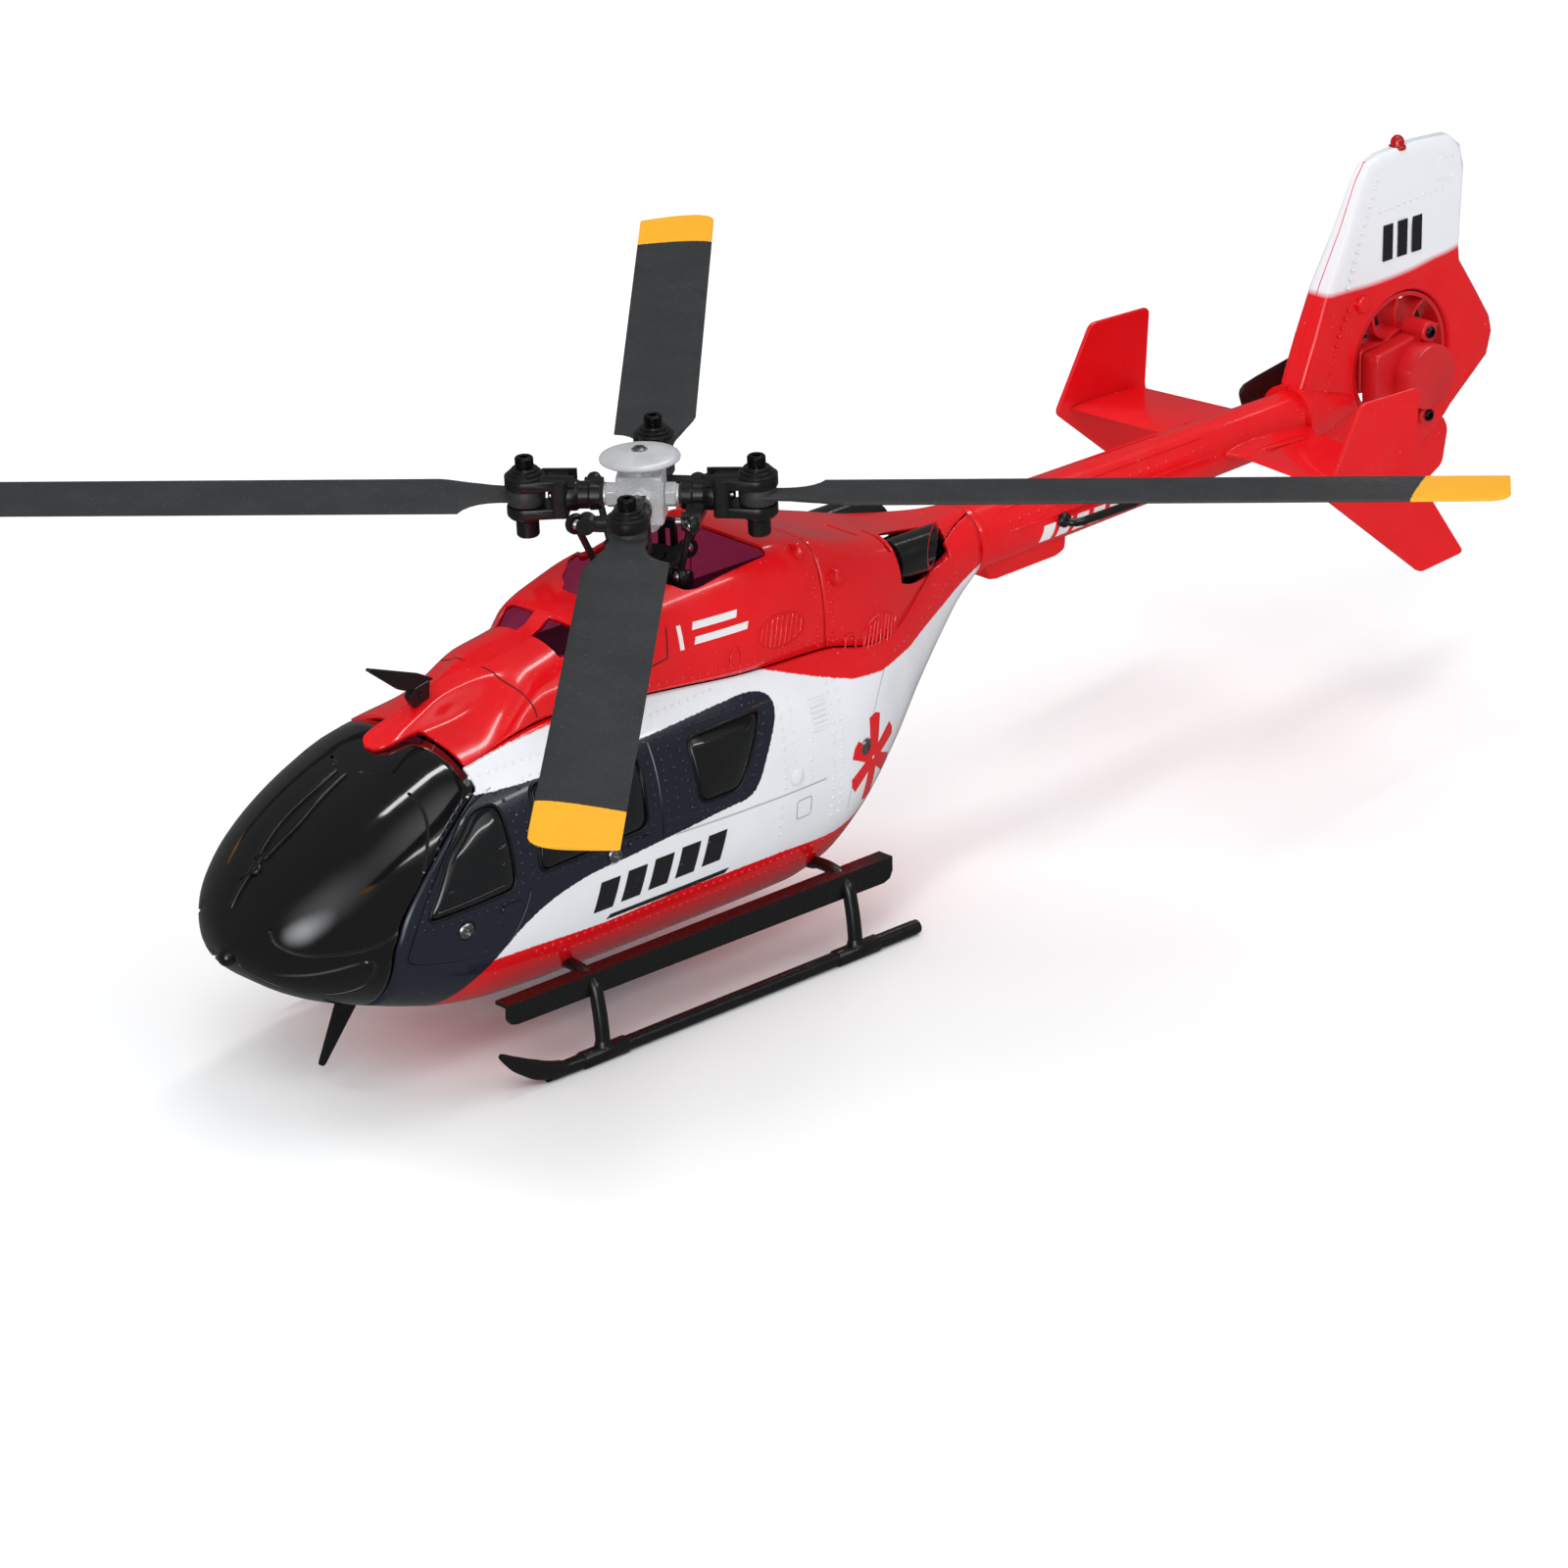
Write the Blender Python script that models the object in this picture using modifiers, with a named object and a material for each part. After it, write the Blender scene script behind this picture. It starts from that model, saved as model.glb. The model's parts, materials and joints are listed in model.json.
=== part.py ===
"""Four-blade radio-controlled scale helicopter, built as separate pieces.

Frame: metres, +Z up, nose along -Y, port side along +X. The origin is the point on the flat
belly that the axis of the main shaft passes through. The shaft leans forward by MAST_LEAN.
"""
import math

import bmesh
import bpy
from mathutils import Matrix, Vector

MM = 0.001

# Driving dimensions, from the ground up
GAP = 0.3 * MM                 # clearance between neighbouring pieces
RUNNING = 0.1 * MM             # radial clearance of a turning fit
WALL = 1.0 * MM                # thickness of the moulded shells
GROUND = -12.2 * MM            # underside of the skids
MAST_LEAN = math.radians(1.74)
ROTOR_RADIUS = 176.5 * MM
ROTOR_REST = math.radians(41.47)
ROTOR_HEIGHT = 89.7 * MM       # blade plane, along the shaft
HEAD_TOP = 98.2 * MM
BLADE_COUNT = 4
BLADE_LAG = (0.0, 4.1, 0.0, 2.5)   # rest angle of each blade on its bolt, degrees
BLADE_PITCH = math.radians(3.6)
BLADE_CHORD = 17.1 * MM
BLADE_LEAD = 8.0 * MM          # leading edge from the radial line
BOLT_RADIUS = 23.86 * MM       # bolt circle of the blades
SHAFT_RADIUS = 1.5 * MM

MODULE = 0.8 * MM              # main gear
GEAR_TEETH = 48
PINION_TEETH = 10
TAIL_MODULE = 0.5 * MM
TAIL_GEAR_TEETH = 24
TAIL_PINION_TEETH = 10

BOOM_START = 87.3 * MM
BOOM_END = 195.6 * MM
BOOM_Z = (55.4 * MM, 57.0 * MM)        # axis height at each end
BOOM_RADIUS = (7.6 * MM, 6.2 * MM)
TAIL_AXIS = (226.3 * MM, 63.4 * MM)    # y, z of the tail rotor's axis
DUCT_RADIUS = 15.9 * MM
FIN_HALF = 3.7 * MM            # half thickness about the duct
FIN_TOP_HALF = 1.9 * MM        # half thickness at the top
FIN_KEEL = 23.6 * MM           # radius of the keel about the duct
TAIL_ROTOR_RADIUS = 36.3 * MM
TAIL_ROTOR_X = -13.0 * MM
TAIL_ROTOR_REST = math.radians(7.0)

SKID_X = 33.0 * MM
SKID_RADIUS = 1.6 * MM
CROSS_RADIUS = 1.45 * MM
CROSS_Y = (-46.8 * MM, 24.0 * MM)      # front and rear cross tubes
STEP_X = 30.0 * MM

DECK = {"low": (19.0, 21.5), "mid": (33.5, 36.0), "top": (58.0, 60.5)}   # z range of each deck, mm
SERVO_ANGLES = (0.0, 120.0, 240.0)     # round the shaft from the nose
SERVO_AXIS_R = 16.0 * MM
SERVO_AXIS_Z = 46.0 * MM

# Fuselage sections, in mm: y, bottom, widest height, top, half width, flat half of belly, flat half of roof
HULL = (
    (-115.4, 22.2, 24.9, 28.0, 5.0, 1.5, 1.0),
    (-114.2, 19.6, 25.0, 31.2, 9.3, 2.0, 1.5),
    (-111.6, 16.6, 25.4, 35.0, 13.8, 2.5, 2.0),
    (-107.0, 13.4, 26.0, 39.2, 18.2, 3.5, 3.0),
    (-100.0, 10.0, 27.0, 44.4, 22.2, 4.5, 3.5),
    (-91.0, 6.8, 28.4, 49.4, 25.2, 5.5, 4.0),
    (-82.0, 4.0, 29.2, 53.2, 27.2, 6.5, 4.5),
    (-74.0, 2.0, 29.6, 55.8, 28.3, 7.5, 5.0),
    (-62.0, 0.5, 30.0, 57.4, 29.0, 8.0, 5.5),
    (-45.0, 0.0, 30.0, 58.6, 29.3, 8.0, 6.0),
    (-20.0, 0.0, 30.5, 59.4, 29.2, 8.0, 7.0),
    (5.0, 0.0, 31.0, 59.4, 28.6, 8.0, 8.0),
    (18.0, 0.0, 32.0, 59.2, 27.8, 8.0, 8.0),
    (28.0, 1.6, 33.5, 59.2, 26.6, 8.0, 8.0),
    (40.0, 7.4, 37.2, 59.6, 24.0, 7.0, 7.0),
    (52.0, 16.8, 42.0, 60.4, 19.8, 5.5, 5.5),
    (63.0, 27.4, 47.0, 61.4, 15.2, 4.0, 4.0),
    (73.0, 36.8, 51.0, 62.2, 11.5, 3.0, 2.5),
    (81.0, 43.8, 54.0, 62.8, 9.0, 2.0, 1.5),
    (87.0, 47.8, 55.4, 63.2, 7.8, 1.0, 1.0),
)
HULL_LOWER_POWER = 2.35
HULL_UPPER_POWER = 2.2
HULL_STEPS = 5
NOSE_ROWS = 5                  # rows of HULL in front of the slanted joint with the body
JOINT_FRONT, JOINT_REAR = -92.6, -67.8  # where the nose joint crosses the belly and the roof, mm
JOINT_ANGLES = (-15.0, 47.0)   # the joint sweeps back between these angles of the section

# Cowl sections, in mm and degrees: y, angle on the hull where it starts, top, flat half, side power
COWL = (
    (-74.0, 84.0, 57.4, 1.0, 2.0),
    (-62.0, 74.0, 62.2, 2.0, 2.1),
    (-45.0, 67.0, 66.8, 2.5, 2.1),
    (-34.0, 65.0, 69.2, 3.0, 1.9),
    (-30.5, 63.0, 71.6, 9.0, 1.7),
    (-22.0, 60.0, 73.6, 11.0, 1.7),
    (-12.0, 57.0, 75.2, 12.5, 1.8),
    (5.0, 52.0, 76.8, 13.0, 2.1),
    (18.0, 50.0, 77.2, 13.0, 2.5),
    (28.0, 47.0, 75.6, 11.0, 3.0),
    (40.0, 34.0, 72.0, 10.0, 3.4),
    (52.0, 26.0, 69.0, 8.0, 3.0),
    (63.0, 30.0, 66.4, 6.0, 2.6),
    (73.0, 44.0, 64.8, 4.0, 2.3),
    (81.0, 60.0, 64.0, 2.5, 2.0),
    (87.0, 70.0, 63.8, 1.0, 2.0),
)
# Port half of the opening round the rotor head, in mm: x, y
MAST_OPENING = ((16.8, 16.5), (16.6, -3.0), (13.5, -9.0), (9.5, -15.5), (4.5, -20.5), (1.5, -22.5))
INTAKE_X = (2.0, 11.5)         # the two open faces in the step in front of the opening
INTAKE_Y = (-36.0, -30.6)
COWL_SPLIT_ROW = 9             # the cowl's last row in front of the split

# Side windows on one side, in mm: corners as y, z
WINDOWS = (
    ((-65.3, 47.2), (-64.8, 29.8), (-86.0, 28.0), (-79.4, 40.5), (-71.5, 47.2)),
    ((-29.4, 47.8), (-29.6, 32.6), (-58.4, 31.3), (-57.0, 48.4)),
    ((5.0, 47.4), (-3.9, 33.2), (-14.8, 33.2), (-16.0, 46.9)),
)

ENDPLATE = ((170.4, 75.3), (189.3, 74.7), (187.8, 55.9), (205.2, 31.9), (190.7, 30.9), (159.1, 56.5))
ENDPLATE_X = 41.0 * MM
STABILISER = ((6.0, 166.5, 190.0), (40.2, 163.5, 185.5))   # x, leading edge, trailing edge, mm
STABILISER_Z = 56.6 * MM

COLOURS = {
    "gloss_red": ((0.62, 0.012, 0.015, 1.0), 0.22, 0.0),
    "gloss_white": ((0.85, 0.86, 0.88, 1.0), 0.3, 0.0),
    "gloss_black": ((0.006, 0.006, 0.007, 1.0), 0.08, 0.0),
    "matt_black": ((0.02, 0.021, 0.022, 1.0), 0.5, 0.0),
    "black_nylon": ((0.012, 0.012, 0.013, 1.0), 0.42, 0.0),
    "aluminium": ((0.75, 0.76, 0.78, 1.0), 0.3, 1.0),
    "steel": ((0.55, 0.55, 0.56, 1.0), 0.25, 1.0),
    "black_steel": ((0.03, 0.03, 0.03, 1.0), 0.3, 1.0),
    "natural_nylon": ((0.8, 0.79, 0.74, 1.0), 0.5, 0.0),
    "brass": ((0.75, 0.5, 0.2, 1.0), 0.3, 1.0),
    "blue_wrap": ((0.02, 0.08, 0.4, 1.0), 0.35, 0.0),
    "green_board": ((0.01, 0.15, 0.05, 1.0), 0.4, 0.0),
    "red_lens": ((0.7, 0.01, 0.01, 1.0), 0.1, 0.0),
}

PARTS = bpy.data.collections.new("remote_control_helicopter")


# ---------------------------------------------------------------- helpers

def clear_scene():
    for item in list(bpy.data.objects):
        bpy.data.objects.remove(item, do_unlink=True)
    bpy.context.scene.collection.children.link(PARTS)


def material(key):
    found = bpy.data.materials.get(key)
    if found:
        return found
    colour, roughness, metallic = COLOURS[key]
    made = bpy.data.materials.new(key)
    made.use_nodes = True
    shader = made.node_tree.nodes["Principled BSDF"]
    shader.inputs["Base Color"].default_value = colour
    shader.inputs["Roughness"].default_value = roughness
    shader.inputs["Metallic"].default_value = metallic
    return made


def finish_mesh(mesh, smooth_angle=35.0):
    mesh.shade_smooth()
    mesh.set_sharp_from_angle(angle=math.radians(smooth_angle))


def from_bmesh(name, bm, key):
    """Make an object of the parts collection from a bmesh."""
    mesh = bpy.data.meshes.new(name)
    bm.to_mesh(mesh)
    bm.free()
    finish_mesh(mesh)
    made = bpy.data.objects.new(name, mesh)
    mesh.materials.append(material(key))
    PARTS.objects.link(made)
    return made


def box(low, high):
    """A cuboid between two corners in mm, as a bmesh."""
    bm = bmesh.new()
    low = Vector(low) * MM
    high = Vector(high) * MM
    size = Matrix.Diagonal((*(high - low), 1.0))
    bmesh.ops.create_cube(bm, size=1.0, matrix=Matrix.Translation((low + high) / 2) @ size)
    return bm


TURN_TO = {
    "X": Matrix.Rotation(math.radians(90.0), 4, "Y"),
    "Y": Matrix.Rotation(math.radians(-90.0), 4, "X"),
    "Z": Matrix.Identity(4),
}


def cylinder(radius, start, end, centre=(0.0, 0.0), axis="Z", segments=16, end_radius=None):
    """A cylinder along one axis from start to end; centre holds the two other coordinates. All in mm."""
    bm = bmesh.new()
    a, b = centre
    middle = (start + end) / 2
    place = {"X": (middle, a, b), "Y": (a, middle, b), "Z": (a, b, middle)}[axis]
    matrix = Matrix.Translation(Vector(place) * MM) @ TURN_TO[axis]
    bmesh.ops.create_cone(
        bm, cap_ends=True, segments=segments, radius1=radius * MM,
        radius2=(radius if end_radius is None else end_radius) * MM,
        depth=(end - start) * MM, matrix=matrix)
    return bm


def evaluated_mesh(item):
    bpy.context.view_layer.update()
    graph = bpy.context.evaluated_depsgraph_get()
    return bpy.data.meshes.new_from_object(item.evaluated_get(graph))


def apply_modifiers(item):
    mesh = evaluated_mesh(item)
    item.modifiers.clear()
    old = item.data
    item.data = mesh
    bpy.data.meshes.remove(old)
    finish_mesh(mesh)


def combine(item, operation, *tools):
    """Union with, or cut by, each bmesh in turn."""
    for bm in tools:
        mesh = bpy.data.meshes.new("tool")
        bm.to_mesh(mesh)
        bm.free()
        tool = bpy.data.objects.new("tool", mesh)
        PARTS.objects.link(tool)
        step = item.modifiers.new(operation.lower(), "BOOLEAN")
        step.operation = operation
        step.object = tool
        apply_modifiers(item)
        bpy.data.objects.remove(tool, do_unlink=True)
    return item


def join(name, key, first, *others):
    return combine(from_bmesh(name, first, key), "UNION", *others)


def cut(item, *tools):
    return combine(item, "DIFFERENCE", *tools)


def loft(rings, closed=True, caps=True):
    """Faces between rings with equal point counts; points are in mm."""
    bm = bmesh.new()
    rows = [[bm.verts.new(Vector(point) * MM) for point in ring] for ring in rings]
    count = len(rows[0])
    last = count if closed else count - 1
    for near, far in zip(rows, rows[1:]):
        for i in range(last):
            j = (i + 1) % count
            bm.faces.new((near[i], near[j], far[j], far[i]))
    if caps:
        bm.faces.new(rows[0][::-1])
        bm.faces.new(rows[-1])
    bmesh.ops.recalc_face_normals(bm, faces=bm.faces)
    return bm


def shell(name, bm, key, thickness=WALL):
    """Thicken an open surface whose normals point outwards."""
    item = from_bmesh(name, bm, key)
    step = item.modifiers.new("wall", "SOLIDIFY")
    step.thickness = thickness
    step.offset = -1.0
    apply_modifiers(item)
    return item


def face_outwards(bm, inside):
    """Turn an open patch so that its faces look away from an inside point, in mm."""
    bm.faces.ensure_lookup_table()
    face = bm.faces[0]
    if face.normal.dot(face.calc_center_median() - Vector(inside) * MM) < 0:
        bmesh.ops.reverse_faces(bm, faces=bm.faces)
    return bm


def plate(name, key, outlines, thickness, axis="Z", level=0.0):
    """A flat plate from closed outlines in mm; inner outlines are holes. Level is its middle, in mm."""
    curve = bpy.data.curves.new(name, "CURVE")
    curve.dimensions = "2D"
    curve.fill_mode = "BOTH"
    curve.extrude = thickness * MM / 2
    for outline in outlines:
        line = curve.splines.new("POLY")
        line.points.add(len(outline) - 1)
        line.use_cyclic_u = True
        for point, (a, b) in zip(line.points, outline):
            point.co = (a * MM, b * MM, 0.0, 1.0)
    return curve_mesh(name, key, curve, plane_matrix(axis, level))


def plane_matrix(axis, level):
    """Put an XY outline in the plane across an axis: for X its coordinates are y, z."""
    if axis == "X":
        turn = Matrix(((0, 0, 1, 0), (1, 0, 0, 0), (0, 1, 0, 0), (0, 0, 0, 1)))
        return Matrix.Translation((level * MM, 0.0, 0.0)) @ turn
    return Matrix.Translation((0.0, 0.0, level * MM))


def curve_mesh(name, key, curve, matrix=Matrix.Identity(4)):
    """Turn a curve into a closed mesh object."""
    source = bpy.data.objects.new(name + "_curve", curve)
    PARTS.objects.link(source)
    mesh = evaluated_mesh(source)
    bpy.data.objects.remove(source, do_unlink=True)
    bm = bmesh.new()
    bm.from_mesh(mesh)
    bpy.data.meshes.remove(mesh)
    bmesh.ops.remove_doubles(bm, verts=bm.verts, dist=0.00001)
    bmesh.ops.recalc_face_normals(bm, faces=bm.faces)
    bmesh.ops.transform(bm, matrix=matrix, verts=bm.verts)
    return from_bmesh(name, bm, key)


def rod(name, key, points, radius, cyclic=False, radii=None):
    """A bent rod or tube along points in mm."""
    curve = bpy.data.curves.new(name, "CURVE")
    curve.dimensions = "3D"
    curve.bevel_depth = radius * MM
    curve.bevel_resolution = 2
    curve.use_fill_caps = True
    line = curve.splines.new("POLY")
    line.points.add(len(points) - 1)
    line.use_cyclic_u = cyclic
    for i, (point, place) in enumerate(zip(line.points, points)):
        point.co = (*(Vector(place) * MM), 1.0)
        point.radius = radii[i] if radii else 1.0
    return curve_mesh(name, key, curve)


def as_bmesh(item):
    """Take an object out of the scene and give its shape as a bmesh."""
    bm = bmesh.new()
    bm.from_mesh(item.data)
    bpy.data.objects.remove(item, do_unlink=True)
    return bm


def empty(name, parent=None, location=(0.0, 0.0, 0.0), rotation=(0.0, 0.0, 0.0)):
    made = bpy.data.objects.new(name, None)
    PARTS.objects.link(made)
    return place(made, parent, location, rotation)


def place(item, parent, location=(0.0, 0.0, 0.0), rotation=(0.0, 0.0, 0.0)):
    item.parent = parent
    item.location = location
    item.rotation_euler = rotation
    return item


def polar(radius, angle):
    return (radius * math.cos(angle), radius * math.sin(angle))


def circle(radius, centre=(0.0, 0.0), count=24):
    turns = [2 * math.pi * i / count for i in range(count)]
    return [(centre[0] + radius * math.cos(a), centre[1] + radius * math.sin(a)) for a in turns]


def rounded(corners, radius, steps=2):
    """Round each corner of a polygon in mm with a short arc."""
    points = []
    count = len(corners)
    for i, corner in enumerate(corners):
        corner = Vector(corner)
        before = (Vector(corners[i - 1]) - corner)
        after = (Vector(corners[(i + 1) % count]) - corner)
        reach = min(radius, before.length / 2.5, after.length / 2.5)
        start = corner + before.normalized() * reach
        end = corner + after.normalized() * reach
        for k in range(steps + 1):
            t = k / steps
            points.append(tuple(start * (1 - t) ** 2 + corner * 2 * t * (1 - t) + end * t ** 2))
    return points


def gear_outline(teeth, module, phase=0.0):
    """Straight-flanked teeth with backlash, in mm; tooth 0 points along the phase angle."""
    pitch = teeth * module / 2 / MM
    tip = pitch + 0.7 * module / MM
    root = pitch - 1.1 * module / MM
    step = 2 * math.pi / teeth
    points = []
    for i in range(teeth):
        middle = phase + i * step
        points.append(polar(root, middle - 0.31 * step))
        points.append(polar(tip, middle - 0.11 * step))
        points.append(polar(tip, middle + 0.11 * step))
        points.append(polar(root, middle + 0.31 * step))
    return points


# ---------------------------------------------------------------- fuselage

def power_arc(angle, power):
    """The two coordinates of a superellipse quarter at an angle, from (1, 0) to (0, 1)."""
    across = max(math.cos(angle), 0.0) ** (2 / power)
    up = max(math.sin(angle), 0.0) ** (2 / power)
    return across, up


def hull_point(row, angle):
    """Port point of a hull section; angle runs from -90 at the belly to 90 degrees at the roof."""
    y, bottom, middle, top, half, belly, roof = row
    turn = math.radians(abs(angle))
    if angle < 0:
        across, up = power_arc(turn, HULL_LOWER_POWER)
        return (belly + (half - belly) * across, y, middle - (middle - bottom) * up)
    across, up = power_arc(turn, HULL_UPPER_POWER)
    return (roof + (half - roof) * across, y, middle + (top - middle) * up)


def mirrored(points):
    """Port points from the belly up, then their mirror images back down."""
    return points + [(-x, y, z) for x, y, z in reversed(points)]


def hull_ring(row, last_angle=90.0):
    lower = [hull_point(row, -90.0 + 90.0 * i / HULL_STEPS) for i in range(HULL_STEPS)]
    upper = [hull_point(row, last_angle * i / HULL_STEPS) for i in range(HULL_STEPS + 1)]
    return lower + upper


def hull_row(y):
    """The hull section at any station, in mm."""
    for near, far in zip(HULL, HULL[1:]):
        if near[0] <= y <= far[0]:
            t = (y - near[0]) / (far[0] - near[0])
            return tuple(a + (b - a) * t for a, b in zip(near, far))
    return HULL[0] if y < HULL[0][0] else HULL[-1]


def hull_half_width(y, z):
    """Half width of the hull at a place on its side, in mm."""
    _, bottom, middle, top, half, belly, roof = hull_row(y)
    power = HULL_LOWER_POWER if z < middle else HULL_UPPER_POWER
    flat = belly if z < middle else roof
    up = (middle - z) / (middle - bottom) if z < middle else (z - middle) / (top - middle)
    return flat + (half - flat) * (1 - min(up, 1.0) ** power) ** (1 / power)


def joint_y(angle):
    """Station of the joint between nose canopy and body at an angle of the section."""
    t = (angle - JOINT_ANGLES[0]) / (JOINT_ANGLES[1] - JOINT_ANGLES[0])
    t = min(max(t, 0.0), 1.0)
    return JOINT_FRONT + (JOINT_REAR - JOINT_FRONT) * t ** 2


def ring_angles(last_angle):
    lower = [-90.0 + 90.0 * i / HULL_STEPS for i in range(HULL_STEPS)]
    return lower + [last_angle * i / HULL_STEPS for i in range(HULL_STEPS + 1)]


def slanted_ring(flat_y, share, last_angle, shift=0.0):
    """Port points part of the way from a plain station to the nose joint."""
    points = []
    for angle in ring_angles(last_angle):
        y = flat_y + (joint_y(angle) + shift - flat_y) * share
        points.append(hull_point(hull_row(y), angle))
    return points


def nose_canopy():
    rings = [mirrored(hull_ring(row)) for row in HULL[:NOSE_ROWS]]
    for share in (0.35, 0.7, 1.0):
        rings.append(mirrored(slanted_ring(HULL[NOSE_ROWS - 1][0], share, 90.0, -2 * GAP / MM)))
    bm = loft(rings, caps=False)
    bm.verts.ensure_lookup_table()
    bm.faces.new(bm.verts[:len(rings[0])])
    bmesh.ops.recalc_face_normals(bm, faces=bm.faces)
    face_outwards(bm, (0.0, -90.0, 28.0))
    canopy = shell("nose_canopy", bm, "gloss_black")
    light = bmesh.new()
    bmesh.ops.create_uvsphere(light, u_segments=12, v_segments=8, radius=1.6 * MM,
                              matrix=Matrix.Translation((0.0, -115.4 * MM, 24.2 * MM)))
    return combine(canopy, "UNION", light)


def body_shell():
    """Open-topped shell from the nose joint to the boom, with its openings."""
    rows = [row for row in FULL_HULL if row[0] > JOINT_REAR]
    ports = []
    for share in (1.0, 0.5):
        roof_y = rows[0][0] + (JOINT_REAR - rows[0][0]) * share
        ports.append(slanted_ring(rows[0][0], share, cowl_angle(roof_y)))
    ports += [hull_ring(row, cowl_angle(row[0])) for row in rows]
    rings = [[(-x, y, z) for x, y, z in reversed(port)] + port for port in ports]
    bm = loft(rings, closed=False, caps=False)
    face_outwards(bm, (0.0, -60.0, 30.0))
    body = shell("body_shell", bm, "gloss_white")
    for side in (1, -1):
        for corners in WINDOWS:
            cut(body, window_block(corners, side))
    for y in CROSS_Y:
        cut(body, as_bmesh(rod("cross_hole", "matt_black", cross_points(y / MM), CROSS_RADIUS / MM + 0.35)))
    for side in (1, -1):
        cut(body, exhaust_notch(side))
    return cut(body, box((-12.6, -42.0, -3.0), (12.6, -6.0, 3.0)))


def cowl_angle(y):
    for near, far in zip(COWL, COWL[1:]):
        if near[0] <= y <= far[0]:
            t = (y - near[0]) / (far[0] - near[0])
            return near[1] + (far[1] - near[1]) * t
    return COWL[-1][1]


def window_block(corners, side, depth=(15.0, 35.0)):
    """A window outline as a solid block through one side."""
    outline = rounded(corners, 2.5)
    return loft([[(side * x, y, z) for y, z in outline] for x in depth])


def window_insert(name, side):
    """One dark moulding behind a side of the shell, with a pane that bulges through each opening."""
    inset = 1.6
    rows = []
    for share in (0.0, 0.1, 0.3, 0.5, 0.75, 1.0):
        row = []
        for z in (27.0, 34.3, 41.7, 49.0):
            front = -86.5 + 0.72 * (z - 27.0)
            y = front + (3.0 - front) * share
            row.append((side * (hull_half_width(y, z) - inset), y, z))
        rows.append(row)
    bm = loft(rows, closed=False, caps=False)
    face_outwards(bm, (0.0, -40.0, 38.0))
    insert = shell(name, bm, "gloss_black", 0.8 * MM)
    for corners in WINDOWS:
        combine(insert, "UNION", window_pane(corners, side))
    return insert


def window_pane(corners, side):
    """A pillow-shaped pane that fills its opening with a gap all round."""
    middle = [sum(c[i] for c in corners) / len(corners) for i in (0, 1)]
    edge = []
    for y, z in rounded(corners, 2.5):
        away = Vector((y - middle[0], z - middle[1]))
        away -= away.normalized() * 0.35
        edge.append((away.x, away.y))
    rings = []
    for scale, lift in ((1.0, -2.0), (1.0, -0.2), (0.8, 0.35), (0.45, 0.6)):
        ring = []
        for a, b in edge:
            y = middle[0] + a * scale
            z = middle[1] + b * scale
            ring.append((side * (hull_half_width(y, z) + lift), y, z))
        rings.append(ring)
    return loft(rings)


def cowl_rows(rows):
    rings = []
    for y, angle, top, flat, power in rows:
        base_x, _, base_z = hull_point(hull_row(y), angle)
        base_z += GAP / MM
        port = []
        for i in range(6):
            across, up = power_arc(math.radians(90.0 * i / 5), power)
            port.append((flat + (base_x - flat) * across, y, base_z + (top - base_z) * up))
        rings.append(port + [(-x, y, z) for x, y, z in reversed(port)])
    return loft(rings, closed=False, caps=False)


def full_hull():
    """Hull sections with the cowl's own stations added between them."""
    stations = {row[0] for row in HULL} | {row[0] for row in COWL}
    return [hull_row(y) for y in sorted(stations)]


FULL_HULL = full_hull()


def engine_cowl():
    bm = cowl_rows(COWL[:COWL_SPLIT_ROW + 1])
    face_outwards(bm, (0.0, 0.0, 40.0))
    cowl = shell("engine_cowl", bm, "gloss_red")
    outline = rounded(MAST_OPENING + tuple((-x, y) for x, y in reversed(MAST_OPENING)), 3.0)
    cut(cowl, loft([[(x, y, z) for x, y in outline] for z in (62.0, 90.0)]))
    for side in (1, -1):
        inner, outer = sorted((side * INTAKE_X[0], side * INTAKE_X[1]))
        cut(cowl, box((inner, INTAKE_Y[0], 66.0), (outer, INTAKE_Y[1], 80.0)))
    return cowl


def rear_cowl():
    bm = cowl_rows(COWL[COWL_SPLIT_ROW:])
    face_outwards(bm, (0.0, 60.0, 40.0))
    for vert in bm.verts:
        if vert.co.y < 28.5 * MM:
            vert.co.y += GAP
        if vert.co.y > 86.5 * MM:
            vert.co.y -= GAP
    cowl = shell("rear_cowl", bm, "gloss_red")
    for side in (1, -1):
        cut(cowl, exhaust_notch(side))
    return cowl


def exhaust_notch(side):
    return cylinder(6.1, 54.0, 76.0, (side * 12.2, 62.6), "Y", 16)


def exhaust():
    """Both pipes and the bridge between them, moulded in one."""
    bridge = box((-12.2, 56.4, 60.2), (12.2, 58.4, 65.0))
    pipes = [cylinder(5.6, 55.0, 69.5, (side * 12.2, 62.6), "Y", 20) for side in (1, -1)]
    piece = join("exhaust", "matt_black", bridge, *pipes)
    for side in (1, -1):
        cut(piece, cylinder(4.6, 59.0, 72.0, (side * 12.2, 62.6), "Y", 20))
    return piece


def wire_cutters():
    lower = ((-82.6, 3.6), (-87.6, 5.2), (-93.8, -8.6), (-92.8, -8.8))
    plate("lower_wire_cutter", "black_nylon", [lower], 1.2, "X")
    upper = ((-66.8, 65.0), (-69.0, 65.6), (-76.8, 71.6), (-76.2, 72.0), (-62.6, 67.4), (-60.0, 65.9))
    plate("upper_wire_cutter", "black_nylon", [upper], 1.2, "X")


# ---------------------------------------------------------------- tail

def boom_at(y):
    """Axis height and radius of the boom at a station, in mm."""
    t = (y * MM - BOOM_START) / (BOOM_END - BOOM_START)
    return ((BOOM_Z[0] + (BOOM_Z[1] - BOOM_Z[0]) * t) / MM,
            (BOOM_RADIUS[0] + (BOOM_RADIUS[1] - BOOM_RADIUS[0]) * t) / MM)


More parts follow.
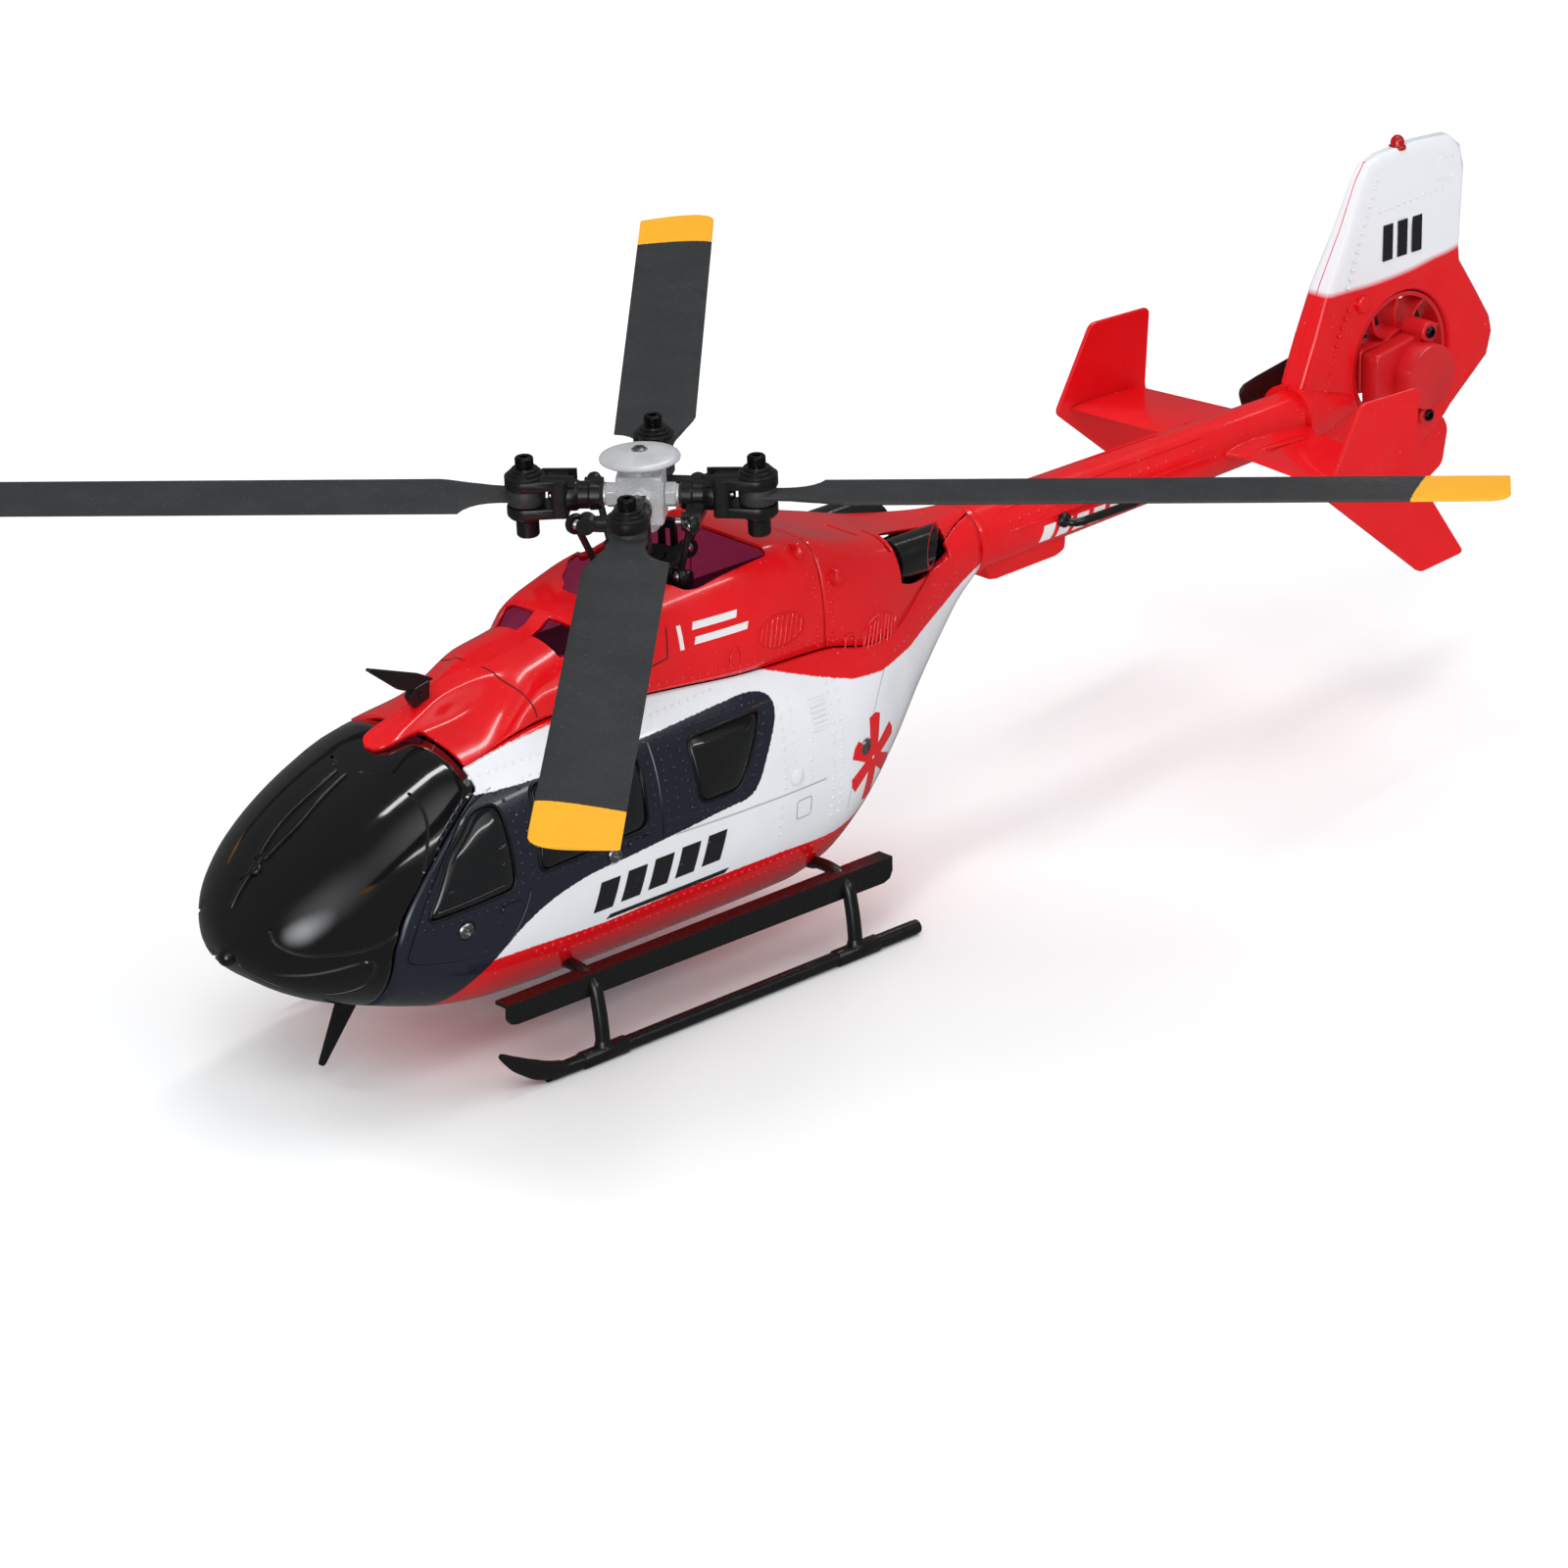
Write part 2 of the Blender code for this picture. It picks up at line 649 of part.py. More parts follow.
def boom_cone(start, end, grow, segments=24):
    rings = []
    for y in (start, end):
        height, radius = boom_at(y)
        rings.append([(x, y, height + z) for x, z in circle(radius + grow, count=segments)])
    return loft(rings)


def tail_boom():
    start, end = BOOM_START / MM, BOOM_END / MM
    boom = join("tail_boom", "gloss_red", boom_cone(start, end, 0.0),
                box((-3.2, 92.0, 45.2), (3.2, 118.0, 52.0)))
    cut(boom, boom_cone(start - 3.0, end + 3.0, -1.1))
    low = STABILISER_Z / MM - 2.0
    return cut(boom, box((-15.0, 165.4, low), (15.0, 191.9, low + 4.0)))


def boom_handle():
    height, radius = boom_at(123.0)
    x = radius + GAP / MM
    points = [(x + 0.8, 112.0, height), (x + 2.6, 113.0, height - 0.3), (x + 3.2, 115.5, height - 0.5),
              (x + 3.2, 130.5, height - 0.5), (x + 2.6, 133.0, height - 0.3), (x + 0.8, 134.0, height)]
    return rod("boom_handle", "gloss_black", points, 0.9)


def stabiliser():
    """A slim cambered plane that passes through the boom."""
    level = STABILISER_Z / MM
    stations = [(-x, front, rear) for x, front, rear in reversed(STABILISER)] + list(STABILISER)
    rings = []
    for x, front, rear in stations:
        chord = rear - front
        shape = ((0.0, 0.0), (0.08, 0.9), (0.3, 1.5), (0.65, 1.1), (1.0, 0.2),
                 (1.0, -0.2), (0.65, -0.9), (0.3, -1.3), (0.08, -0.8))
        rings.append([(x, front + chord * t, level + lift) for t, lift in shape])
    return from_bmesh("stabiliser", loft(rings), "gloss_red")


def endplates():
    for name, side in (("endplate_port", 1), ("endplate_starboard", -1)):
        plate(name, "gloss_red", [rounded(ENDPLATE, 1.6)], 1.0, "X", side * ENDPLATE_X / MM)


def fin_outline():
    """Side view of the fin: boom joint, swept top, waist, and a round keel about the duct."""
    y0, z0 = TAIL_AXIS[0] / MM, TAIL_AXIS[1] / MM
    keel = FIN_KEEL / MM
    arc = [math.radians(a) for a in (-42, -57, -72, -88, -104)]
    bottom = [(y0 + keel * math.cos(a), z0 + keel * math.sin(a)) for a in arc]
    return [(192.6, 64.5), (201.8, 85.7), (215.8, 110.4), (246.6, 111.4), (249.2, 104.4), (246.0, 83.8),
            (257.2, 66.0), (258.0, 61.7), (255.6, 55.0)] + bottom + [(206.0, 44.0), (192.6, 49.0)]


def fin(name, side):
    y0, z0 = TAIL_AXIS[0] / MM, TAIL_AXIS[1] / MM
    half = FIN_HALF / MM
    edge = GAP / MM / 2
    spare = 1.0                # past the middle plane, cut off below
    item = plate(name, "gloss_red", [fin_outline()], half + spare, "X", side * (half - spare) / 2)
    taper = (FIN_HALF - FIN_TOP_HALF) / (48.0 * MM - DUCT_RADIUS)
    for vert in item.data.vertices:
        above = vert.co.z - TAIL_AXIS[1] - DUCT_RADIUS
        if vert.co.x * side > 0 and above > 0:
            vert.co.x -= side * above * taper
    step = item.modifiers.new("edges", "BEVEL")
    step.width = 1.0 * MM
    step.segments = 1
    step.limit_method = "ANGLE"
    step.angle_limit = math.radians(60.0)
    apply_modifiers(item)
    height, radius = boom_at(195.0)
    combine(item, "UNION", cylinder(radius + 1.5, 191.6, 209.0, (0.0, height), "Y", 24, 4.3))
    far = 20.0 * side
    cut(item, cylinder(radius + 0.35, 180.0, 196.0, (0.0, height), "Y", 24),
        cylinder(DUCT_RADIUS / MM, -20.0, 20.0, (y0, z0), "X", 32),
        box((min(edge * side, -far), 150.0, 0.0), (max(edge * side, -far), 290.0, 140.0)))
    return item


def tail_bumper():
    outline = ((243.4, 45.0), (245.0, 42.0), (243.2, 33.4), (236.5, 30.0), (222.0, 32.0), (221.0, 42.0))
    y0, z0 = TAIL_AXIS[0] / MM, TAIL_AXIS[1] / MM
    bumper = plate("tail_bumper", "gloss_red", [outline], 3.4, "X")
    return cut(bumper, cylinder(FIN_KEEL / MM + 0.4, -10.0, 10.0, (y0, z0), "X", 48))


def beacon():
    bm = cylinder(1.9, 112.0, 112.9, (0.0, 227.5), "Z", 16)
    piece = from_bmesh("beacon", bm, "red_lens")
    dome = bmesh.new()
    bmesh.ops.create_uvsphere(dome, u_segments=12, v_segments=8, radius=1.5 * MM,
                              matrix=Matrix.Translation((0.0, 227.5 * MM, 113.4 * MM)))
    return combine(piece, "UNION", dome)


def tail_gearbox():
    """Guide ring and vanes about the bearing plate, which also holds the motor."""
    y0, z0 = TAIL_AXIS[0] / MM, TAIL_AXIS[1] / MM
    outer = DUCT_RADIUS / MM - 0.3
    motor_y = y0 - tail_spacing()
    item = from_bmesh("tail_gearbox", cylinder(outer, -2.6, 2.6, (y0, z0), "X", 32), "gloss_red")
    cut(item, cylinder(outer - 1.0, -5.0, 5.0, (y0, z0), "X", 32))
    for i in range(10):
        angle = 2 * math.pi * (i + 0.5) / 10
        vane = box((-1.6, 5.0, -0.4), (1.6, outer - 0.5, 0.4))
        turn = Matrix.Translation((0.0, y0 * MM, z0 * MM)) @ Matrix.Rotation(angle, 4, "X")
        bmesh.ops.transform(vane, matrix=turn, verts=vane.verts)
        combine(item, "UNION", vane)
    combine(item, "UNION", cylinder(7.4, -2.4, 3.2, (y0, z0), "X", 24),
            box((-2.4, motor_y - 5.2, z0 - 5.2), (3.2, y0, z0 + 5.2)))
    return cut(item, cylinder(1.0 + RUNNING / MM, -8.0, 8.0, (y0, z0), "X", 16),
               cylinder(3.8, -9.0, 2.2, (motor_y, z0), "X", 24),
               cylinder(1.2, 0.0, 8.0, (motor_y, z0), "X", 12))


def tail_spacing():
    return (TAIL_GEAR_TEETH + TAIL_PINION_TEETH) * TAIL_MODULE / 2 / MM + 0.05


def gearbox_cap():
    y0, z0 = TAIL_AXIS[0] / MM, TAIL_AXIS[1] / MM
    motor_y = y0 - tail_spacing()
    ear_places = ((y0 + 1.5, z0 + 9.4), (y0 + 1.5, z0 - 9.4))
    ears = [cylinder(2.3, 3.6, 7.6, centre, "X", 16) for centre in ear_places]
    cap = join("gearbox_cap", "gloss_red", cylinder(7.8, 3.5, 11.0, (y0, z0), "X", 28),
               box((3.5, motor_y - 5.2, z0 - 5.2), (8.2, y0, z0 + 5.2)), *ears)
    return cut(cap, cylinder(6.8, 2.0, 9.6, (y0, z0), "X", 28),
               box((2.0, motor_y - 3.6, z0 - 3.6), (7.2, y0 - 2.0, z0 + 3.6)))


def gear(name, key, teeth, module, bore, thickness, phase=0.0, boss=None):
    """A toothed wheel about its own Z axis, its middle at the origin."""
    wheel = plate(name, key, [gear_outline(teeth, module, phase), circle(bore, count=16)], thickness)
    if boss:
        radius, length = boss
        combine(wheel, "UNION", cylinder(radius, -length / 2, length / 2, segments=20))
        cut(wheel, cylinder(bore, -length, length, segments=16))
    return wheel


def tail_drive():
    y0, z0 = TAIL_AXIS
    motor_y = y0 - tail_spacing() * MM
    quarter = math.radians(90.0)
    face = (0.0, quarter, 0.0)
    wheel = gear("tail_gear", "natural_nylon", TAIL_GEAR_TEETH, TAIL_MODULE, 1.05, 2.0, 0.0)
    place(wheel, None, (5.6 * MM, y0, z0), face)
    half_tooth = math.pi / TAIL_PINION_TEETH
    pinion = gear("tail_pinion", "brass", TAIL_PINION_TEETH, TAIL_MODULE, 0.6, 2.0, quarter + half_tooth)
    place(pinion, None, (5.6 * MM, motor_y, z0), face)
    shaft = from_bmesh("tail_shaft", cylinder(1.0, -23.0, 3.4, axis="Z", segments=16), "steel")
    place(shaft, None, (5.6 * MM, y0, z0), face)
    motor = join("tail_motor", "steel", cylinder(3.5, -13.4, -3.6, segments=24),
                 cylinder(0.5, -4.0, 1.0, segments=12))
    place(motor, None, (5.6 * MM, motor_y, z0), face)
    tail_rotor(y0, z0)


def tail_rotor(y0, z0):
    """Hub and two blades about the tail shaft's axis."""
    hub = cylinder(3.0, -2.2, 2.2, segments=20)
    blades = []
    for side in (0.0, math.pi):
        rings = []
        for radius, width in ((1.5, 5.0), (9.0, 8.6), (30.0, 8.0), (TAIL_ROTOR_RADIUS / MM, 5.5)):
            rings.append([(radius, -width / 2, -0.6), (radius, width / 2, -0.6),
                          (radius, width / 2, 0.6), (radius, -width / 2, 0.6)])
        blade = loft(rings)
        turn = Matrix.Rotation(side, 4, "Z") @ Matrix.Rotation(math.radians(12.0), 4, "X")
        bmesh.ops.transform(blade, matrix=turn, verts=blade.verts)
        blades.append(blade)
    rotor = join("tail_rotor", "black_nylon", hub, *blades)
    cut(rotor, cylinder(1.05, -5.0, 5.0, segments=16))
    turn = Matrix.Rotation(TAIL_ROTOR_REST, 4, "X") @ Matrix.Rotation(math.radians(90.0), 4, "Y")
    turn = turn @ Matrix.Rotation(math.radians(90.0), 4, "Z")
    place(rotor, None, (TAIL_ROTOR_X, y0, z0), turn.to_euler())
    return rotor


# ---------------------------------------------------------------- skids

def cross_points(y):
    """Path of a cross tube from skid to skid, in mm."""
    half = ((16.0, 5.4), (22.0, 4.2), (27.0, 1.4), (30.5, -2.6), (32.3, -5.4), (33.0, -8.6))
    return [(-x, y, z) for x, z in reversed(half)] + [(x, y, z) for x, z in half]


def cross_tube(name, y):
    return rod(name, "matt_black", cross_points(y), CROSS_RADIUS / MM)


def skid(name, side):
    x = side * SKID_X / MM
    z = (GROUND + SKID_RADIUS) / MM
    points = [(x, 36.4, z), (x, -56.0, z), (x, -62.0, z + 1.2), (x, -74.0, z + 8.4)]
    return rod(name, "matt_black", points, SKID_RADIUS / MM, radii=(1.0, 1.0, 1.1, 0.3))


def step_board(name, side):
    x = STEP_X / MM
    web = sorted((side * x, side * (x + 1.0)))
    flange = sorted((side * (x - 3.0), side * (x + 1.0)))
    return join(name, "matt_black", box((web[0], -69.8, 1.6), (web[1], 37.0, 6.4)),
                box((flange[0], -69.8, 5.6), (flange[1], 37.0, 6.4)))


# ---------------------------------------------------------------- inside

def main_frame():
    low, mid, top = DECK["low"], DECK["mid"], DECK["top"]
    lean = math.tan(MAST_LEAN)
    frame = from_bmesh("main_frame", box((-14.0, -28.0, low[0]), (14.0, 46.0, low[1])), "black_nylon")
    posts = [box((x - 1.5, y - 1.5, low[0] + 1.0), (x + 1.5, y + 1.5, top[1] - 1.0))
             for x in (-12.5, 12.5) for y in (-25.5, 43.0)]
    spigot = boom_cone(78.0, 101.0, -1.6)
    combine(frame, "UNION", box((-14.0, -28.0, mid[0]), (14.0, 46.0, mid[1])),
            box((-14.0, -28.0, top[0]), (14.0, 46.0, top[1])), *posts,
            box((-2.5, 45.0, 52.0), (2.5, 80.0, 58.5)), box((-2.5, 43.0, 52.0), (2.5, 46.0, 59.0)), spigot)
    for deck in (low, mid, top):
        level = (deck[0] + deck[1]) / 2
        cut(frame, cylinder(SHAFT_RADIUS / MM + 0.1, deck[0] - 2.0, deck[1] + 2.0, (0.0, -level * lean)))
    motor = motor_spacing()
    cut(frame, cylinder(3.4, mid[0] - 2.0, mid[1] + 2.0, (0.0, motor - lean * mid[0]), "Z", 16))
    for angle in SERVO_ANGLES:
        turn = math.radians(angle - 90.0)
        x, y = polar(8.5, turn)
        cut(frame, cylinder(2.6, top[0] - 2.0, top[1] + 2.0, (x, y - lean * top[0]), "Z", 12))
    return frame


def motor_spacing():
    return (GEAR_TEETH + PINION_TEETH) * MODULE / 2 / MM + 0.05


def main_drive(mast):
    """Shaft, gear, pinion and motor, all about axes parallel to the shaft."""
    shaft = from_bmesh("main_shaft", cylinder(SHAFT_RADIUS / MM, 17.0, 94.0, segments=20), "steel")
    place(shaft, mast)
    wheel = gear("main_gear", "natural_nylon", GEAR_TEETH, MODULE, 1.55, 3.0, boss=(4.0, 7.0))
    place(wheel, mast, (0.0, 0.0, 28.0 * MM))
    quarter = math.radians(-90.0)
    pinion = gear("motor_pinion", "brass", PINION_TEETH, MODULE, 1.05, 4.0, quarter + math.pi / PINION_TEETH)
    spot = (0.0, motor_spacing() * MM, 28.0 * MM)
    place(pinion, mast, spot)
    motor = join("main_motor", "black_steel", cylinder(8.2, 8.6, 23.0, segments=28),
                 cylinder(1.0, -2.0, 9.0, segments=12))
    place(motor, mast, spot)


def battery_pack():
    """Cells and the hatch cover that closes the belly; it drops out downwards."""
    return join("battery_pack", "blue_wrap", box((-12.2, -41.6, 0.0), (12.2, -6.4, 1.4)),
                box((-11.0, -40.5, 1.0), (11.0, -7.5, 16.5)))


def control_board():
    """Receiver and flight controller on the lower deck's front overhang."""
    return join("control_board", "green_board", box((-11.0, -62.0, 22.0), (11.0, -30.0, 23.2)),
                box((-5.0, -55.0, 23.0), (5.0, -40.0, 26.0)), box((-8.0, -38.0, 23.0), (8.0, -33.0, 27.0)))


def servos(mast):
    names = ("front", "port", "starboard")
    for name, angle in zip(names, SERVO_ANGLES):
        hub = empty("servo_place_" + name, mast, rotation=(0.0, 0.0, math.radians(angle)))
        case = join("servo_" + name, "black_nylon", box((-7.4, -22.0, 37.2), (-1.2, -10.0, 49.0)),
                    cylinder(1.6, -1.6, -1.1, (-SERVO_AXIS_R / MM, SERVO_AXIS_Z / MM), "X", 12))
        place(case, hub)
        reach = SERVO_AXIS_R / MM - 8.5
        arm = join("servo_arm_" + name, "natural_nylon", cylinder(1.9, -0.7, 0.7, axis="X", segments=14),
                   box((-0.7, 0.0, -1.1), (0.7, reach, 1.1)),
                   cylinder(1.1, -0.7, 0.7, (reach, 0.0), "X", 12))
        place(arm, hub, (0.0, -SERVO_AXIS_R, SERVO_AXIS_Z))


# ---------------------------------------------------------------- rotor head

def swashplate(mast):
    inner = from_bmesh("swash_inner", cylinder(6.2, -1.5, 1.5, segments=24), "black_nylon")
    combine(inner, "UNION", cylinder(4.0, 1.0, 5.0, segments=24))
    for angle in SERVO_ANGLES:
        x, y = polar(8.5, math.radians(angle - 90.0))
        combine(inner, "UNION", cylinder(1.3, -1.2, 1.2, (x, y), "Z", 10))
        arm = box((4.0, -0.8, -1.0), (8.6, 0.8, 1.0))
        turn = Matrix.Rotation(math.radians(angle - 90.0), 4, "Z")
        bmesh.ops.transform(arm, matrix=turn, verts=arm.verts)
        combine(inner, "UNION", arm)
    cut(inner, cylinder(SHAFT_RADIUS / MM + RUNNING / MM, -6.0, 8.0, segments=20))
    place(inner, mast, (0.0, 0.0, 71.5 * MM))
    outer = from_bmesh("swash_outer", cylinder(7.4, 2.0, 4.6, segments=24), "black_nylon")
    for i in range(BLADE_COUNT):
        arm = box((6.0, -0.9, 2.3), (10.6, 0.9, 4.3))
        turn = Matrix.Rotation(2 * math.pi * (i + 0.5) / BLADE_COUNT, 4, "Z")
        bmesh.ops.transform(arm, matrix=turn, verts=arm.verts)
        combine(outer, "UNION", arm)
    cut(outer, cylinder(4.0 + RUNNING / MM, -2.0, 8.0, segments=24))
    place(outer, mast, (0.0, 0.0, 71.5 * MM), (0.0, 0.0, ROTOR_REST))


def hub(rotor):
    level = ROTOR_HEIGHT / MM
    item = from_bmesh("hub", box((-4.6, -4.6, level - 5.4), (4.6, 4.6, level + 5.6)), "aluminium")
    step = item.modifiers.new("edges", "BEVEL")
    step.width = 1.4 * MM
    step.segments = 1
    apply_modifiers(item)
    for axis in ("X", "Y"):
        combine(item, "UNION", cylinder(1.3, -15.0, 15.0, (0.0, level), axis, 16),
                cylinder(2.6, -7.6, 7.6, (0.0, level), axis, 6))
    cut(item, cylinder(SHAFT_RADIUS / MM + 0.1, level - 8.0, 94.6, segments=20))
    place(item, rotor)
    disc = from_bmesh("head_disc", cylinder(8.3, level + 7.6, level + 8.5, segments=32), "aluminium")
    combine(disc, "UNION", cylinder(8.2, level + 8.4, level + 9.6, segments=32, end_radius=3.0),
            cylinder(3.2, level + 6.0, level + 8.0, segments=24))
    place(disc, rotor)


def blade_grip(name, parent):
    """Barrel on the spindle, two clevis arms about the blade root, and the pitch arm. Local X is radial."""
    centre = BOLT_RADIUS / MM
    grip = join(name, "black_nylon", cylinder(3.1, 8.2, 17.4, axis="X", segments=14),
                box((16.0, -3.4, -4.0), (18.5, 3.4, 4.0)),
                box((16.5, -3.0, 2.1), (centre, 3.0, 4.0)), box((16.5, -3.0, -4.0), (centre, 3.0, -2.1)),
                cylinder(4.3, 2.1, 4.4, (centre, 0.0)), cylinder(4.0, -4.2, -2.1, (centre, 0.0)),
                cylinder(3.2, 4.0, 5.8, (centre, 0.0), segments=12),
                cylinder(2.4, -8.6, -4.0, (centre, 0.0), segments=12),
                box((9.6, -10.6, -3.0), (12.6, -2.0, -0.8)))
    return cut(grip, cylinder(1.3 + RUNNING / MM, 5.0, 15.8, axis="X", segments=12),
               cylinder(1.15, -7.4, 9.0, (centre, 0.0), segments=12))


def blade_section(radius, lead, trail, thick):
    """Eight points round a section; lead and trail are distances ahead of and behind the radial line."""
    chord = lead + trail
    shape = ((0.0, 0.0), (0.1, 0.42), (0.35, 0.5), (0.75, 0.3), (1.0, 0.08),
             (1.0, -0.08), (0.6, -0.35), (0.15, -0.4))
    return [(radius, -lead + chord * t, thick * lift) for t, lift in shape]


def main_blade(name):
    """Blade about its bolt; local X runs out to the tip and the leading edge faces local -Y."""
    lead = BLADE_LEAD / MM
    trail = BLADE_CHORD / MM - lead
    tip = (ROTOR_RADIUS - BOLT_RADIUS) / MM
    rings = [blade_section(2.0, 3.4, 3.4, 3.4), blade_section(6.0, 3.6, 3.6, 3.2),
             blade_section(12.0, 5.2, 5.4, 2.8), blade_section(18.0, 7.6, trail, 2.4),
             blade_section(30.0, lead, trail, 2.1), blade_section(tip - 18.45, lead, trail, 1.7),
             blade_section(tip - 2.0, lead - 0.8, trail, 1.5), blade_section(tip, lead - 3.4, trail, 1.4)]
    blade = loft(rings)
    bmesh.ops.transform(blade, matrix=Matrix.Rotation(-BLADE_PITCH, 4, "X"), verts=blade.verts)
    item = join(name, "matt_black", cylinder(3.9, -1.7, 1.7), blade)
    return cut(item, cylinder(1.1, -5.0, 5.0, segments=16))


def blade_bolt(name):
    level = (HEAD_TOP - ROTOR_HEIGHT) / MM
    bolt = join(name, "black_steel", cylinder(1.95, level - 2.4, level),
                cylinder(1.0, -7.0, level - 2.0, segments=12))
    return cut(bolt, cylinder(0.9, level - 1.3, level + 1.0, segments=6))


def blades(rotor):
    for i in range(BLADE_COUNT):
        turn = 2 * math.pi * i / BLADE_COUNT
        arm = empty("arm_%d" % (i + 1), rotor, (0.0, 0.0, ROTOR_HEIGHT), (0.0, 0.0, turn))
        place(blade_grip("blade_grip_%d" % (i + 1), arm), arm)
        bolt_spot = (BOLT_RADIUS, 0.0, 0.0)
        lag = (0.0, 0.0, math.radians(BLADE_LAG[i]))
        place(main_blade("main_blade_%d" % (i + 1)), arm, bolt_spot, lag)
        place(blade_bolt("blade_bolt_%d" % (i + 1)), arm, bolt_spot)


# ---------------------------------------------------------------- assembly

def build():
    clear_scene()
    nose_canopy()
    body_shell()
    window_insert("window_insert_port", 1)
    window_insert("window_insert_starboard", -1)
    engine_cowl()
    rear_cowl()
    exhaust()
    wire_cutters()
    tail_boom()
    boom_handle()
    stabiliser()
    endplates()
    fin("fin_port", 1)
    fin("fin_starboard", -1)
    tail_bumper()
    beacon()
    tail_gearbox()
    gearbox_cap()
    tail_drive()
    cross_tube("cross_tube_front", CROSS_Y[0] / MM)
    cross_tube("cross_tube_rear", CROSS_Y[1] / MM)
    skid("skid_port", 1)
    skid("skid_starboard", -1)
    step_board("step_board_port", 1)
    step_board("step_board_starboard", -1)
    main_frame()
    battery_pack()
    control_board()
    mast = empty("mast", rotation=(MAST_LEAN, 0.0, 0.0))
    main_drive(mast)
    servos(mast)
    swashplate(mast)
    rotor = empty("rotor", mast, rotation=(0.0, 0.0, ROTOR_REST))
    hub(rotor)
    blades(rotor)
    bpy.context.view_layer.update()


build()
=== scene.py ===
"""Looks of the remote control helicopter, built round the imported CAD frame.

Frame: metres, +Z up, nose along -Y, port side along +X, origin on the flat belly on the shaft's axis.
Every shape below is worked out in millimetres and scaled once, when its mesh is made.
"""
import json
import math

import bmesh
import bpy
import numpy as np
from mathutils import Matrix, Vector
from mathutils.bvhtree import BVHTree
from mathutils.interpolate import poly_3d_calc


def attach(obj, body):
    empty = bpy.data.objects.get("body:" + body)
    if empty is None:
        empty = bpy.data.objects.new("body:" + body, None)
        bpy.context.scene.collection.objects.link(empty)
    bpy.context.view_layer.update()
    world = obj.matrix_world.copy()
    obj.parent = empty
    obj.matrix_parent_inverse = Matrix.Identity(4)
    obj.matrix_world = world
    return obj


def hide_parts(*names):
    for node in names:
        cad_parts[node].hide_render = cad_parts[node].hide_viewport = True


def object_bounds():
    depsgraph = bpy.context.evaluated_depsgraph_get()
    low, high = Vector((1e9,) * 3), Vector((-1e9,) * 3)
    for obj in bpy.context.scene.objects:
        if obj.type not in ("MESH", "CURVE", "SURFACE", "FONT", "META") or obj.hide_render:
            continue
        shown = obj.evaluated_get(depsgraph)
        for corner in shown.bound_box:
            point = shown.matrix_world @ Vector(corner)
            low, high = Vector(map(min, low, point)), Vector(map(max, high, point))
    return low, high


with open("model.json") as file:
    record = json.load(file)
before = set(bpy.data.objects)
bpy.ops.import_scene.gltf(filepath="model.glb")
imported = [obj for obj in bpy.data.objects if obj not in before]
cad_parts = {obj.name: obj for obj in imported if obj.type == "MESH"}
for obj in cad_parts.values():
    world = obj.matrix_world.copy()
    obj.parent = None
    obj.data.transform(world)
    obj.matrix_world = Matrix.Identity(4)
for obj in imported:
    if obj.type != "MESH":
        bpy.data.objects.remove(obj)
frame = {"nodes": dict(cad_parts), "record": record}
cad_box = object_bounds()

MM = 0.001
SIDES = (("port", 1), ("starboard", -1))
QUARTER = math.radians(90.0)
# Edges sharper than this many degrees stay sharp: in general, and on small round fittings
SMOOTH_ANGLE = 38.0
ROUND_ANGLE = 60.0
# Material number of the surface that a groove leaves
GROOVE = 1

# Rotor head, in mm
MAST_LEAN = math.radians(1.74)
ROTOR_RADIUS = 176.5
ROTOR_REST = math.radians(41.47)
ROTOR_HEIGHT = 89.7
HEAD_TOP = 98.2
BOLT_RADIUS = 23.86
BLADE_LAG = (0.0, 4.1, 0.0, 2.5)
BLADE_PITCH = math.radians(3.6)
BLADE_CHORD = 17.1
BLADE_LEAD = 8.0
SWASH_HEIGHT = 71.5
SERVO_ANGLES = (0.0, 120.0, 240.0)

# Tail, in mm
BOOM_Y = (87.3, 195.6)
BOOM_Z = (55.4, 57.0)
BOOM_R = (7.6, 6.2)
TAIL_AXIS = (226.3, 63.4)
DUCT_RADIUS = 15.9
FIN_HALF = 3.7
FIN_TOP_HALF = 1.9
FIN_KEEL = 23.6
STABILISER = ((6.0, 166.5, 190.0), (40.2, 163.5, 185.5))
STABILISER_Z = 56.6
ENDPLATE_X = 41.0
ENDPLATE = ((170.4, 75.3), (189.3, 74.7), (187.8, 55.9), (205.2, 31.9), (190.7, 30.9), (159.1, 56.5))
TAIL_ROTOR_X = -13.0
TAIL_ROTOR_RADIUS = 36.3
TAIL_ROTOR_REST = math.radians(7.0)

# Landing gear, in mm
GROUND = -12.2
SKID_X = 33.0
SKID_RADIUS = 1.6
CROSS_Y = (-46.8, 24.0)
STEP_X = 30.0

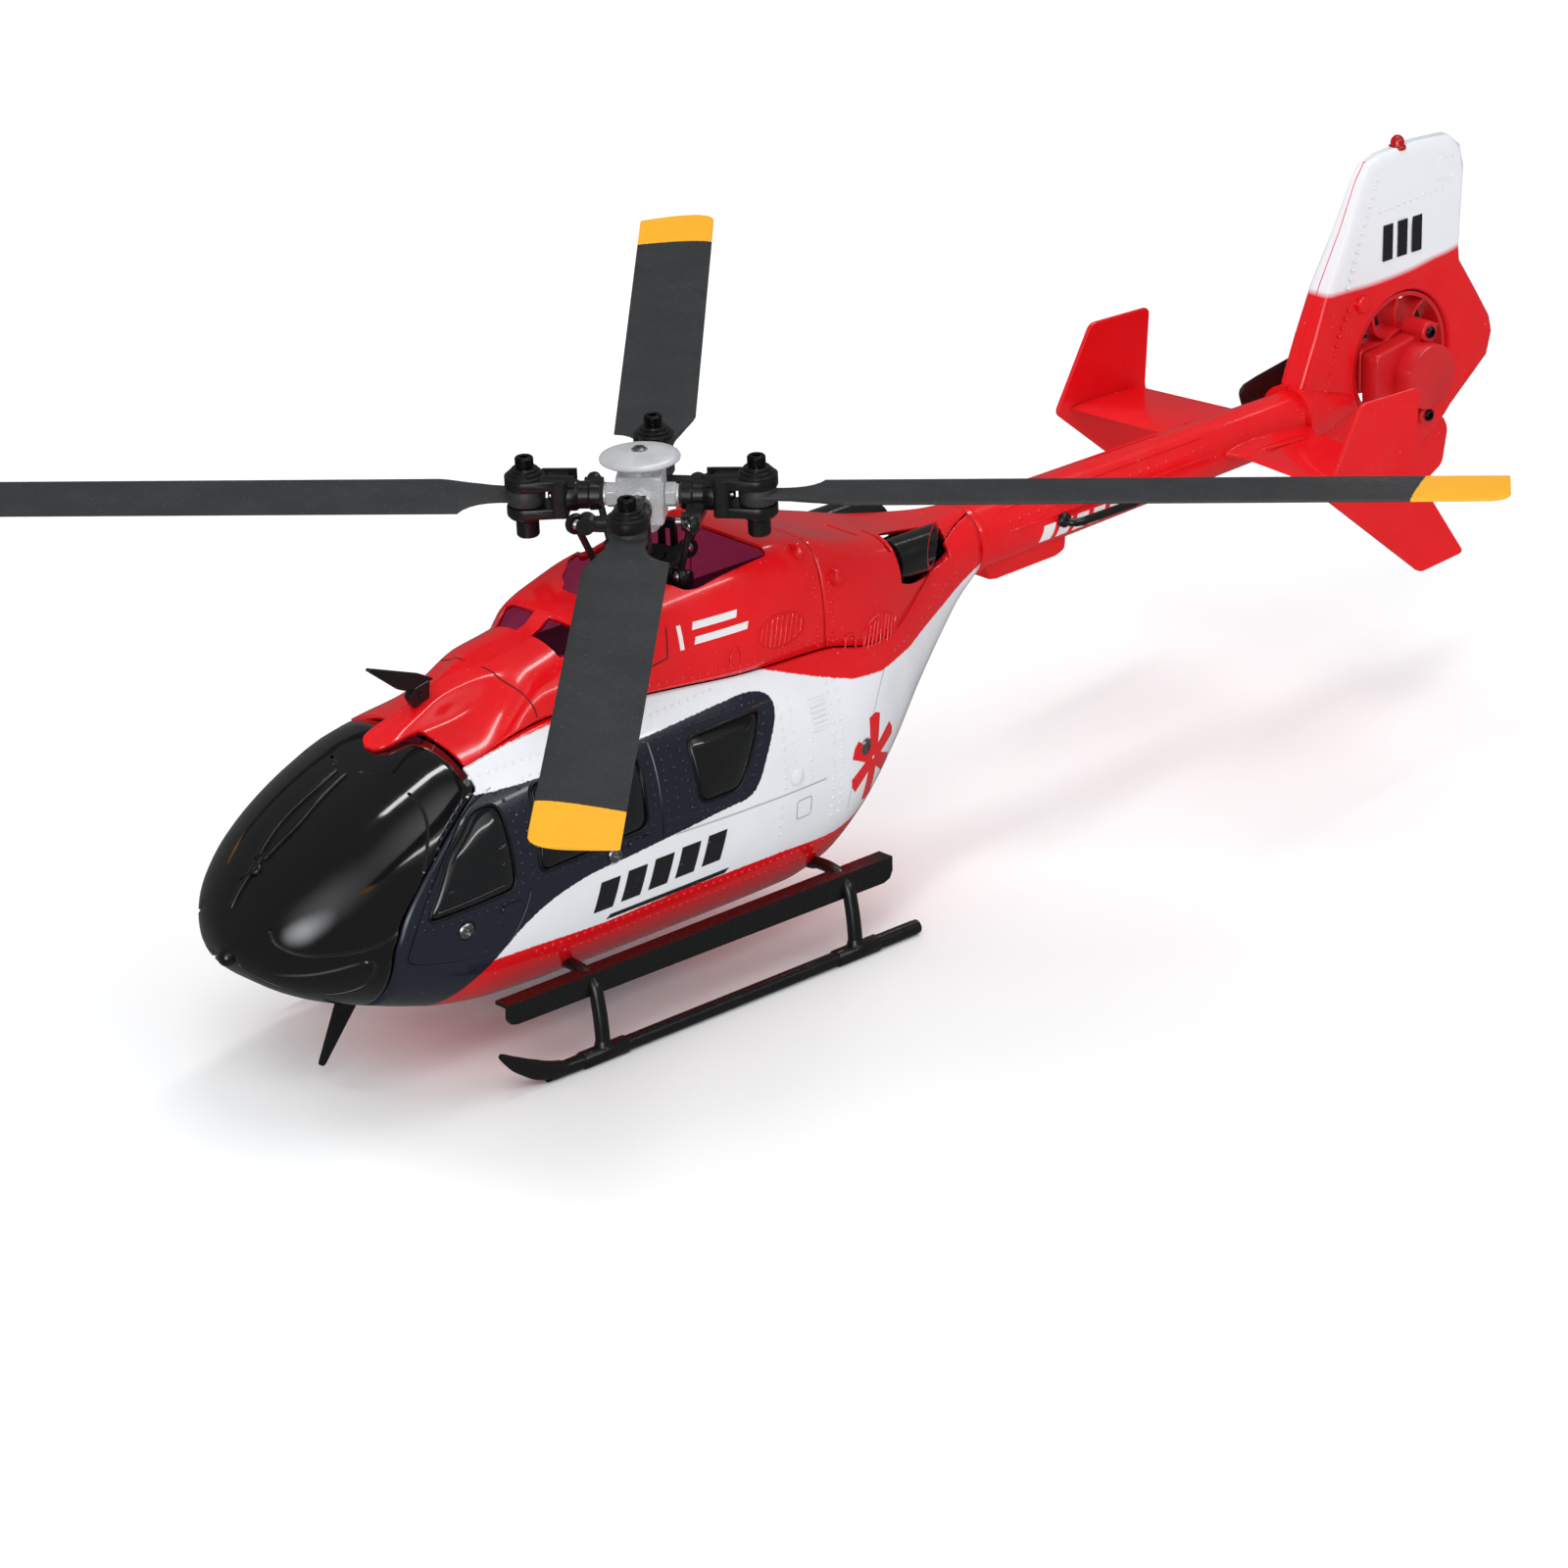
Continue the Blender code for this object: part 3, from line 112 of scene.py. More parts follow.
# Fuselage sections: y, bottom, widest height, top, half width, flat half of belly, flat half of roof
HULL = (
    (-116.2, 23.9, 24.9, 25.9, 1.6, 0.4, 0.3),
    (-115.9, 22.9, 24.9, 27.0, 3.6, 0.8, 0.6),
    (-115.3, 21.8, 24.9, 28.4, 5.9, 1.4, 1.0),
    (-114.2, 19.6, 25.0, 31.2, 9.3, 2.0, 1.5),
    (-111.6, 16.6, 25.4, 35.0, 13.8, 2.5, 2.0),
    (-107.0, 13.4, 26.0, 39.2, 18.2, 3.5, 3.0),
    (-100.0, 10.0, 27.0, 44.4, 22.2, 4.5, 3.5),
    (-91.0, 6.8, 28.4, 49.4, 25.2, 5.5, 4.0),
    (-82.0, 4.0, 29.2, 53.2, 27.2, 6.5, 4.5),
    (-74.0, 2.0, 29.6, 55.8, 28.3, 7.5, 5.0),
    (-62.0, 0.5, 30.0, 57.4, 29.0, 8.0, 5.5),
    (-45.0, 0.0, 30.0, 58.6, 29.3, 8.0, 6.0),
    (-20.0, 0.0, 30.5, 59.4, 29.2, 8.0, 7.0),
    (5.0, 0.0, 31.0, 59.4, 28.6, 8.0, 8.0),
    (18.0, 0.0, 32.0, 59.2, 27.8, 8.0, 8.0),
    (28.0, 1.6, 33.5, 59.2, 26.6, 8.0, 8.0),
    (40.0, 7.4, 37.2, 59.6, 24.0, 7.0, 7.0),
    (52.0, 16.8, 42.0, 60.4, 19.8, 5.5, 5.5),
    (63.0, 27.4, 47.0, 61.4, 15.2, 4.0, 4.0),
    (73.0, 36.8, 51.0, 62.2, 11.5, 3.0, 2.5),
    (81.0, 43.8, 54.0, 62.8, 9.0, 2.0, 1.5),
    (87.0, 47.8, 55.4, 63.2, 7.8, 1.0, 1.0),
)
HULL_LOWER_POWER = 2.35
HULL_UPPER_POWER = 2.2
JOINT_FRONT, JOINT_REAR = -92.6, -67.8
JOINT_ANGLES = (-15.0, 47.0)

# Cowl sections: y, angle on the hull where it starts, top, flat half, side power
COWL = (
    (-78.0, 59.0, 55.4, 2.0, 2.0),
    (-76.6, 59.2, 56.4, 2.0, 2.0),
    (-74.0, 59.5, 57.6, 2.0, 2.0),
    (-66.0, 60.5, 60.6, 2.0, 2.0),
    (-62.0, 62.0, 62.2, 2.0, 2.1),
    (-54.0, 65.0, 64.6, 2.3, 2.1),
    (-45.0, 67.0, 66.8, 2.5, 2.1),
    (-34.0, 65.0, 69.2, 3.0, 1.9),
    (-30.5, 63.0, 71.6, 9.0, 1.7),
    (-22.0, 60.0, 73.6, 11.0, 1.7),
    (-12.0, 57.0, 75.2, 12.5, 1.8),
    (5.0, 52.0, 76.8, 13.0, 2.1),
    (18.0, 50.0, 77.2, 13.0, 2.5),
    (28.0, 47.0, 75.6, 11.0, 3.0),
    (40.0, 34.0, 72.0, 10.0, 3.4),
    (52.0, 26.0, 69.0, 8.0, 3.0),
    (63.0, 30.0, 66.4, 6.0, 2.6),
    (73.0, 44.0, 64.8, 4.0, 2.3),
    (81.0, 60.0, 64.0, 2.5, 2.0),
    (87.0, 70.0, 63.8, 1.0, 2.0),
)
COWL_SPLIT = 28.0
SHELL_GAP = 0.35
SHELL_WALL = 1.0

# Livery lines on the side of the hull, as y, z
ROOF_LINE = ((-120.0, 50.0), (-64.2, 54.1), (-55.0, 55.1), (-44.7, 55.8), (-22.2, 57.4), (-7.3, 56.6),
             (3.0, 55.4), (10.6, 53.3), (22.1, 49.2), (32.9, 45.6), (42.9, 44.3), (55.0, 45.2), (71.1, 48.4),
             (90.0, 53.0))
BELLY_LINE = ((-120.0, 15.0), (-60.0, 15.0), (-40.0, 14.3), (-18.0, 15.0), (10.0, 14.2), (27.0, 12.8),
              (36.0, 13.5), (44.0, 17.0), (60.0, 27.0), (90.0, 50.0))
NAVY = ((-100.0, 52.0), (-71.0, 49.4), (-51.0, 49.0), (-27.6, 49.6), (-4.0, 50.8), (4.0, 50.9), (8.3, 49.3),
        (8.8, 45.5), (4.6, 38.0), (1.6, 32.6), (-1.6, 30.4), (-8.0, 30.0), (-32.7, 27.9), (-46.0, 26.9),
        (-56.3, 24.2), (-63.7, 20.1), (-70.1, 14.0), (-76.0, 8.0), (-84.0, -1.0), (-100.0, -2.0))

# Side windows: corners as y, z
WINDOWS = (
    ((-65.3, 47.2), (-64.8, 29.8), (-86.0, 28.0), (-79.4, 40.5), (-71.5, 47.2)),
    ((-29.4, 47.8), (-29.6, 32.6), (-58.4, 31.3), (-57.0, 48.4)),
    ((5.0, 47.4), (-3.9, 33.2), (-14.8, 33.2), (-16.0, 46.9)),
)
WINDOW_ROUND = 2.5
# Sheet behind the panes: its height range, the slant of its front edge and its rear edge
BACKING_Z = (27.0, 49.0)
BACKING_FRONT = (-86.5, 0.72)
BACKING_REAR = 3.0
# Bulge of a pane: its outline's scale and its height above the hull
PANE_LEVELS = ((0.985, -1.6), (0.985, -0.35), (0.95, 0.1), (0.88, 0.42), (0.76, 0.7), (0.6, 0.92),
               (0.4, 1.08), (0.2, 1.15), (0.05, 1.17))
PANE_LINES = (((-84.0, 29.8), (-68.0, 31.6)), ((-81.0, 33.4), (-67.5, 36.0)), ((-75.0, 38.0), (-66.6, 39.4)))

# Canopy panes and bars as x, y, z near the skin, and the lamp ball's middle
WINDSCREEN = ((7.0, -106.0, 39.0), (4.6, -95.0, 46.4), (3.4, -84.5, 51.6), (6.2, -81.6, 52.8),
              (16.0, -80.4, 50.8), (21.4, -80.8, 46.6), (24.6, -85.0, 38.6), (25.2, -90.0, 30.4),
              (23.6, -95.4, 26.0), (18.6, -106.2, 25.2), (13.6, -111.2, 26.6), (10.4, -112.4, 30.0))
CHIN = ((3.0, -115.4, 21.6), (10.0, -113.0, 21.0), (17.1, -107.4, 21.2), (22.6, -98.6, 22.6),
        (23.0, -96.8, 20.2), (20.6, -98.6, 16.6), (16.0, -104.4, 15.2), (9.0, -112.0, 18.4))
CENTRE_BAR = ((0.0, -113.4, 32.0), (0.0, -110.0, 36.6), (0.0, -105.6, 40.6))
WIPER = ((1.0, -105.8, 40.4), (2.2, -99.0, 45.0), (1.7, -91.0, 49.4), (1.4, -84.6, 52.0))
WIPER_FOOT = ((-1.6, -109.6, 36.6), (1.6, -107.6, 38.8), (-1.6, -106.2, 39.8), (1.6, -104.6, 41.2))
LAMP = (0.0, -115.6, 22.2)
LAMP_RADIUS = 1.9

# Lines and fittings on the body's side, as y, z
BODY_START = -62.0
PANEL_LINES = (
    ((-65.0, 49.8), (-74.1, 46.3), (-84.2, 35.3), (-89.3, 24.1), (-87.9, 19.3), (-70.7, 16.6), (-66.1, 18.5),
     (-62.6, 24.0), (-60.9, 28.8)),
    ((-25.5, 29.0), (-25.5, 38.0), (-25.5, 48.6)),
    ((-22.0, 28.7), (-2.0, 28.0), (22.0, 27.4)),
    ((44.0, 44.8), (41.4, 41.6), (37.9, 35.3)),
    ((32.6, 24.6), (31.0, 21.0), (30.7, 17.1)),
)
HATCH = ((13.0, 20.8), (17.4, 20.8), (17.4, 25.0), (13.0, 25.0))
SCREWS = ((-77.0, 24.1), (-38.6, 29.3), (35.6, 29.8))
HANDLES = ((-65.9, 26.2), (-32.2, 30.3))
VENT = (20.7, 42.0)
FILLER_CAP = (12.8, 30.8)
RIVET = ((0.46, -0.3), (0.46, 0.03), (0.33, 0.2), (0.12, 0.27))
RIVET_LINES = (
    ((-58.0, 13.4), (-20.0, 13.6), (26.0, 12.0)),
    ((-56.0, 10.6), (-20.0, 10.8), (24.0, 9.6)),
    ((8.2, 19.0), (8.2, 27.0)), ((9.4, 29.5), (9.9, 47.0)), ((12.2, 34.5), (13.2, 48.0)),
    ((17.2, 29.0), (17.6, 38.0)), ((24.4, 18.0), (24.6, 49.0)), ((27.0, 18.0), (27.4, 48.0)),
    ((-23.6, 30.0), (-23.4, 49.0)), ((-21.0, 30.0), (-20.8, 49.0)),
    ((46.4, 46.4), (53.0, 47.0), (66.0, 50.0), (78.0, 53.6)),
    ((-68.0, 52.0), (-55.0, 52.6), (-30.0, 52.4), (-4.0, 53.2)),
)
# Rows of plain bars: first y, pitch and number
SIDE_BARS = (-44.0, 7.4, 5)
BOOM_BARS = (106.0, 5.2, 5)
FIN_BARS = (219.6, 4.9, 3)
STAR_CENTRE = (38.9, 26.2)
STAR_REACH = (10.2, 8.8)
STAR_WIDTH = 1.75

# Cowl: narrow ridge behind the canopy, openings as x, y, fittings on its side as y, z
RIDGE_Y = (-62.0, -44.0)
RIDGE_HALF = 4.4
MAST_OPENING = ((16.8, 16.5), (16.6, -3.0), (13.5, -9.0), (9.5, -15.5), (4.5, -20.5), (1.5, -22.5))
INTAKE_X = (2.0, 11.5)
INTAKE_Y = (-36.0, -30.6)
TONGUE = ((24.0, -80.0), (24.0, -67.3), (5.4, -67.3), (4.7, -68.2), (4.3, -71.0), (4.0, -74.0), (3.4, -75.7),
          (2.6, -76.6), (1.4, -77.3))
LOUVRES = ((0.6, 11.0, 47.6), (5.8, 15.6, 52.4))
COWL_PANEL = ((-22.0, 60.5), (-14.0, 62.0), (-13.0, 68.0))
COWL_VENTS = ((15.8, 60.4, 6.4, 3.6), (44.5, 51.8, 6.2, 4.2))
COWL_LUGS = ((24.0, 74.6), (31.9, 67.6))
COWL_LATCHES = ((3.0, 58.4), (34.8, 52.8))
LATCH_ARCH = ((-1.4, -1.8), (-1.4, 0.4), (-0.8, 1.3), (0.0, 1.6), (0.8, 1.3), (1.4, 0.4), (1.4, -1.8))
EXHAUST_X, EXHAUST_Z = 12.2, 62.6
LOWER_CUTTER = ((-82.6, 3.6), (-88.0, 5.2), (-93.9, -8.6), (-93.0, -8.9))
UPPER_CUTTER = ((-67.0, 64.8), (-69.4, 65.8), (-77.0, 71.9), (-76.6, 72.3), (-63.6, 67.6), (-60.0, 65.6))
CUTTER_FOOT = ((-61.8, 61.9), (-65.8, 60.9), (-67.2, 63.4), (-65.6, 65.2), (-61.4, 66.0))

# Tail fittings: side views as y, z, the handle as distance from the boom, y and height
BOOM_BOX = ((92.0, 51.0), (93.4, 45.8), (95.0, 45.2), (115.0, 45.6), (117.6, 46.6), (118.0, 51.0))
HANDLE_PATH = ((0.8, 112.0, -0.2), (2.4, 112.6, -0.4), (3.3, 114.6, -0.5), (3.4, 118.0, -0.5),
               (3.4, 128.0, -0.5), (3.3, 131.4, -0.5), (2.4, 133.4, -0.4), (0.8, 134.0, -0.2))
BOOM_RIBS_Y = (96.0, 160.0)
BOOM_RIB_ANGLES = (12.0, 168.0, 52.0, 128.0)
FIN_GAP = 0.13
FIN_MIDDLE = (226.0, 74.0)
FIN_BOSS = (212.9, 79.6)
# Lowest point of the white paint on the fin as y, z, and how strongly its edge bows up from there
FIN_WHITE = (216.0, 83.6)
FIN_WHITE_BOW = 3.0
FIN_TAB = ((238.6, 102.6), (244.0, 102.6), (244.6, 107.8), (239.2, 107.8))
FIN_RIVETS = (((208.0, 84.5), (214.0, 98.0), (219.0, 108.0)), ((219.0, 99.8), (242.0, 101.0)),
              ((200.6, 62.0), (205.0, 74.0), (209.0, 80.0)))
BUMPER = ((243.4, 45.0), (245.0, 42.0), (243.2, 33.4), (236.5, 30.0), (222.0, 32.0), (221.0, 42.0))
BEACON = ((2.0, 112.2), (2.0, 112.9), (1.7, 113.1), (1.6, 113.2), (1.6, 114.0), (1.3, 114.7), (0.8, 115.2),
          (0.2, 115.4))
VANES = 10
TAIL_TEETH = (24, 10)
TAIL_MODULE = 0.5
TAIL_MOTOR_Y = TAIL_AXIS[0] - sum(TAIL_TEETH) * TAIL_MODULE / 2 - 0.05
EARS = (7.4, -12.4)
COVER_DROP = 2.2
# Tail rotor blade: radius, chord, twist in degrees
TAIL_BLADE = ((1.5, 4.6, 20), (5.0, 6.0, 18), (9.0, 8.6, 15), (20.0, 8.6, 11), (30.0, 8.0, 8),
              (34.6, 7.2, 7), (35.9, 5.6, 7), (TAIL_ROTOR_RADIUS, 3.6, 7))

# Landing gear: half a cross tube as x, z, a skid as y, rise and radius, a step board's web as y, z
CROSS_PATH = ((16.0, 5.4), (22.0, 6.2), (26.0, 6.1), (29.0, 5.1), (31.0, 3.2), (31.9, -0.2), (32.6, -4.4),
              (33.0, -8.8))
SKID_PATH = ((36.4, 0.0, 0.9), (36.0, 0.0, 1.4), (35.2, 0.0, SKID_RADIUS), (-54.0, 0.0, SKID_RADIUS),
             (-58.0, 0.2, 1.75), (-61.6, 0.9, 2.0), (-65.0, 2.2, 2.1), (-70.0, 5.0, 1.6), (-74.2, 8.2, 0.5))
STEP_WEB = ((-69.8, 6.4), (-69.8, 3.2), (-69.0, 2.1), (-67.4, 1.7), (34.4, 1.0), (36.2, 1.6), (37.0, 3.2),
            (37.0, 6.4))

# Rotor head: turned profiles as radius and height, blade sections as radius, front, back and thickness
HEAD_DOME = ((3.0, 6.0), (3.0, 7.5), (8.0, 7.7), (8.35, 7.9), (8.4, 8.2), (8.2, 8.5), (7.0, 8.95), (5.4, 9.4),
             (3.6, 9.7), (2.0, 9.85), (1.75, 9.87), (1.7, 9.55))
GRIP_BARREL = ((1.6, 7.9), (2.7, 8.0), (3.1, 8.4), (3.2, 10.4), (2.9, 10.8), (2.9, 12.8), (3.3, 13.4),
               (3.4, 17.0), (2.6, 17.4))
GRIP_WASHERS = ((4.3, 3.9), (4.3, 4.5), (4.0, 4.75), (3.5, 4.8), (3.5, 5.2), (3.3, 5.4), (2.8, 5.45),
                (2.8, 5.95), (2.6, 6.1))
GRIP_POST = ((2.1, -8.8), (2.4, -8.4), (2.4, -5.4), (2.9, -5.0), (3.6, -4.6), (3.9, -4.0))
PITCH_ARM = ((9.4, -2.0), (9.6, -8.4), (10.2, -10.0), (12.4, -10.0), (13.0, -8.4), (13.6, -2.0))
BLADE_ROOT = ((-3.9, 1.2, 1.2, 3.4), (-3.2, 2.4, 2.4, 3.4), (-1.6, 3.6, 3.6, 3.4), (0.0, 3.9, 3.9, 3.4),
              (2.0, 3.8, 3.8, 3.4), (5.0, 3.9, 3.7, 3.2), (7.4, 4.4, 4.0, 3.0), (9.4, 5.1, 4.7, 2.9),
              (11.0, 5.6, 5.8, 2.8), (12.2, 6.0, 7.2, 2.7), (12.9, 6.2, 8.7, 2.6))
BLADE_TIP = ((4.0, 0.1, 1.6), (2.4, 0.6, 1.55), (1.2, 1.5, 1.5), (0.4, 2.8, 1.4))
YELLOW_START = 157.8
YELLOW_SLOPE = 0.19
SWASH_FIXED = ((2.0, -1.7), (5.8, -1.7), (6.2, -1.3), (6.2, 1.2), (5.8, 1.6), (4.0, 1.7), (4.0, 5.0),
               (2.0, 5.0))
SWASH_TURNING = ((4.35, 2.0), (7.2, 2.0), (7.5, 2.4), (7.5, 4.2), (7.1, 4.7), (4.35, 4.7))
SERVO_BALL = ((0.7, 6.0), (0.7, 8.0), (1.2, 8.3), (1.5, 8.8), (1.2, 9.4), (0.5, 9.7))
LINK_BALL = ((0.6, 9.0), (0.6, 10.2), (1.3, 10.6), (1.5, 11.2), (1.3, 11.8), (0.5, 12.2))
LINK_LOW = (11.2, 0.0, 3.3)
LINK_HIGH = (11.2, -12.4, ROTOR_HEIGHT - SWASH_HEIGHT - 2.0)

# Colours
RED = (0.76, 0.004, 0.008, 1.0)
WHITE = (0.83, 0.84, 0.87, 1.0)
NAVY_BLUE = (0.012, 0.015, 0.026, 1.0)
BLACK = (0.004, 0.004, 0.0045, 1.0)
YELLOW = (0.92, 0.44, 0.004, 1.0)
# Moulded materials: name, colour, roughness, bump depth and size in mm, coat, rubbed edges, colour drift
MOULDED = {
    "canopy": ("canopy_gloss_black", BLACK, 0.1, 0.004, 1.5, 1.0, 0.04, 0.05),
    "pane": ("window_smoked_black", (0.007, 0.0075, 0.008, 1.0), 0.12, 0.004, 1.5, 1.0, 0.05, 0.1),
    "seal": ("window_seal_rubber", (0.006, 0.006, 0.0065, 1.0), 0.35, 0.02, 0.35, 0.0, 0.2, 0.1),
    "groove_red": ("cowl_groove_shadow", (0.25, 0.004, 0.006, 1.0), 0.5, 0.01, 0.35, 0.0, 0.0, 0.1),
    # Canopy grooves are dark grey, lighter than the canopy itself: painted highlight along the pane outlines
    "groove_painted_highlight": ("canopy_groove_gloss", (0.018, 0.018, 0.019, 1.0), 0.1, 0.004, 1.5, 1.0, 0.0, 0.1),
    "red_plastic": ("red_moulded_plastic", (0.6, 0.008, 0.012, 1.0), 0.34, 0.012, 0.6, 0.2, 0.1, 0.1),
    "satin": ("satin_black_moulding", (0.007, 0.007, 0.0072, 1.0), 0.25, 0.008, 0.4, 0.3, 0.12, 0.1),
    "nylon": ("black_nylon", (0.007, 0.007, 0.0072, 1.0), 0.3, 0.012, 0.3, 0.15, 0.15, 0.1),
    "gloss_black": ("gloss_black_moulding", (0.008, 0.008, 0.0085, 1.0), 0.18, 0.006, 0.8, 0.5, 0.25, 0.1),
    "inside": ("shell_inside_grey", (0.05, 0.05, 0.052, 1.0), 0.6, 0.02, 0.35, 0.0, 0.0, 0.1),
    "natural": ("undyed_nylon", (0.78, 0.77, 0.71, 1.0), 0.45, 0.02, 0.35, 0.0, 0.25, 0.05),
    "wrap": ("blue_battery_wrap", (0.015, 0.07, 0.36, 1.0), 0.3, 0.03, 1.2, 0.4, 0.25, 0.1),
    "board": ("green_solder_mask", (0.01, 0.16, 0.05, 1.0), 0.35, 0.02, 0.6, 0.3, 0.25, 0.1),
}
# Metals: name, colour, roughness, how metallic
METALS = {
    "brushed_disc": ("brushed_dome", (0.66, 0.67, 0.68, 1.0), 0.42, 0.45),
    "aluminium": ("milled_aluminium", (0.86, 0.87, 0.88, 1.0), 0.3, 0.45),
    "steel": ("ground_steel", (0.56, 0.56, 0.57, 1.0), 0.22, 1.0),
    "dark_steel": ("black_oxide_steel", (0.045, 0.045, 0.047, 1.0), 0.28, 1.0),
    "brass": ("cut_brass", (0.78, 0.5, 0.18, 1.0), 0.25, 1.0),
}
# Material of each CAD node that stays visible, by the record's material slot
CARRIED = {
    "gloss_red": "red", "gloss_white": "livery", "gloss_black": "canopy", "matt_black": "satin",
    "black_nylon": "nylon", "aluminium": "aluminium", "steel": "steel", "black_steel": "dark_steel",
    "natural_nylon": "natural", "brass": "brass", "blue_wrap": "wrap", "green_board": "board",
    "red_lens": "lens",
}

# Camera: angles, distance and offsets in mm, focal length on a 36 mm sensor
CAMERA_AZIMUTH = math.radians(47.2102)
CAMERA_ELEVATION = math.radians(22.3626)
CAMERA_ROLL = math.radians(-1.2262)
CAMERA_DISTANCE = 1327.3
CAMERA_SHIFT = (29.5384, -66.966)
CAMERA_TARGET = (0.0, -3.15, 98.2)
CAMERA_LENS = 149.54

# Studio: strength of the surroundings for surfaces, in reflections and behind the object
AMBIENT = 0.8
MIRRORED = 0.1
BACKDROP = 0.95
FLOOR_REACH = 6000.0
LIGHT_TARGET = (0.0, 0.04, 0.05)
# Soft glows seen only in reflections: direction, cosine where each fades out, strength
GLOWS = (((0.6, -0.79, 0.13), 0.9, 3.6), ((0.62, -0.6, 0.5), 0.8, 0.7), ((0.62, 0.2, 0.76), 0.86, 0.8))


# ---------------------------------------------------------------- mesh helpers

class Shape:
    """Vertices in mm and faces with a material number each, gathered before one mesh is made."""

    def __init__(self, part=None):
        self.verts = []
        self.faces = []
        self.slots = []
        if part:
            self.add(part)

    def add(self, part, slot=0, matrix=None):
        verts, faces = part
        start = len(self.verts)
        for vert in verts:
            vert = Vector(vert)
            self.verts.append(matrix @ vert if matrix else vert)
        self.faces += [tuple(start + i for i in face) for face in faces]
        self.slots += [slot] * len(faces)
        return self


def put(name, data):
    """Add an object to the scene."""
    made = bpy.data.objects.new(name, data)
    bpy.context.scene.collection.objects.link(made)
    return made


def mesh_of(name, part, matrix=None):
    """Mesh in metres from a part or shape in mm, and the shape it came from."""
    shape = part if isinstance(part, Shape) else Shape(part)
    mesh = bpy.data.meshes.new(name)
    mesh.from_pydata([(matrix @ v if matrix else v) * MM for v in shape.verts], [], shape.faces)
    return mesh, shape


def make(name, part, look, slot, body="airframe", smooth=SMOOTH_ANGLE, matrix=None, replaces=None):
    """One piece; look is a key of MAT or one key per material number; slot, the record's material slot, is
    not used.
    """
    mesh, shape = mesh_of(name, part, matrix)
    mesh.polygons.foreach_set("material_index", shape.slots)
    for key in (look,) if isinstance(look, str) else look:
        mesh.materials.append(MAT[key])
    tidy_mesh(mesh, smooth)
    made = put(name, mesh)
    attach(made, body)
    if replaces:
        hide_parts(replaces)
    return made


def tidy_mesh(mesh, smooth):
    bm = bmesh.new()
    bm.from_mesh(mesh)
    bmesh.ops.recalc_face_normals(bm, faces=bm.faces)
    bm.to_mesh(mesh)
    bm.free()
    mesh.shade_smooth()
    mesh.set_sharp_from_angle(angle=math.radians(smooth))


def apply_modifiers(item):
    bpy.context.view_layer.update()
    graph = bpy.context.evaluated_depsgraph_get()
    mesh = bpy.data.meshes.new_from_object(item.evaluated_get(graph))
    item.modifiers.clear()
    old = item.data
    item.data = mesh
    bpy.data.meshes.remove(old)


def bevel(item, width, segments=2, angle=35.0):
    """Round the sharp edges of a piece and keep its flats flat."""
    step = item.modifiers.new("bevel", "BEVEL")
    step.width = width * MM
    step.segments = segments
    step.limit_method = "ANGLE"
    step.angle_limit = math.radians(angle)
    step.harden_normals = True
    return item


def combine(item, operation, part, slot=0, crossing=False):
    """Union with, or cut by, another closed shape given in mm; crossing if the shape's own parts overlap."""
    mesh, _ = mesh_of("tool", part)
    for own in item.data.materials:
        mesh.materials.append(own)
    mesh.polygons.foreach_set("material_index", [slot] * len(mesh.polygons))
    tidy_mesh(mesh, SMOOTH_ANGLE)
    tool = put("tool", mesh)
    step = item.modifiers.new("boolean", "BOOLEAN")
    step.operation = operation
    step.object = tool
    step.use_self = crossing
    apply_modifiers(item)
    bpy.data.objects.remove(tool, do_unlink=True)
    bpy.data.meshes.remove(mesh)
    return item


def loft(rings, closed=True, caps=True):
    """Faces between rings with equal point counts."""
    count = len(rings[0])
    verts = [point for ring in rings for point in ring]
    faces = []
    for row in range(len(rings) - 1):
        for i in range(count if closed else count - 1):
            j = (i + 1) % count
            faces.append((row * count + i, row * count + j, (row + 1) * count + j, (row + 1) * count + i))
    if caps:
        faces.append(tuple(range(count))[::-1])
        faces.append(tuple((len(rings) - 1) * count + i for i in range(count)))
    return verts, faces


def circle(count, radius=1.0):
    """Evenly spaced points of a circle."""
    turns = [2 * math.pi * i / count for i in range(count)]
    return [(radius * math.cos(turn), radius * math.sin(turn)) for turn in turns]


def laid(axis, level, a, b):
    """A point at a level of an axis; a and b are its other two coordinates."""
    return {"X": (level, a, b), "Y": (a, level, b), "Z": (a, b, level)}[axis]


def lathe(profile, segments=32, axis="Z", centre=(0.0, 0.0, 0.0)):
    """A closed body of revolution from (radius, height) pairs."""
    rings = []
    for radius, height in profile:
        points = [laid(axis, height, a, b) for a, b in circle(segments, radius)]
        rings.append([tuple(p + c for p, c in zip(point, centre)) for point in points])
    return loft(rings)


def rod(radius, low, high, segments=32, axis="Z", centre=(0.0, 0.0, 0.0)):
    """A plain cylinder."""
    return lathe([(radius, low), (radius, high)], segments, axis, centre)


def ring_lathe(profile, segments=32, axis="Z", centre=(0.0, 0.0, 0.0)):
    """A closed ring of revolution: the profile's last point joins its first."""
    verts, faces = lathe(list(profile) + [profile[0]], segments, axis, centre)
    faces = faces[:-2]
    count = len(verts) - segments
    faces = [tuple(i % count for i in face) for face in faces]
    return verts[:count], faces


def prism(outline, low, high, axis="Z", lip=0.0):
    """An outline pushed along an axis; for X its coordinates are y, z. Lip chamfers both rims."""
    middle = middle_of(outline)
    levels = [(low, 1.0), (high, 1.0)]
    if lip:
        reach = max((Vector(p) - middle).length for p in outline)
        levels = [(low, 1 - lip / reach), (low + lip, 1.0), (high - lip, 1.0), (high, 1 - lip / reach)]
    return loft([[laid(axis, level, *p) for p in scaled(outline, scale)] for level, scale in levels])


def middle_of(outline):
    return Vector([sum(p[i] for p in outline) / len(outline) for i in (0, 1)])


def scaled(outline, scale, middle=None):
    """An outline shrunk or grown about its middle."""
    middle = middle_of(outline) if middle is None else middle
    return [middle + (Vector(p) - middle) * scale for p in outline]


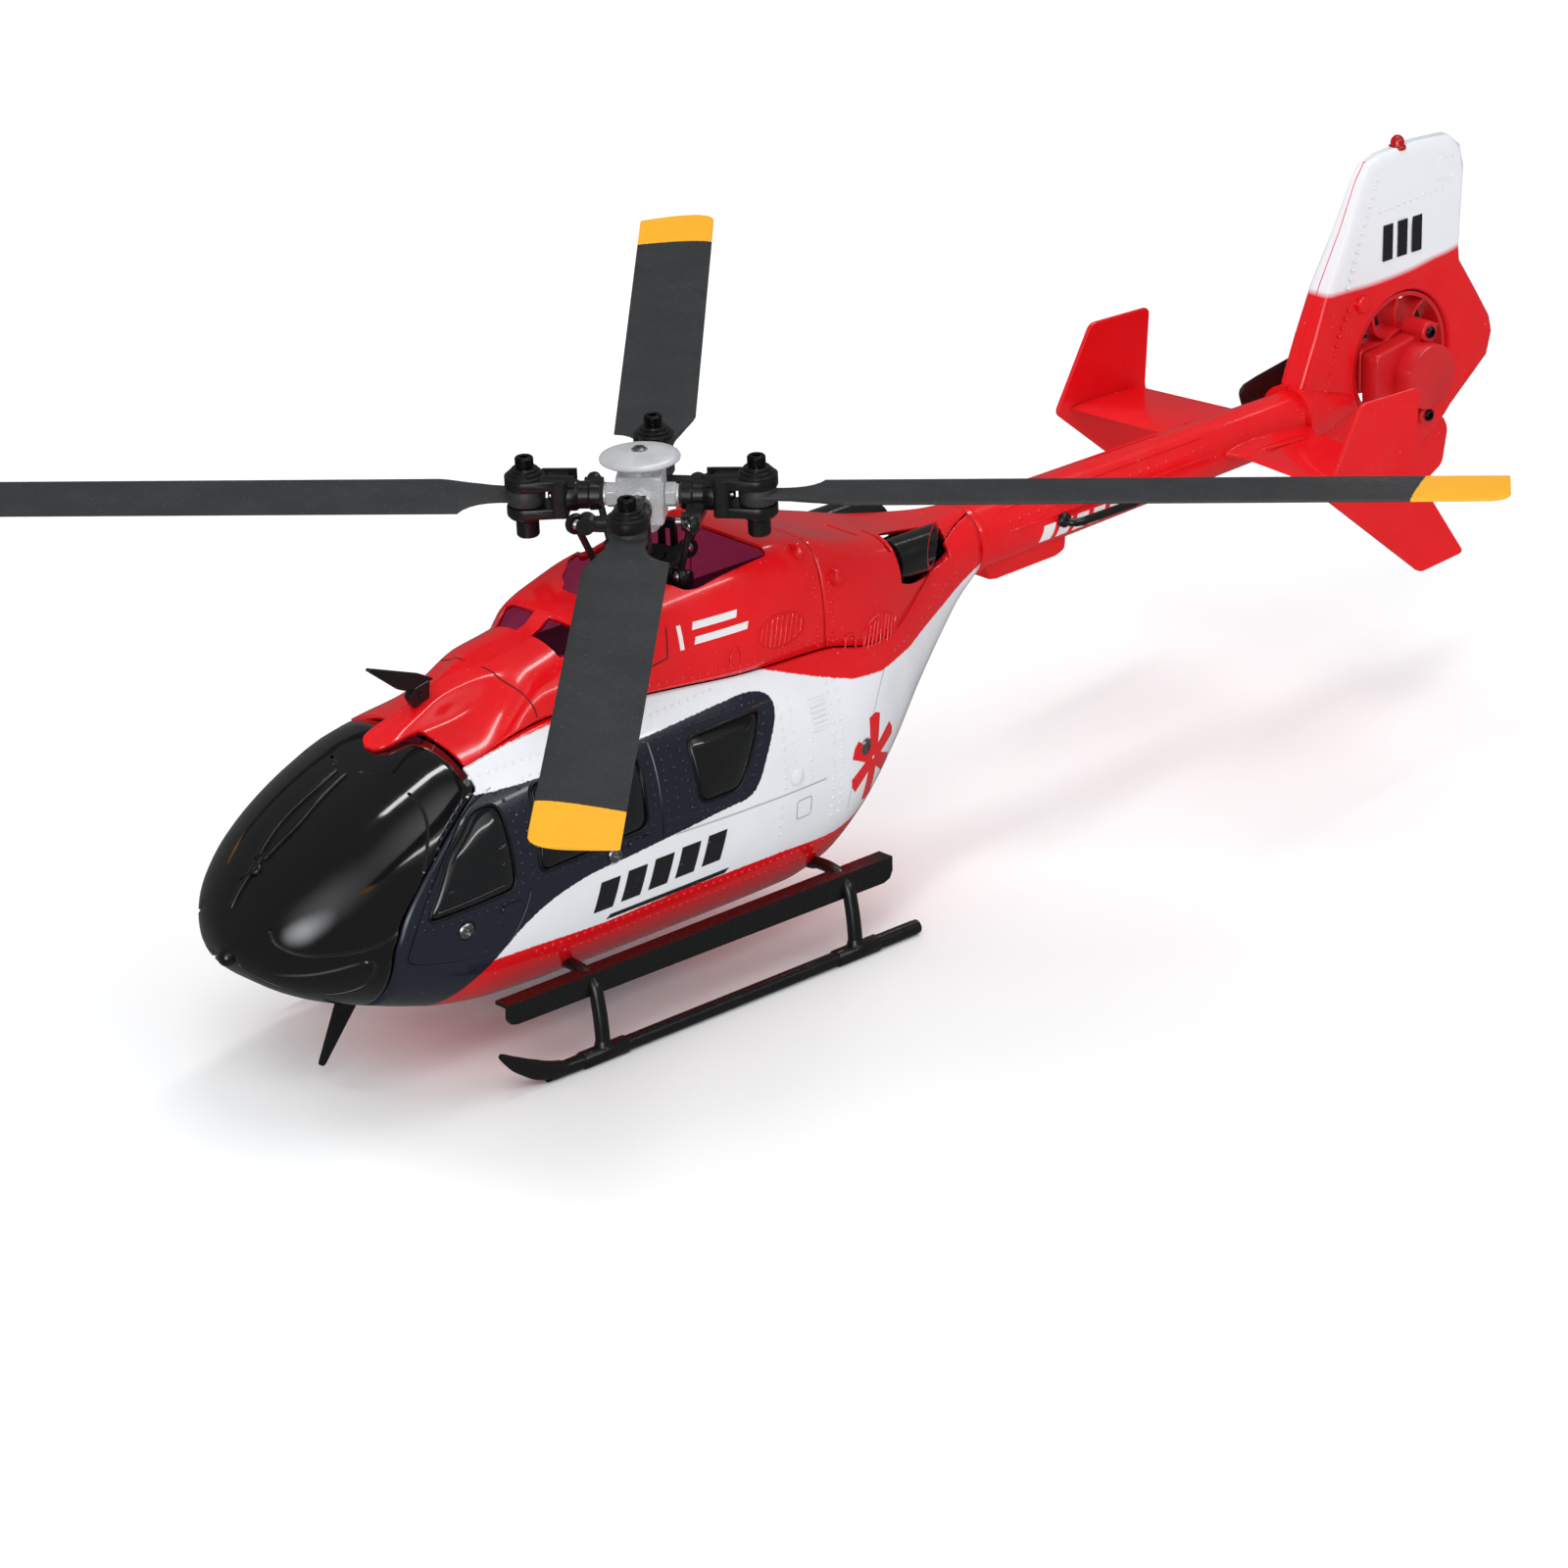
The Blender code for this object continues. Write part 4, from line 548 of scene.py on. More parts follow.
def block(low, high):
    """A box between two opposite corners."""
    (x0, y0, z0), (x1, y1, z1) = low, high
    return prism(rectangle(x0, x1, y0, y1), z0, z1)


def rectangle(x0, x1, y0, y1, lean=0.0):
    """A rectangle whose far edge is moved sideways by lean."""
    return [(x0, y0), (x1, y0), (x1 + lean, y1), (x0 + lean, y1)]


def soft_box(x0, x1, y0, y1, radius, steps=4):
    """A rectangle with rounded corners."""
    return rounded(rectangle(x0, x1, y0, y1), radius, steps)


def ring_about(point, ahead, side, radius, segments):
    """Ring of points round a path, and the cross direction carried on without a twist."""
    side = ahead.orthogonal().normalized() if side is None else side
    side = (side - ahead * side.dot(ahead)).normalized()
    up = ahead.cross(side)
    return [tuple(point + (side * a + up * b) * radius) for a, b in circle(segments)], side


def tube(points, radius, segments=12):
    """A closed tube along a path; radius is a number or one number per point."""
    points = [Vector(p) for p in points]
    radii = radius if isinstance(radius, (list, tuple)) else [radius] * len(points)
    rings = []
    side = None
    for i, point in enumerate(points):
        ahead = (points[min(i + 1, len(points) - 1)] - points[max(i - 1, 0)]).normalized()
        ring, side = ring_about(point, ahead, side, radii[i], segments)
        rings.append(ring)
    return loft(rings)


def bead(points, radius, segments=8):
    """A closed loop of tube."""
    points = [Vector(p) for p in points]
    count = len(points)
    rings = []
    side = None
    for i, point in enumerate(points):
        ahead = (points[(i + 1) % count] - points[i - 1]).normalized()
        ring, side = ring_about(point, ahead, side, radius, segments)
        rings.append(ring)
    verts, faces = loft(rings + [rings[0]], caps=False)
    total = count * segments
    offset = best_turn(rings[-1], rings[0])
    faces = [tuple(i if i < total else (i - total + offset) % segments for i in face) for face in faces]
    return verts[:total], faces


def best_turn(last, first):
    """How far to turn the first ring so that a loop closes without a twist."""
    count = len(last)
    costs = []
    for shift in range(count):
        costs.append(sum((Vector(last[k]) - Vector(first[(k + shift) % count])).length for k in range(count)))
    return costs.index(min(costs))


def rounded(corners, radius, steps=5):
    """Round each corner of a polygon with a short arc."""
    points = []
    count = len(corners)
    for i, corner in enumerate(corners):
        corner = Vector(corner)
        before = Vector(corners[i - 1]) - corner
        after = Vector(corners[(i + 1) % count]) - corner
        reach = min(radius, before.length / 2.2, after.length / 2.2)
        start = corner + before.normalized() * reach
        end = corner + after.normalized() * reach
        for k in range(steps + 1):
            t = k / steps
            points.append(tuple(start * (1 - t) ** 2 + corner * 2 * t * (1 - t) + end * t ** 2))
    return points


def dense(points, step, closed=False):
    """The same line with points no further apart than step."""
    points = [Vector(p) for p in points]
    if closed:
        points.append(points[0])
    out = []
    for a, b in zip(points, points[1:]):
        count = max(1, math.ceil((b - a).length / step))
        out += [a.lerp(b, k / count) for k in range(count)]
    if not closed:
        out.append(points[-1])
    return out


def smooth_line(points, per=6, closed=False):
    """A curve through points."""
    points = [Vector(p) for p in points]
    count = len(points)
    out = []
    for i in range(count if closed else count - 1):
        if closed:
            p = [points[(i + k) % count] for k in (-1, 0, 1, 2)]
        else:
            p = [points[max(0, min(count - 1, i + k))] for k in (-1, 0, 1, 2)]
        for k in range(per):
            t = k / per
            out.append(0.5 * (2 * p[1] + (p[2] - p[0]) * t + (2 * p[0] - 5 * p[1] + 4 * p[2] - p[3]) * t * t
                              + (3 * p[1] - p[0] - 3 * p[2] + p[3]) * t ** 3))
    if not closed:
        out.append(points[-1])
    return out


# ---------------------------------------------------------------- hull surface

def sections(table, stations):
    """Rows of a section table at any stations, along curves that don't overshoot."""
    rows = np.array(table)
    y, values = rows[:, 0], rows[:, 1:]
    slopes = np.diff(values, axis=0) / np.diff(y)[:, None]
    product = slopes[1:] * slopes[:-1]
    total = slopes[1:] + slopes[:-1]
    inner = np.where(product > 0, 2 * product / np.where(total == 0, 1, total), 0)
    tangents = np.vstack([slopes[:1], inner, slopes[-1:]])
    stations = np.clip(np.asarray(stations, float), y[0], y[-1])
    k = np.clip(np.searchsorted(y, stations, side="right") - 1, 0, len(y) - 2)
    width = (y[k + 1] - y[k])[:, None]
    t = (stations - y[k])[:, None] / width
    out = ((2 * t ** 3 - 3 * t ** 2 + 1) * values[k] + (t ** 3 - 2 * t ** 2 + t) * width * tangents[k]
           + (-2 * t ** 3 + 3 * t ** 2) * values[k + 1] + (t ** 3 - t ** 2) * width * tangents[k + 1])
    return np.hstack([stations[:, None], out])


TABLE_STEP = 0.25
TABLE_Y = np.arange(HULL[0][0], HULL[-1][0] + TABLE_STEP, TABLE_STEP)
HULL_TABLE = sections(HULL, TABLE_Y)
COWL_TABLE = sections(COWL, TABLE_Y)


def at(table, y):
    """A row of a fine table at one station."""
    place = min(max((y - TABLE_Y[0]) / TABLE_STEP, 0.0), len(TABLE_Y) - 1.001)
    low = int(place)
    t = place - low
    return table[low] * (1 - t) + table[low + 1] * t


def power_arc(turn, power):
    """The two coordinates of a superellipse quarter, from (1, 0) to (0, 1)."""
    return max(math.cos(turn), 0.0) ** (2 / power), max(math.sin(turn), 0.0) ** (2 / power)


def hull_point(y, angle):
    """Port point of the hull; angle runs from -90 at the belly to 90 degrees at the roof."""
    _, bottom, middle, top, half, belly, roof = at(HULL_TABLE, y)
    turn = math.radians(abs(angle))
    if angle < 0:
        across, up = power_arc(turn, HULL_LOWER_POWER)
        return (belly + (half - belly) * across, y, middle - (middle - bottom) * up)
    across, up = power_arc(turn, HULL_UPPER_POWER)
    return (roof + (half - roof) * across, y, middle + (top - middle) * up)


def bulge(low, high, share, power):
    """From high at share 0 to low at share 1 along a superellipse."""
    return low + (high - low) * (1 - min(max(share, 0.0), 1.0) ** power) ** (1 / power)


def hull_side(y, z):
    """Half width of the hull at a place on its side."""
    _, bottom, middle, top, half, belly, roof = at(HULL_TABLE, y)
    if z < middle:
        return bulge(belly, half, (middle - z) / (middle - bottom), HULL_LOWER_POWER)
    return bulge(roof, half, (z - middle) / (top - middle), HULL_UPPER_POWER)


def cowl_angle(y):
    return at(COWL_TABLE, y)[1]


def joint_y(angle):
    """Station of the joint between nose canopy and body at an angle of the section."""
    t = min(max((angle - JOINT_ANGLES[0]) / (JOINT_ANGLES[1] - JOINT_ANGLES[0]), 0.0), 1.0)
    return JOINT_FRONT + (JOINT_REAR - JOINT_FRONT) * t ** 2


def ring_angles(last_angle, steps=26):
    """Angles of a section with even spacing along its side rather than along its angle."""
    ease = [i / steps for i in range(steps + 1)]
    lower = [-90.0 * (1 - t) ** 1.25 for t in ease[:-1]]
    return lower + [last_angle * t ** 1.25 if last_angle > 80 else last_angle * t for t in ease]


def port_ring(last_angle, station):
    """Port points of a section; station gives y for each angle."""
    return [hull_point(station(angle), angle) for angle in ring_angles(last_angle)]


def side_of(points, side):
    return [(side * x, y, z) for x, y, z in points]


def on_side(path, side, lift=0.0, width_at=hull_side):
    """Put a line of y, z points on a side surface, the hull's unless another is given."""
    return [(side * (width_at(y, z) + lift), y, z) for y, z in path]


# ---------------------------------------------------------------- materials

def new_material(name):
    made = bpy.data.materials.new(name)
    made.use_nodes = True
    return made, made.node_tree, made.node_tree.nodes["Principled BSDF"]


def node(tree, kind, inputs=None, **settings):
    """Add a shader node; an input given as a socket is linked, any other value is set."""
    made = tree.nodes.new(kind)
    for key, value in settings.items():
        setattr(made, key, value)
    for key, value in (inputs or {}).items():
        if isinstance(value, bpy.types.NodeSocket):
            tree.links.new(value, made.inputs[key])
        else:
            made.inputs[key].default_value = value
    return made


def maths(tree, operation, *values):
    return node(tree, "ShaderNodeMath", dict(enumerate(values)), operation=operation).outputs[0]


def dot(tree, a, b):
    return node(tree, "ShaderNodeVectorMath", {0: a, 1: b}, operation="DOT_PRODUCT").outputs["Value"]


def place_of(tree):
    return node(tree, "ShaderNodeTexCoord").outputs["Object"]


def noise(tree, size, detail=3.0, where=None):
    """Noise whose features are about size mm across."""
    made = node(tree, "ShaderNodeTexNoise", {"Vector": where or place_of(tree), "Scale": 1 / (size * MM),
                                             "Detail": detail, "Roughness": 0.55})
    return made.outputs["Fac"]


def remap(tree, value, low, high, start=0.3, end=0.7):
    made = node(tree, "ShaderNodeMapRange", {"Value": value, "From Min": start, "From Max": end,
                                             "To Min": low, "To Max": high})
    return made.outputs["Result"]


def mix(tree, factor, a, b, blend="MIX"):
    made = node(tree, "ShaderNodeMix", data_type="RGBA", blend_type=blend)
    for index, value in ((0, factor), (6, a), (7, b)):
        if isinstance(value, bpy.types.NodeSocket):
            tree.links.new(value, made.inputs[index])
        else:
            made.inputs[index].default_value = value
    return made.outputs[2]


def bump(tree, shader, height, distance, strength=1.0, under=None):
    """Bump of a given depth in mm, chained on another bump if one is given."""
    made = node(tree, "ShaderNodeBump", {"Height": height, "Distance": distance * MM, "Strength": strength})
    if under:
        tree.links.new(under.outputs["Normal"], made.inputs["Normal"])
    tree.links.new(made.outputs["Normal"], shader.inputs["Normal"])
    return made


def shade(colour, factor):
    return tuple(c * factor for c in colour[:3]) + (1.0,)


def varied(tree, colour, amount=0.12, size=14.0):
    """A colour that drifts lighter and darker over the surface."""
    drift = remap(tree, noise(tree, size), 0.0, 1.0)
    return mix(tree, drift, shade(colour, 1 - amount), shade(colour, 1 + amount))


def moulded(name, colour, roughness, grain, grain_size, coat, wear, drift):
    """Moulded material: slight colour drift, fine grain, uneven roughness and rubbed edges."""
    made, tree, shader = new_material(name)
    base = varied(tree, colour, drift)
    if wear:
        edge = node(tree, "ShaderNodeBevel", {"Radius": 0.35 * MM}, samples=4)
        flat = node(tree, "ShaderNodeNewGeometry").outputs["Normal"]
        rubbed = remap(tree, dot(tree, edge.outputs["Normal"], flat), wear, 0.0, 0.8, 0.99)
        light = tuple(min(1.0, c * 1.6 + 0.03) for c in colour[:3]) + (1.0,)
        base = mix(tree, rubbed, base, light)
    tree.links.new(base, shader.inputs["Base Color"])
    rough = remap(tree, noise(tree, 3.0, 6.0), roughness * 0.8, min(1.0, roughness * 1.25))
    tree.links.new(rough, shader.inputs["Roughness"])
    set_inputs(shader, {"Metallic": 0.0, "Coat Weight": coat, "Coat Roughness": 0.06})
    fine = bump(tree, shader, noise(tree, grain_size, 2.0), grain)
    bump(tree, shader, noise(tree, 9.0, 1.0), 0.05, 0.5, fine)
    return made


def set_inputs(shader, values):
    for key, value in values.items():
        shader.inputs[key].default_value = value


def paint_mask(tree, attribute, softness, where):
    """1 inside a painted area: the attribute holds the distance in from its edge, in mm."""
    distance = node(tree, "ShaderNodeAttribute", attribute_name=attribute).outputs["Fac"]
    ragged = remap(tree, noise(tree, 0.8, 4.0, where), -0.12, 0.12)
    return remap(tree, maths(tree, "ADD", distance, ragged), 0.0, 1.0, -softness, softness)


def gloss_paint(name, base, layers=(), roughness=0.2, coat=0.7):
    """Sprayed gloss paint: base colour, masked layers on top, faint orange peel and dust in the lacquer."""
    made, tree, shader = new_material(name)
    where = place_of(tree)
    colour = varied(tree, base, 0.05, 25.0)
    for attribute, layer, softness in layers:
        colour = mix(tree, paint_mask(tree, attribute, softness, where), colour, layer)
    specks = remap(tree, noise(tree, 0.5, 2.0, where), 0.0, 1.0, 0.74, 0.8)
    colour = mix(tree, specks, colour, (0.9, 0.75, 0.72, 1.0))
    tree.links.new(colour, shader.inputs["Base Color"])
    rough = remap(tree, noise(tree, 5.0, 6.0, where), roughness * 0.8, roughness * 1.3)
    tree.links.new(rough, shader.inputs["Roughness"])
    shader.inputs["Coat Weight"].default_value = coat
    shader.inputs["Coat Roughness"].default_value = 0.05
    peel = bump(tree, shader, noise(tree, 2.2, 2.0, where), 0.012)
    bump(tree, shader, noise(tree, 14.0, 1.0, where), 0.1, 0.6, peel)
    return made


MAT = {}


def make_materials():
    livery = (("red", RED, 0.14), ("navy", NAVY_BLUE, 0.08))
    # The grooves' paint is the livery made darker: painted shade in the panel lines
    groove_livery_painted_shade = (("red", shade(RED, 0.6), 0.14), ("navy", shade(NAVY_BLUE, 0.5), 0.08))
    MAT["livery"] = gloss_paint("body_livery_paint", WHITE, livery)
    MAT["groove"] = gloss_paint("body_groove_painted_shade", shade(WHITE, 0.7), groove_livery_painted_shade)
    MAT["red"] = gloss_paint("gloss_red_paint", RED)
    MAT["fin"] = fin_paint()
    MAT["dark_mark"] = gloss_paint("dark_print", (0.012, 0.012, 0.014, 1.0), roughness=0.3, coat=0.3)
    MAT["white_mark"] = gloss_paint("white_print", (0.8, 0.78, 0.78, 1.0), roughness=0.3, coat=0.3)
    MAT["raw_painted_glow"] = raw_plastic_painted_glow()
    MAT["lens"] = lens()
    MAT["blade"] = blade_material()
    for key, row in MOULDED.items():
        MAT[key] = moulded(*row)
    for key, row in METALS.items():
        MAT[key] = turned_metal(*row)


def fin_paint():
    """Red paint under a white top, sprayed with a soft edge that bows gently."""
    made = gloss_paint("fin_livery_paint", RED)
    tree = made.node_tree
    shader = tree.nodes["Principled BSDF"]
    split = node(tree, "ShaderNodeSeparateXYZ", {"Vector": place_of(tree)})
    offset = maths(tree, "SUBTRACT", split.outputs["Y"], FIN_WHITE[0] * MM)
    bow = maths(tree, "MULTIPLY", offset, offset)
    edge = maths(tree, "MULTIPLY_ADD", bow, FIN_WHITE_BOW, FIN_WHITE[1] * MM)
    above = maths(tree, "SUBTRACT", split.outputs["Z"], edge)
    mask = remap(tree, above, 0.0, 1.0, -0.7 * MM, 0.7 * MM)
    old = shader.inputs["Base Color"].links[0].from_socket
    tree.links.new(mix(tree, mask, old, WHITE), shader.inputs["Base Color"])
    return made


def raw_plastic_painted_glow():
    """Unpainted pink-purple plastic with faint moulding flow lines, and a faint painted glow that lights its
    shaded insides.
    """
    made, tree, shader = new_material("unpainted_shell_plastic_painted_glow")
    flow = node(tree, "ShaderNodeTexWave", {"Vector": place_of(tree), "Scale": 60.0, "Distortion": 6.0,
                                            "Detail": 3.0}).outputs["Fac"]
    base = mix(tree, flow, (0.55, 0.1, 0.22, 1.0), (0.66, 0.15, 0.3, 1.0))
    tree.links.new(base, shader.inputs["Base Color"])
    shader.inputs["Roughness"].default_value = 0.55
    bump(tree, shader, noise(tree, 0.4, 3.0), 0.02)
    # Painted glow: the plastic gives off a faint light of its own so that the shaded insides of the cowl look
    # lit
    shader.inputs["Emission Color"].default_value = (0.35, 0.03, 0.1, 1.0)
    shader.inputs["Emission Strength"].default_value = 0.3
    return made


def turned_metal(name, colour, roughness, metallic):
    """Metal with fine tool marks that run round the rotor's axis."""
    made, tree, shader = new_material(name)
    where = place_of(tree)
    stretched = node(tree, "ShaderNodeMapping", {"Vector": where, "Scale": (1.0, 1.0, 9.0)}).outputs["Vector"]
    marks = noise(tree, 0.6, 4.0, stretched)
    tree.links.new(varied(tree, colour, 0.08, 4.0), shader.inputs["Base Color"])
    tree.links.new(remap(tree, marks, roughness * 0.7, roughness * 1.4), shader.inputs["Roughness"])
    shader.inputs["Metallic"].default_value = metallic
    shader.inputs["Anisotropic"].default_value = 0.4
    bump(tree, shader, marks, 0.008)
    return made


def lens():
    made, tree, shader = new_material("red_lamp_lens")
    tree.links.new(varied(tree, (0.62, 0.008, 0.01, 1.0), 0.25, 0.8), shader.inputs["Base Color"])
    shader.inputs["Roughness"].default_value = 0.06
    shader.inputs["Transmission Weight"].default_value = 0.35
    shader.inputs["Coat Weight"].default_value = 1.0
    bump(tree, shader, noise(tree, 0.5, 1.0), 0.01)
    return made


def blade_material():
    """Matt grey-black nylon with a satin grain and a sprayed yellow tip."""
    made, tree, shader = new_material("blade_grey_yellow_tip")
    where = place_of(tree)
    fine = noise(tree, 0.3, 3.0, where)
    base = varied(tree, (0.03, 0.031, 0.032, 1.0), 0.12, 10.0)
    speck = remap(tree, noise(tree, 0.35, 1.0, where), 0.0, 1.0, 0.7, 0.75)
    base = mix(tree, speck, base, (0.12, 0.12, 0.12, 1.0))
    yellow = mix(tree, noise(tree, 6.0, 3.0, where), YELLOW, (0.86, 0.38, 0.003, 1.0))
    mask = paint_mask(tree, "tip", 0.1, where)
    tree.links.new(mix(tree, mask, base, yellow), shader.inputs["Base Color"])
    tree.links.new(remap(tree, noise(tree, 2.0, 5.0, where), 0.42, 0.56), shader.inputs["Roughness"])
    bump(tree, shader, fine, 0.025)
    return made


# ---------------------------------------------------------------- livery distances

def line_gap(points, line):
    """Height of points (y, z) above a line given as y, z pairs."""
    line = np.array(line)
    return points[:, 1] - np.interp(points[:, 0], line[:, 0], line[:, 1])


def inside_distance(points, polygon):
    """Distance in mm from a closed polygon's edge, positive inside."""
    corners = np.array(polygon, float)
    nearest = np.full(len(points), np.inf)
    crossings = np.zeros(len(points), int)
    for a, b in zip(corners, np.roll(corners, -1, axis=0)):
        along = b - a
        t = np.clip(((points - a) @ along) / (along @ along), 0, 1)
        nearest = np.minimum(nearest, np.linalg.norm(points - (a + t[:, None] * along), axis=1))
        spans = (a[1] > points[:, 1]) != (b[1] > points[:, 1])
        rise = b[1] - a[1] if b[1] != a[1] else 1.0
        cut_y = a[0] + (points[:, 1] - a[1]) * (b[0] - a[0]) / rise
        crossings += spans & (points[:, 0] < cut_y)
    return np.where(crossings % 2 == 1, nearest, -nearest)


def side_points(item):
    co = np.zeros(len(item.data.vertices) * 3)
    item.data.vertices.foreach_get("co", co)
    return co.reshape(-1, 3) / MM


def set_distance(item, name, values):
    found = item.data.attributes.get(name) or item.data.attributes.new(name, "FLOAT", "POINT")
    found.data.foreach_set("value", np.asarray(values, np.float32))


def paint_body(item):
    """Red roof and belly, navy door band, white between."""
    points = side_points(item)[:, 1:]
    red = np.maximum(line_gap(points, ROOF_LINE), -line_gap(points, BELLY_LINE))
    navy = inside_distance(points, [tuple(p) for p in smooth_line(NAVY, 4, closed=True)])
    set_distance(item, "red", red)
    set_distance(item, "navy", navy)


def worked(first, steps):
    """A closed part after a list of (operation, part) steps."""
    mesh, _ = mesh_of("solid", first)
    tidy_mesh(mesh, SMOOTH_ANGLE)
    item = put("solid", mesh)
    for operation, part in steps:
        combine(item, operation, part)
    done = item.data
    result = [tuple(v.co / MM) for v in done.vertices], [tuple(p.vertices) for p in done.polygons]
    bpy.data.objects.remove(item, do_unlink=True)
    bpy.data.meshes.remove(done)
    return result


# ---------------------------------------------------------------- solids and surface marks

def solid(first, add=(), cut=()):
    """Fuse closed parts and cut others out of them."""
    return worked(first, [("UNION", part) for part in add] + [("DIFFERENCE", part) for part in cut])


def turned(part, matrix):
    """A part moved by a matrix in mm."""
    return [tuple(matrix @ Vector(v)) for v in part[0]], part[1]


def standing(spot, normal, spin=0.0):
    """Matrix that stands a part made about +Z on a surface."""
    return (Matrix.Translation(spot) @ Vector(normal).to_track_quat("Z", "Y").to_matrix().to_4x4()
            @ Matrix.Rotation(spin, 4, "Z"))


def keep_shading(item, before):
    """Give what is left of a smooth skin the normals it had before it was cut."""
    corners = [v.co.copy() for v in before.vertices]
    tree = BVHTree.FromPolygons(corners, [tuple(p.vertices) for p in before.polygons])
    smooth = [n.vector.copy() for n in before.corner_normals]
    mesh = item.data
    normals = [n.vector.copy() for n in mesh.corner_normals]
    for polygon in mesh.polygons:
        if polygon.material_index == GROOVE:
            continue
        for loop in polygon.loop_indices:
            corner = mesh.vertices[mesh.loops[loop].vertex_index].co
            spot, normal, face, gap = tree.find_nearest(corner.lerp(polygon.center, 0.01))
            if gap > 0.03 * MM or normal.dot(polygon.normal) < 0.8:
                continue
            source = before.polygons[face]
            weights = poly_3d_calc([corners[v] for v in source.vertices], spot)
            total = Vector()
            for weight, old in zip(weights, source.loop_indices):
                total += smooth[old] * weight
            normals[loop] = total.normalized()
    mesh.normals_split_custom_set(normals)
    bpy.data.meshes.remove(before)


def grooves(paths, radius=0.28):
    """Tubes along surface lines, ready to be cut out; each path comes with whether it is closed."""
    tool = Shape()
    for path, closed in paths:
        tool.add(bead(path, radius, 6) if closed else tube(path, radius, 6))
    return tool


def side_spot(y, z, side=1, width_at=hull_side):
    """Point and outward normal on a side surface, the hull's unless another is given."""
    step = 0.2
    x = width_at(y, z)
    slope_y = (width_at(y + step, z) - x) / step
    slope_z = (width_at(y, z + step) - x) / step
    return Vector((side * x, y, z)), Vector((side, -slope_y, -slope_z)).normalized()


def cowl_point(y, turn):
    """Port point of the cowl; turn runs from 0 degrees at its lower edge to 90 at the ridge."""
    _, angle, top, flat, power = at(COWL_TABLE, y)
    base_x, _, base_z = hull_point(y, angle)
    base_z += SHELL_GAP
    across, up = power_arc(math.radians(turn), power)
    domed = Vector((flat + (base_x - flat) * across, y, base_z + (top - base_z) * up))
    share = min(max((y - RIDGE_Y[0]) / (RIDGE_Y[1] - RIDGE_Y[0]), 0.0), 1.0)
    if share == 1.0:
        return tuple(domed)
    x = base_x + (flat * 0.2 - base_x) * turn / 90.0
    skin = roof_height(y, x) + SHELL_GAP
    ridge = (top - roof_height(y, 0.0) - SHELL_GAP) / (1 + (x / RIDGE_HALF) ** 6)
    return tuple(Vector((x, y, skin + ridge)).lerp(domed, share * share * (3 - 2 * share)))


def roof_height(y, x):
    """Height of the hull's roof at a distance from its middle."""
    _, _, middle, top, half, _, roof = at(HULL_TABLE, y)
    return bulge(middle, top, (x - roof) / (half - roof), HULL_UPPER_POWER)


def cowl_side(y, z):
    """Half width of the cowl at a place on its side."""
    _, angle, top, flat, power = at(COWL_TABLE, y)
    base_x, _, base_z = hull_point(y, angle)
    return bulge(flat, base_x, (z - base_z - SHELL_GAP) / (top - base_z - SHELL_GAP), power)


def cowl_spot(y, z, side=1):
    return side_spot(y, z, side, cowl_side)


def boom_at(y):
    """Axis height and radius of the boom."""
    t = (y - BOOM_Y[0]) / (BOOM_Y[1] - BOOM_Y[0])
    return BOOM_Z[0] + (BOOM_Z[1] - BOOM_Z[0]) * t, BOOM_R[0] + (BOOM_R[1] - BOOM_R[0]) * t


def boom_side(y, z):
    height, radius = boom_at(y)
    return math.sqrt(max(radius ** 2 - (z - height) ** 2, 0.01))


def fin_side(y, z):
    above = max(z - TAIL_AXIS[1] - DUCT_RADIUS, 0.0)
    return FIN_HALF - above * (FIN_HALF - FIN_TOP_HALF) / (48.0 - DUCT_RADIUS)


def decal(name, outlines, width_at, look, slot, lift=0.07):
    """Thin print on both sides that follows a side surface; outlines are y, z polygons."""
    points = [p for outline in outlines for p in outline]
    low = [min(p[i] for p in points) - 0.5 for i in (0, 1)]
    high = [max(p[i] for p in points) + 0.5 for i in (0, 1)]
    rows = max(2, round(high[0] - low[0]))
    columns = max(2, round(high[1] - low[1]))
    tool = Shape()
    for outline in outlines:
        tool.add(prism(outline, -2.0, 45.0, "X"))
    sheet = []
    for rise in (-0.1, lift):
        for i in range(rows + 1):
            for k in range(columns + 1):
                y = low[0] + (high[0] - low[0]) * i / rows
                z = low[1] + (high[1] - low[1]) * k / columns
                sheet.append((width_at(y, z) + rise, y, z))
    part = clipped(slab(sheet, rows + 1, columns + 1), tool)
    shape = Shape(part).add(part, 0, Matrix.Diagonal((-1.0, 1.0, 1.0, 1.0)))
    return make(name, shape, look, slot)


def slab(points, rows, columns):
    """Closed slab between two grids of points, the lower grid first."""
    count = rows * columns
    faces = []
    for layer in (0, 1):
        for i in range(rows - 1):
            for k in range(columns - 1):
                a = layer * count + i * columns + k
                quad = (a, a + 1, a + columns + 1, a + columns)
                faces.append(quad if layer == 0 else quad[::-1])
    rim = list(range(columns))
    rim += [i * columns + columns - 1 for i in range(1, rows)]
    rim += [(rows - 1) * columns + k for k in range(columns - 2, -1, -1)]
    rim += [i * columns for i in range(rows - 2, 0, -1)]
    for a, b in zip(rim, rim[1:] + rim[:1]):
        faces.append((a, a + count, b + count, b))
    return points, faces


def clipped(part, tool):
    """What a closed part has in common with a tool."""
    return worked(part, [("INTERSECT", tool)])


def rivet_line(path, pitch=2.1):
    """Evenly spaced places along a y, z line."""
    spots = []
    spare = 0.0
    for a, b in zip(path, path[1:]):
        a, b = Vector(a), Vector(b)
        length = (b - a).length
        place = spare
        while place < length:
            spots.append(tuple(a.lerp(b, place / length)))
            place += pitch
        spare = place - length
    return spots


def rivets(name, lines, spot_at, look, slot):
    """Rows of low domes on both sides."""
    spots = [spot for line in lines for spot in rivet_line(line)]
    domes = on_both_sides(lathe(RIVET, 8), spots, lambda y, z, side: standing(*spot_at(y, z, side)))
    return make(name, domes, look, slot, smooth=ROUND_ANGLE)


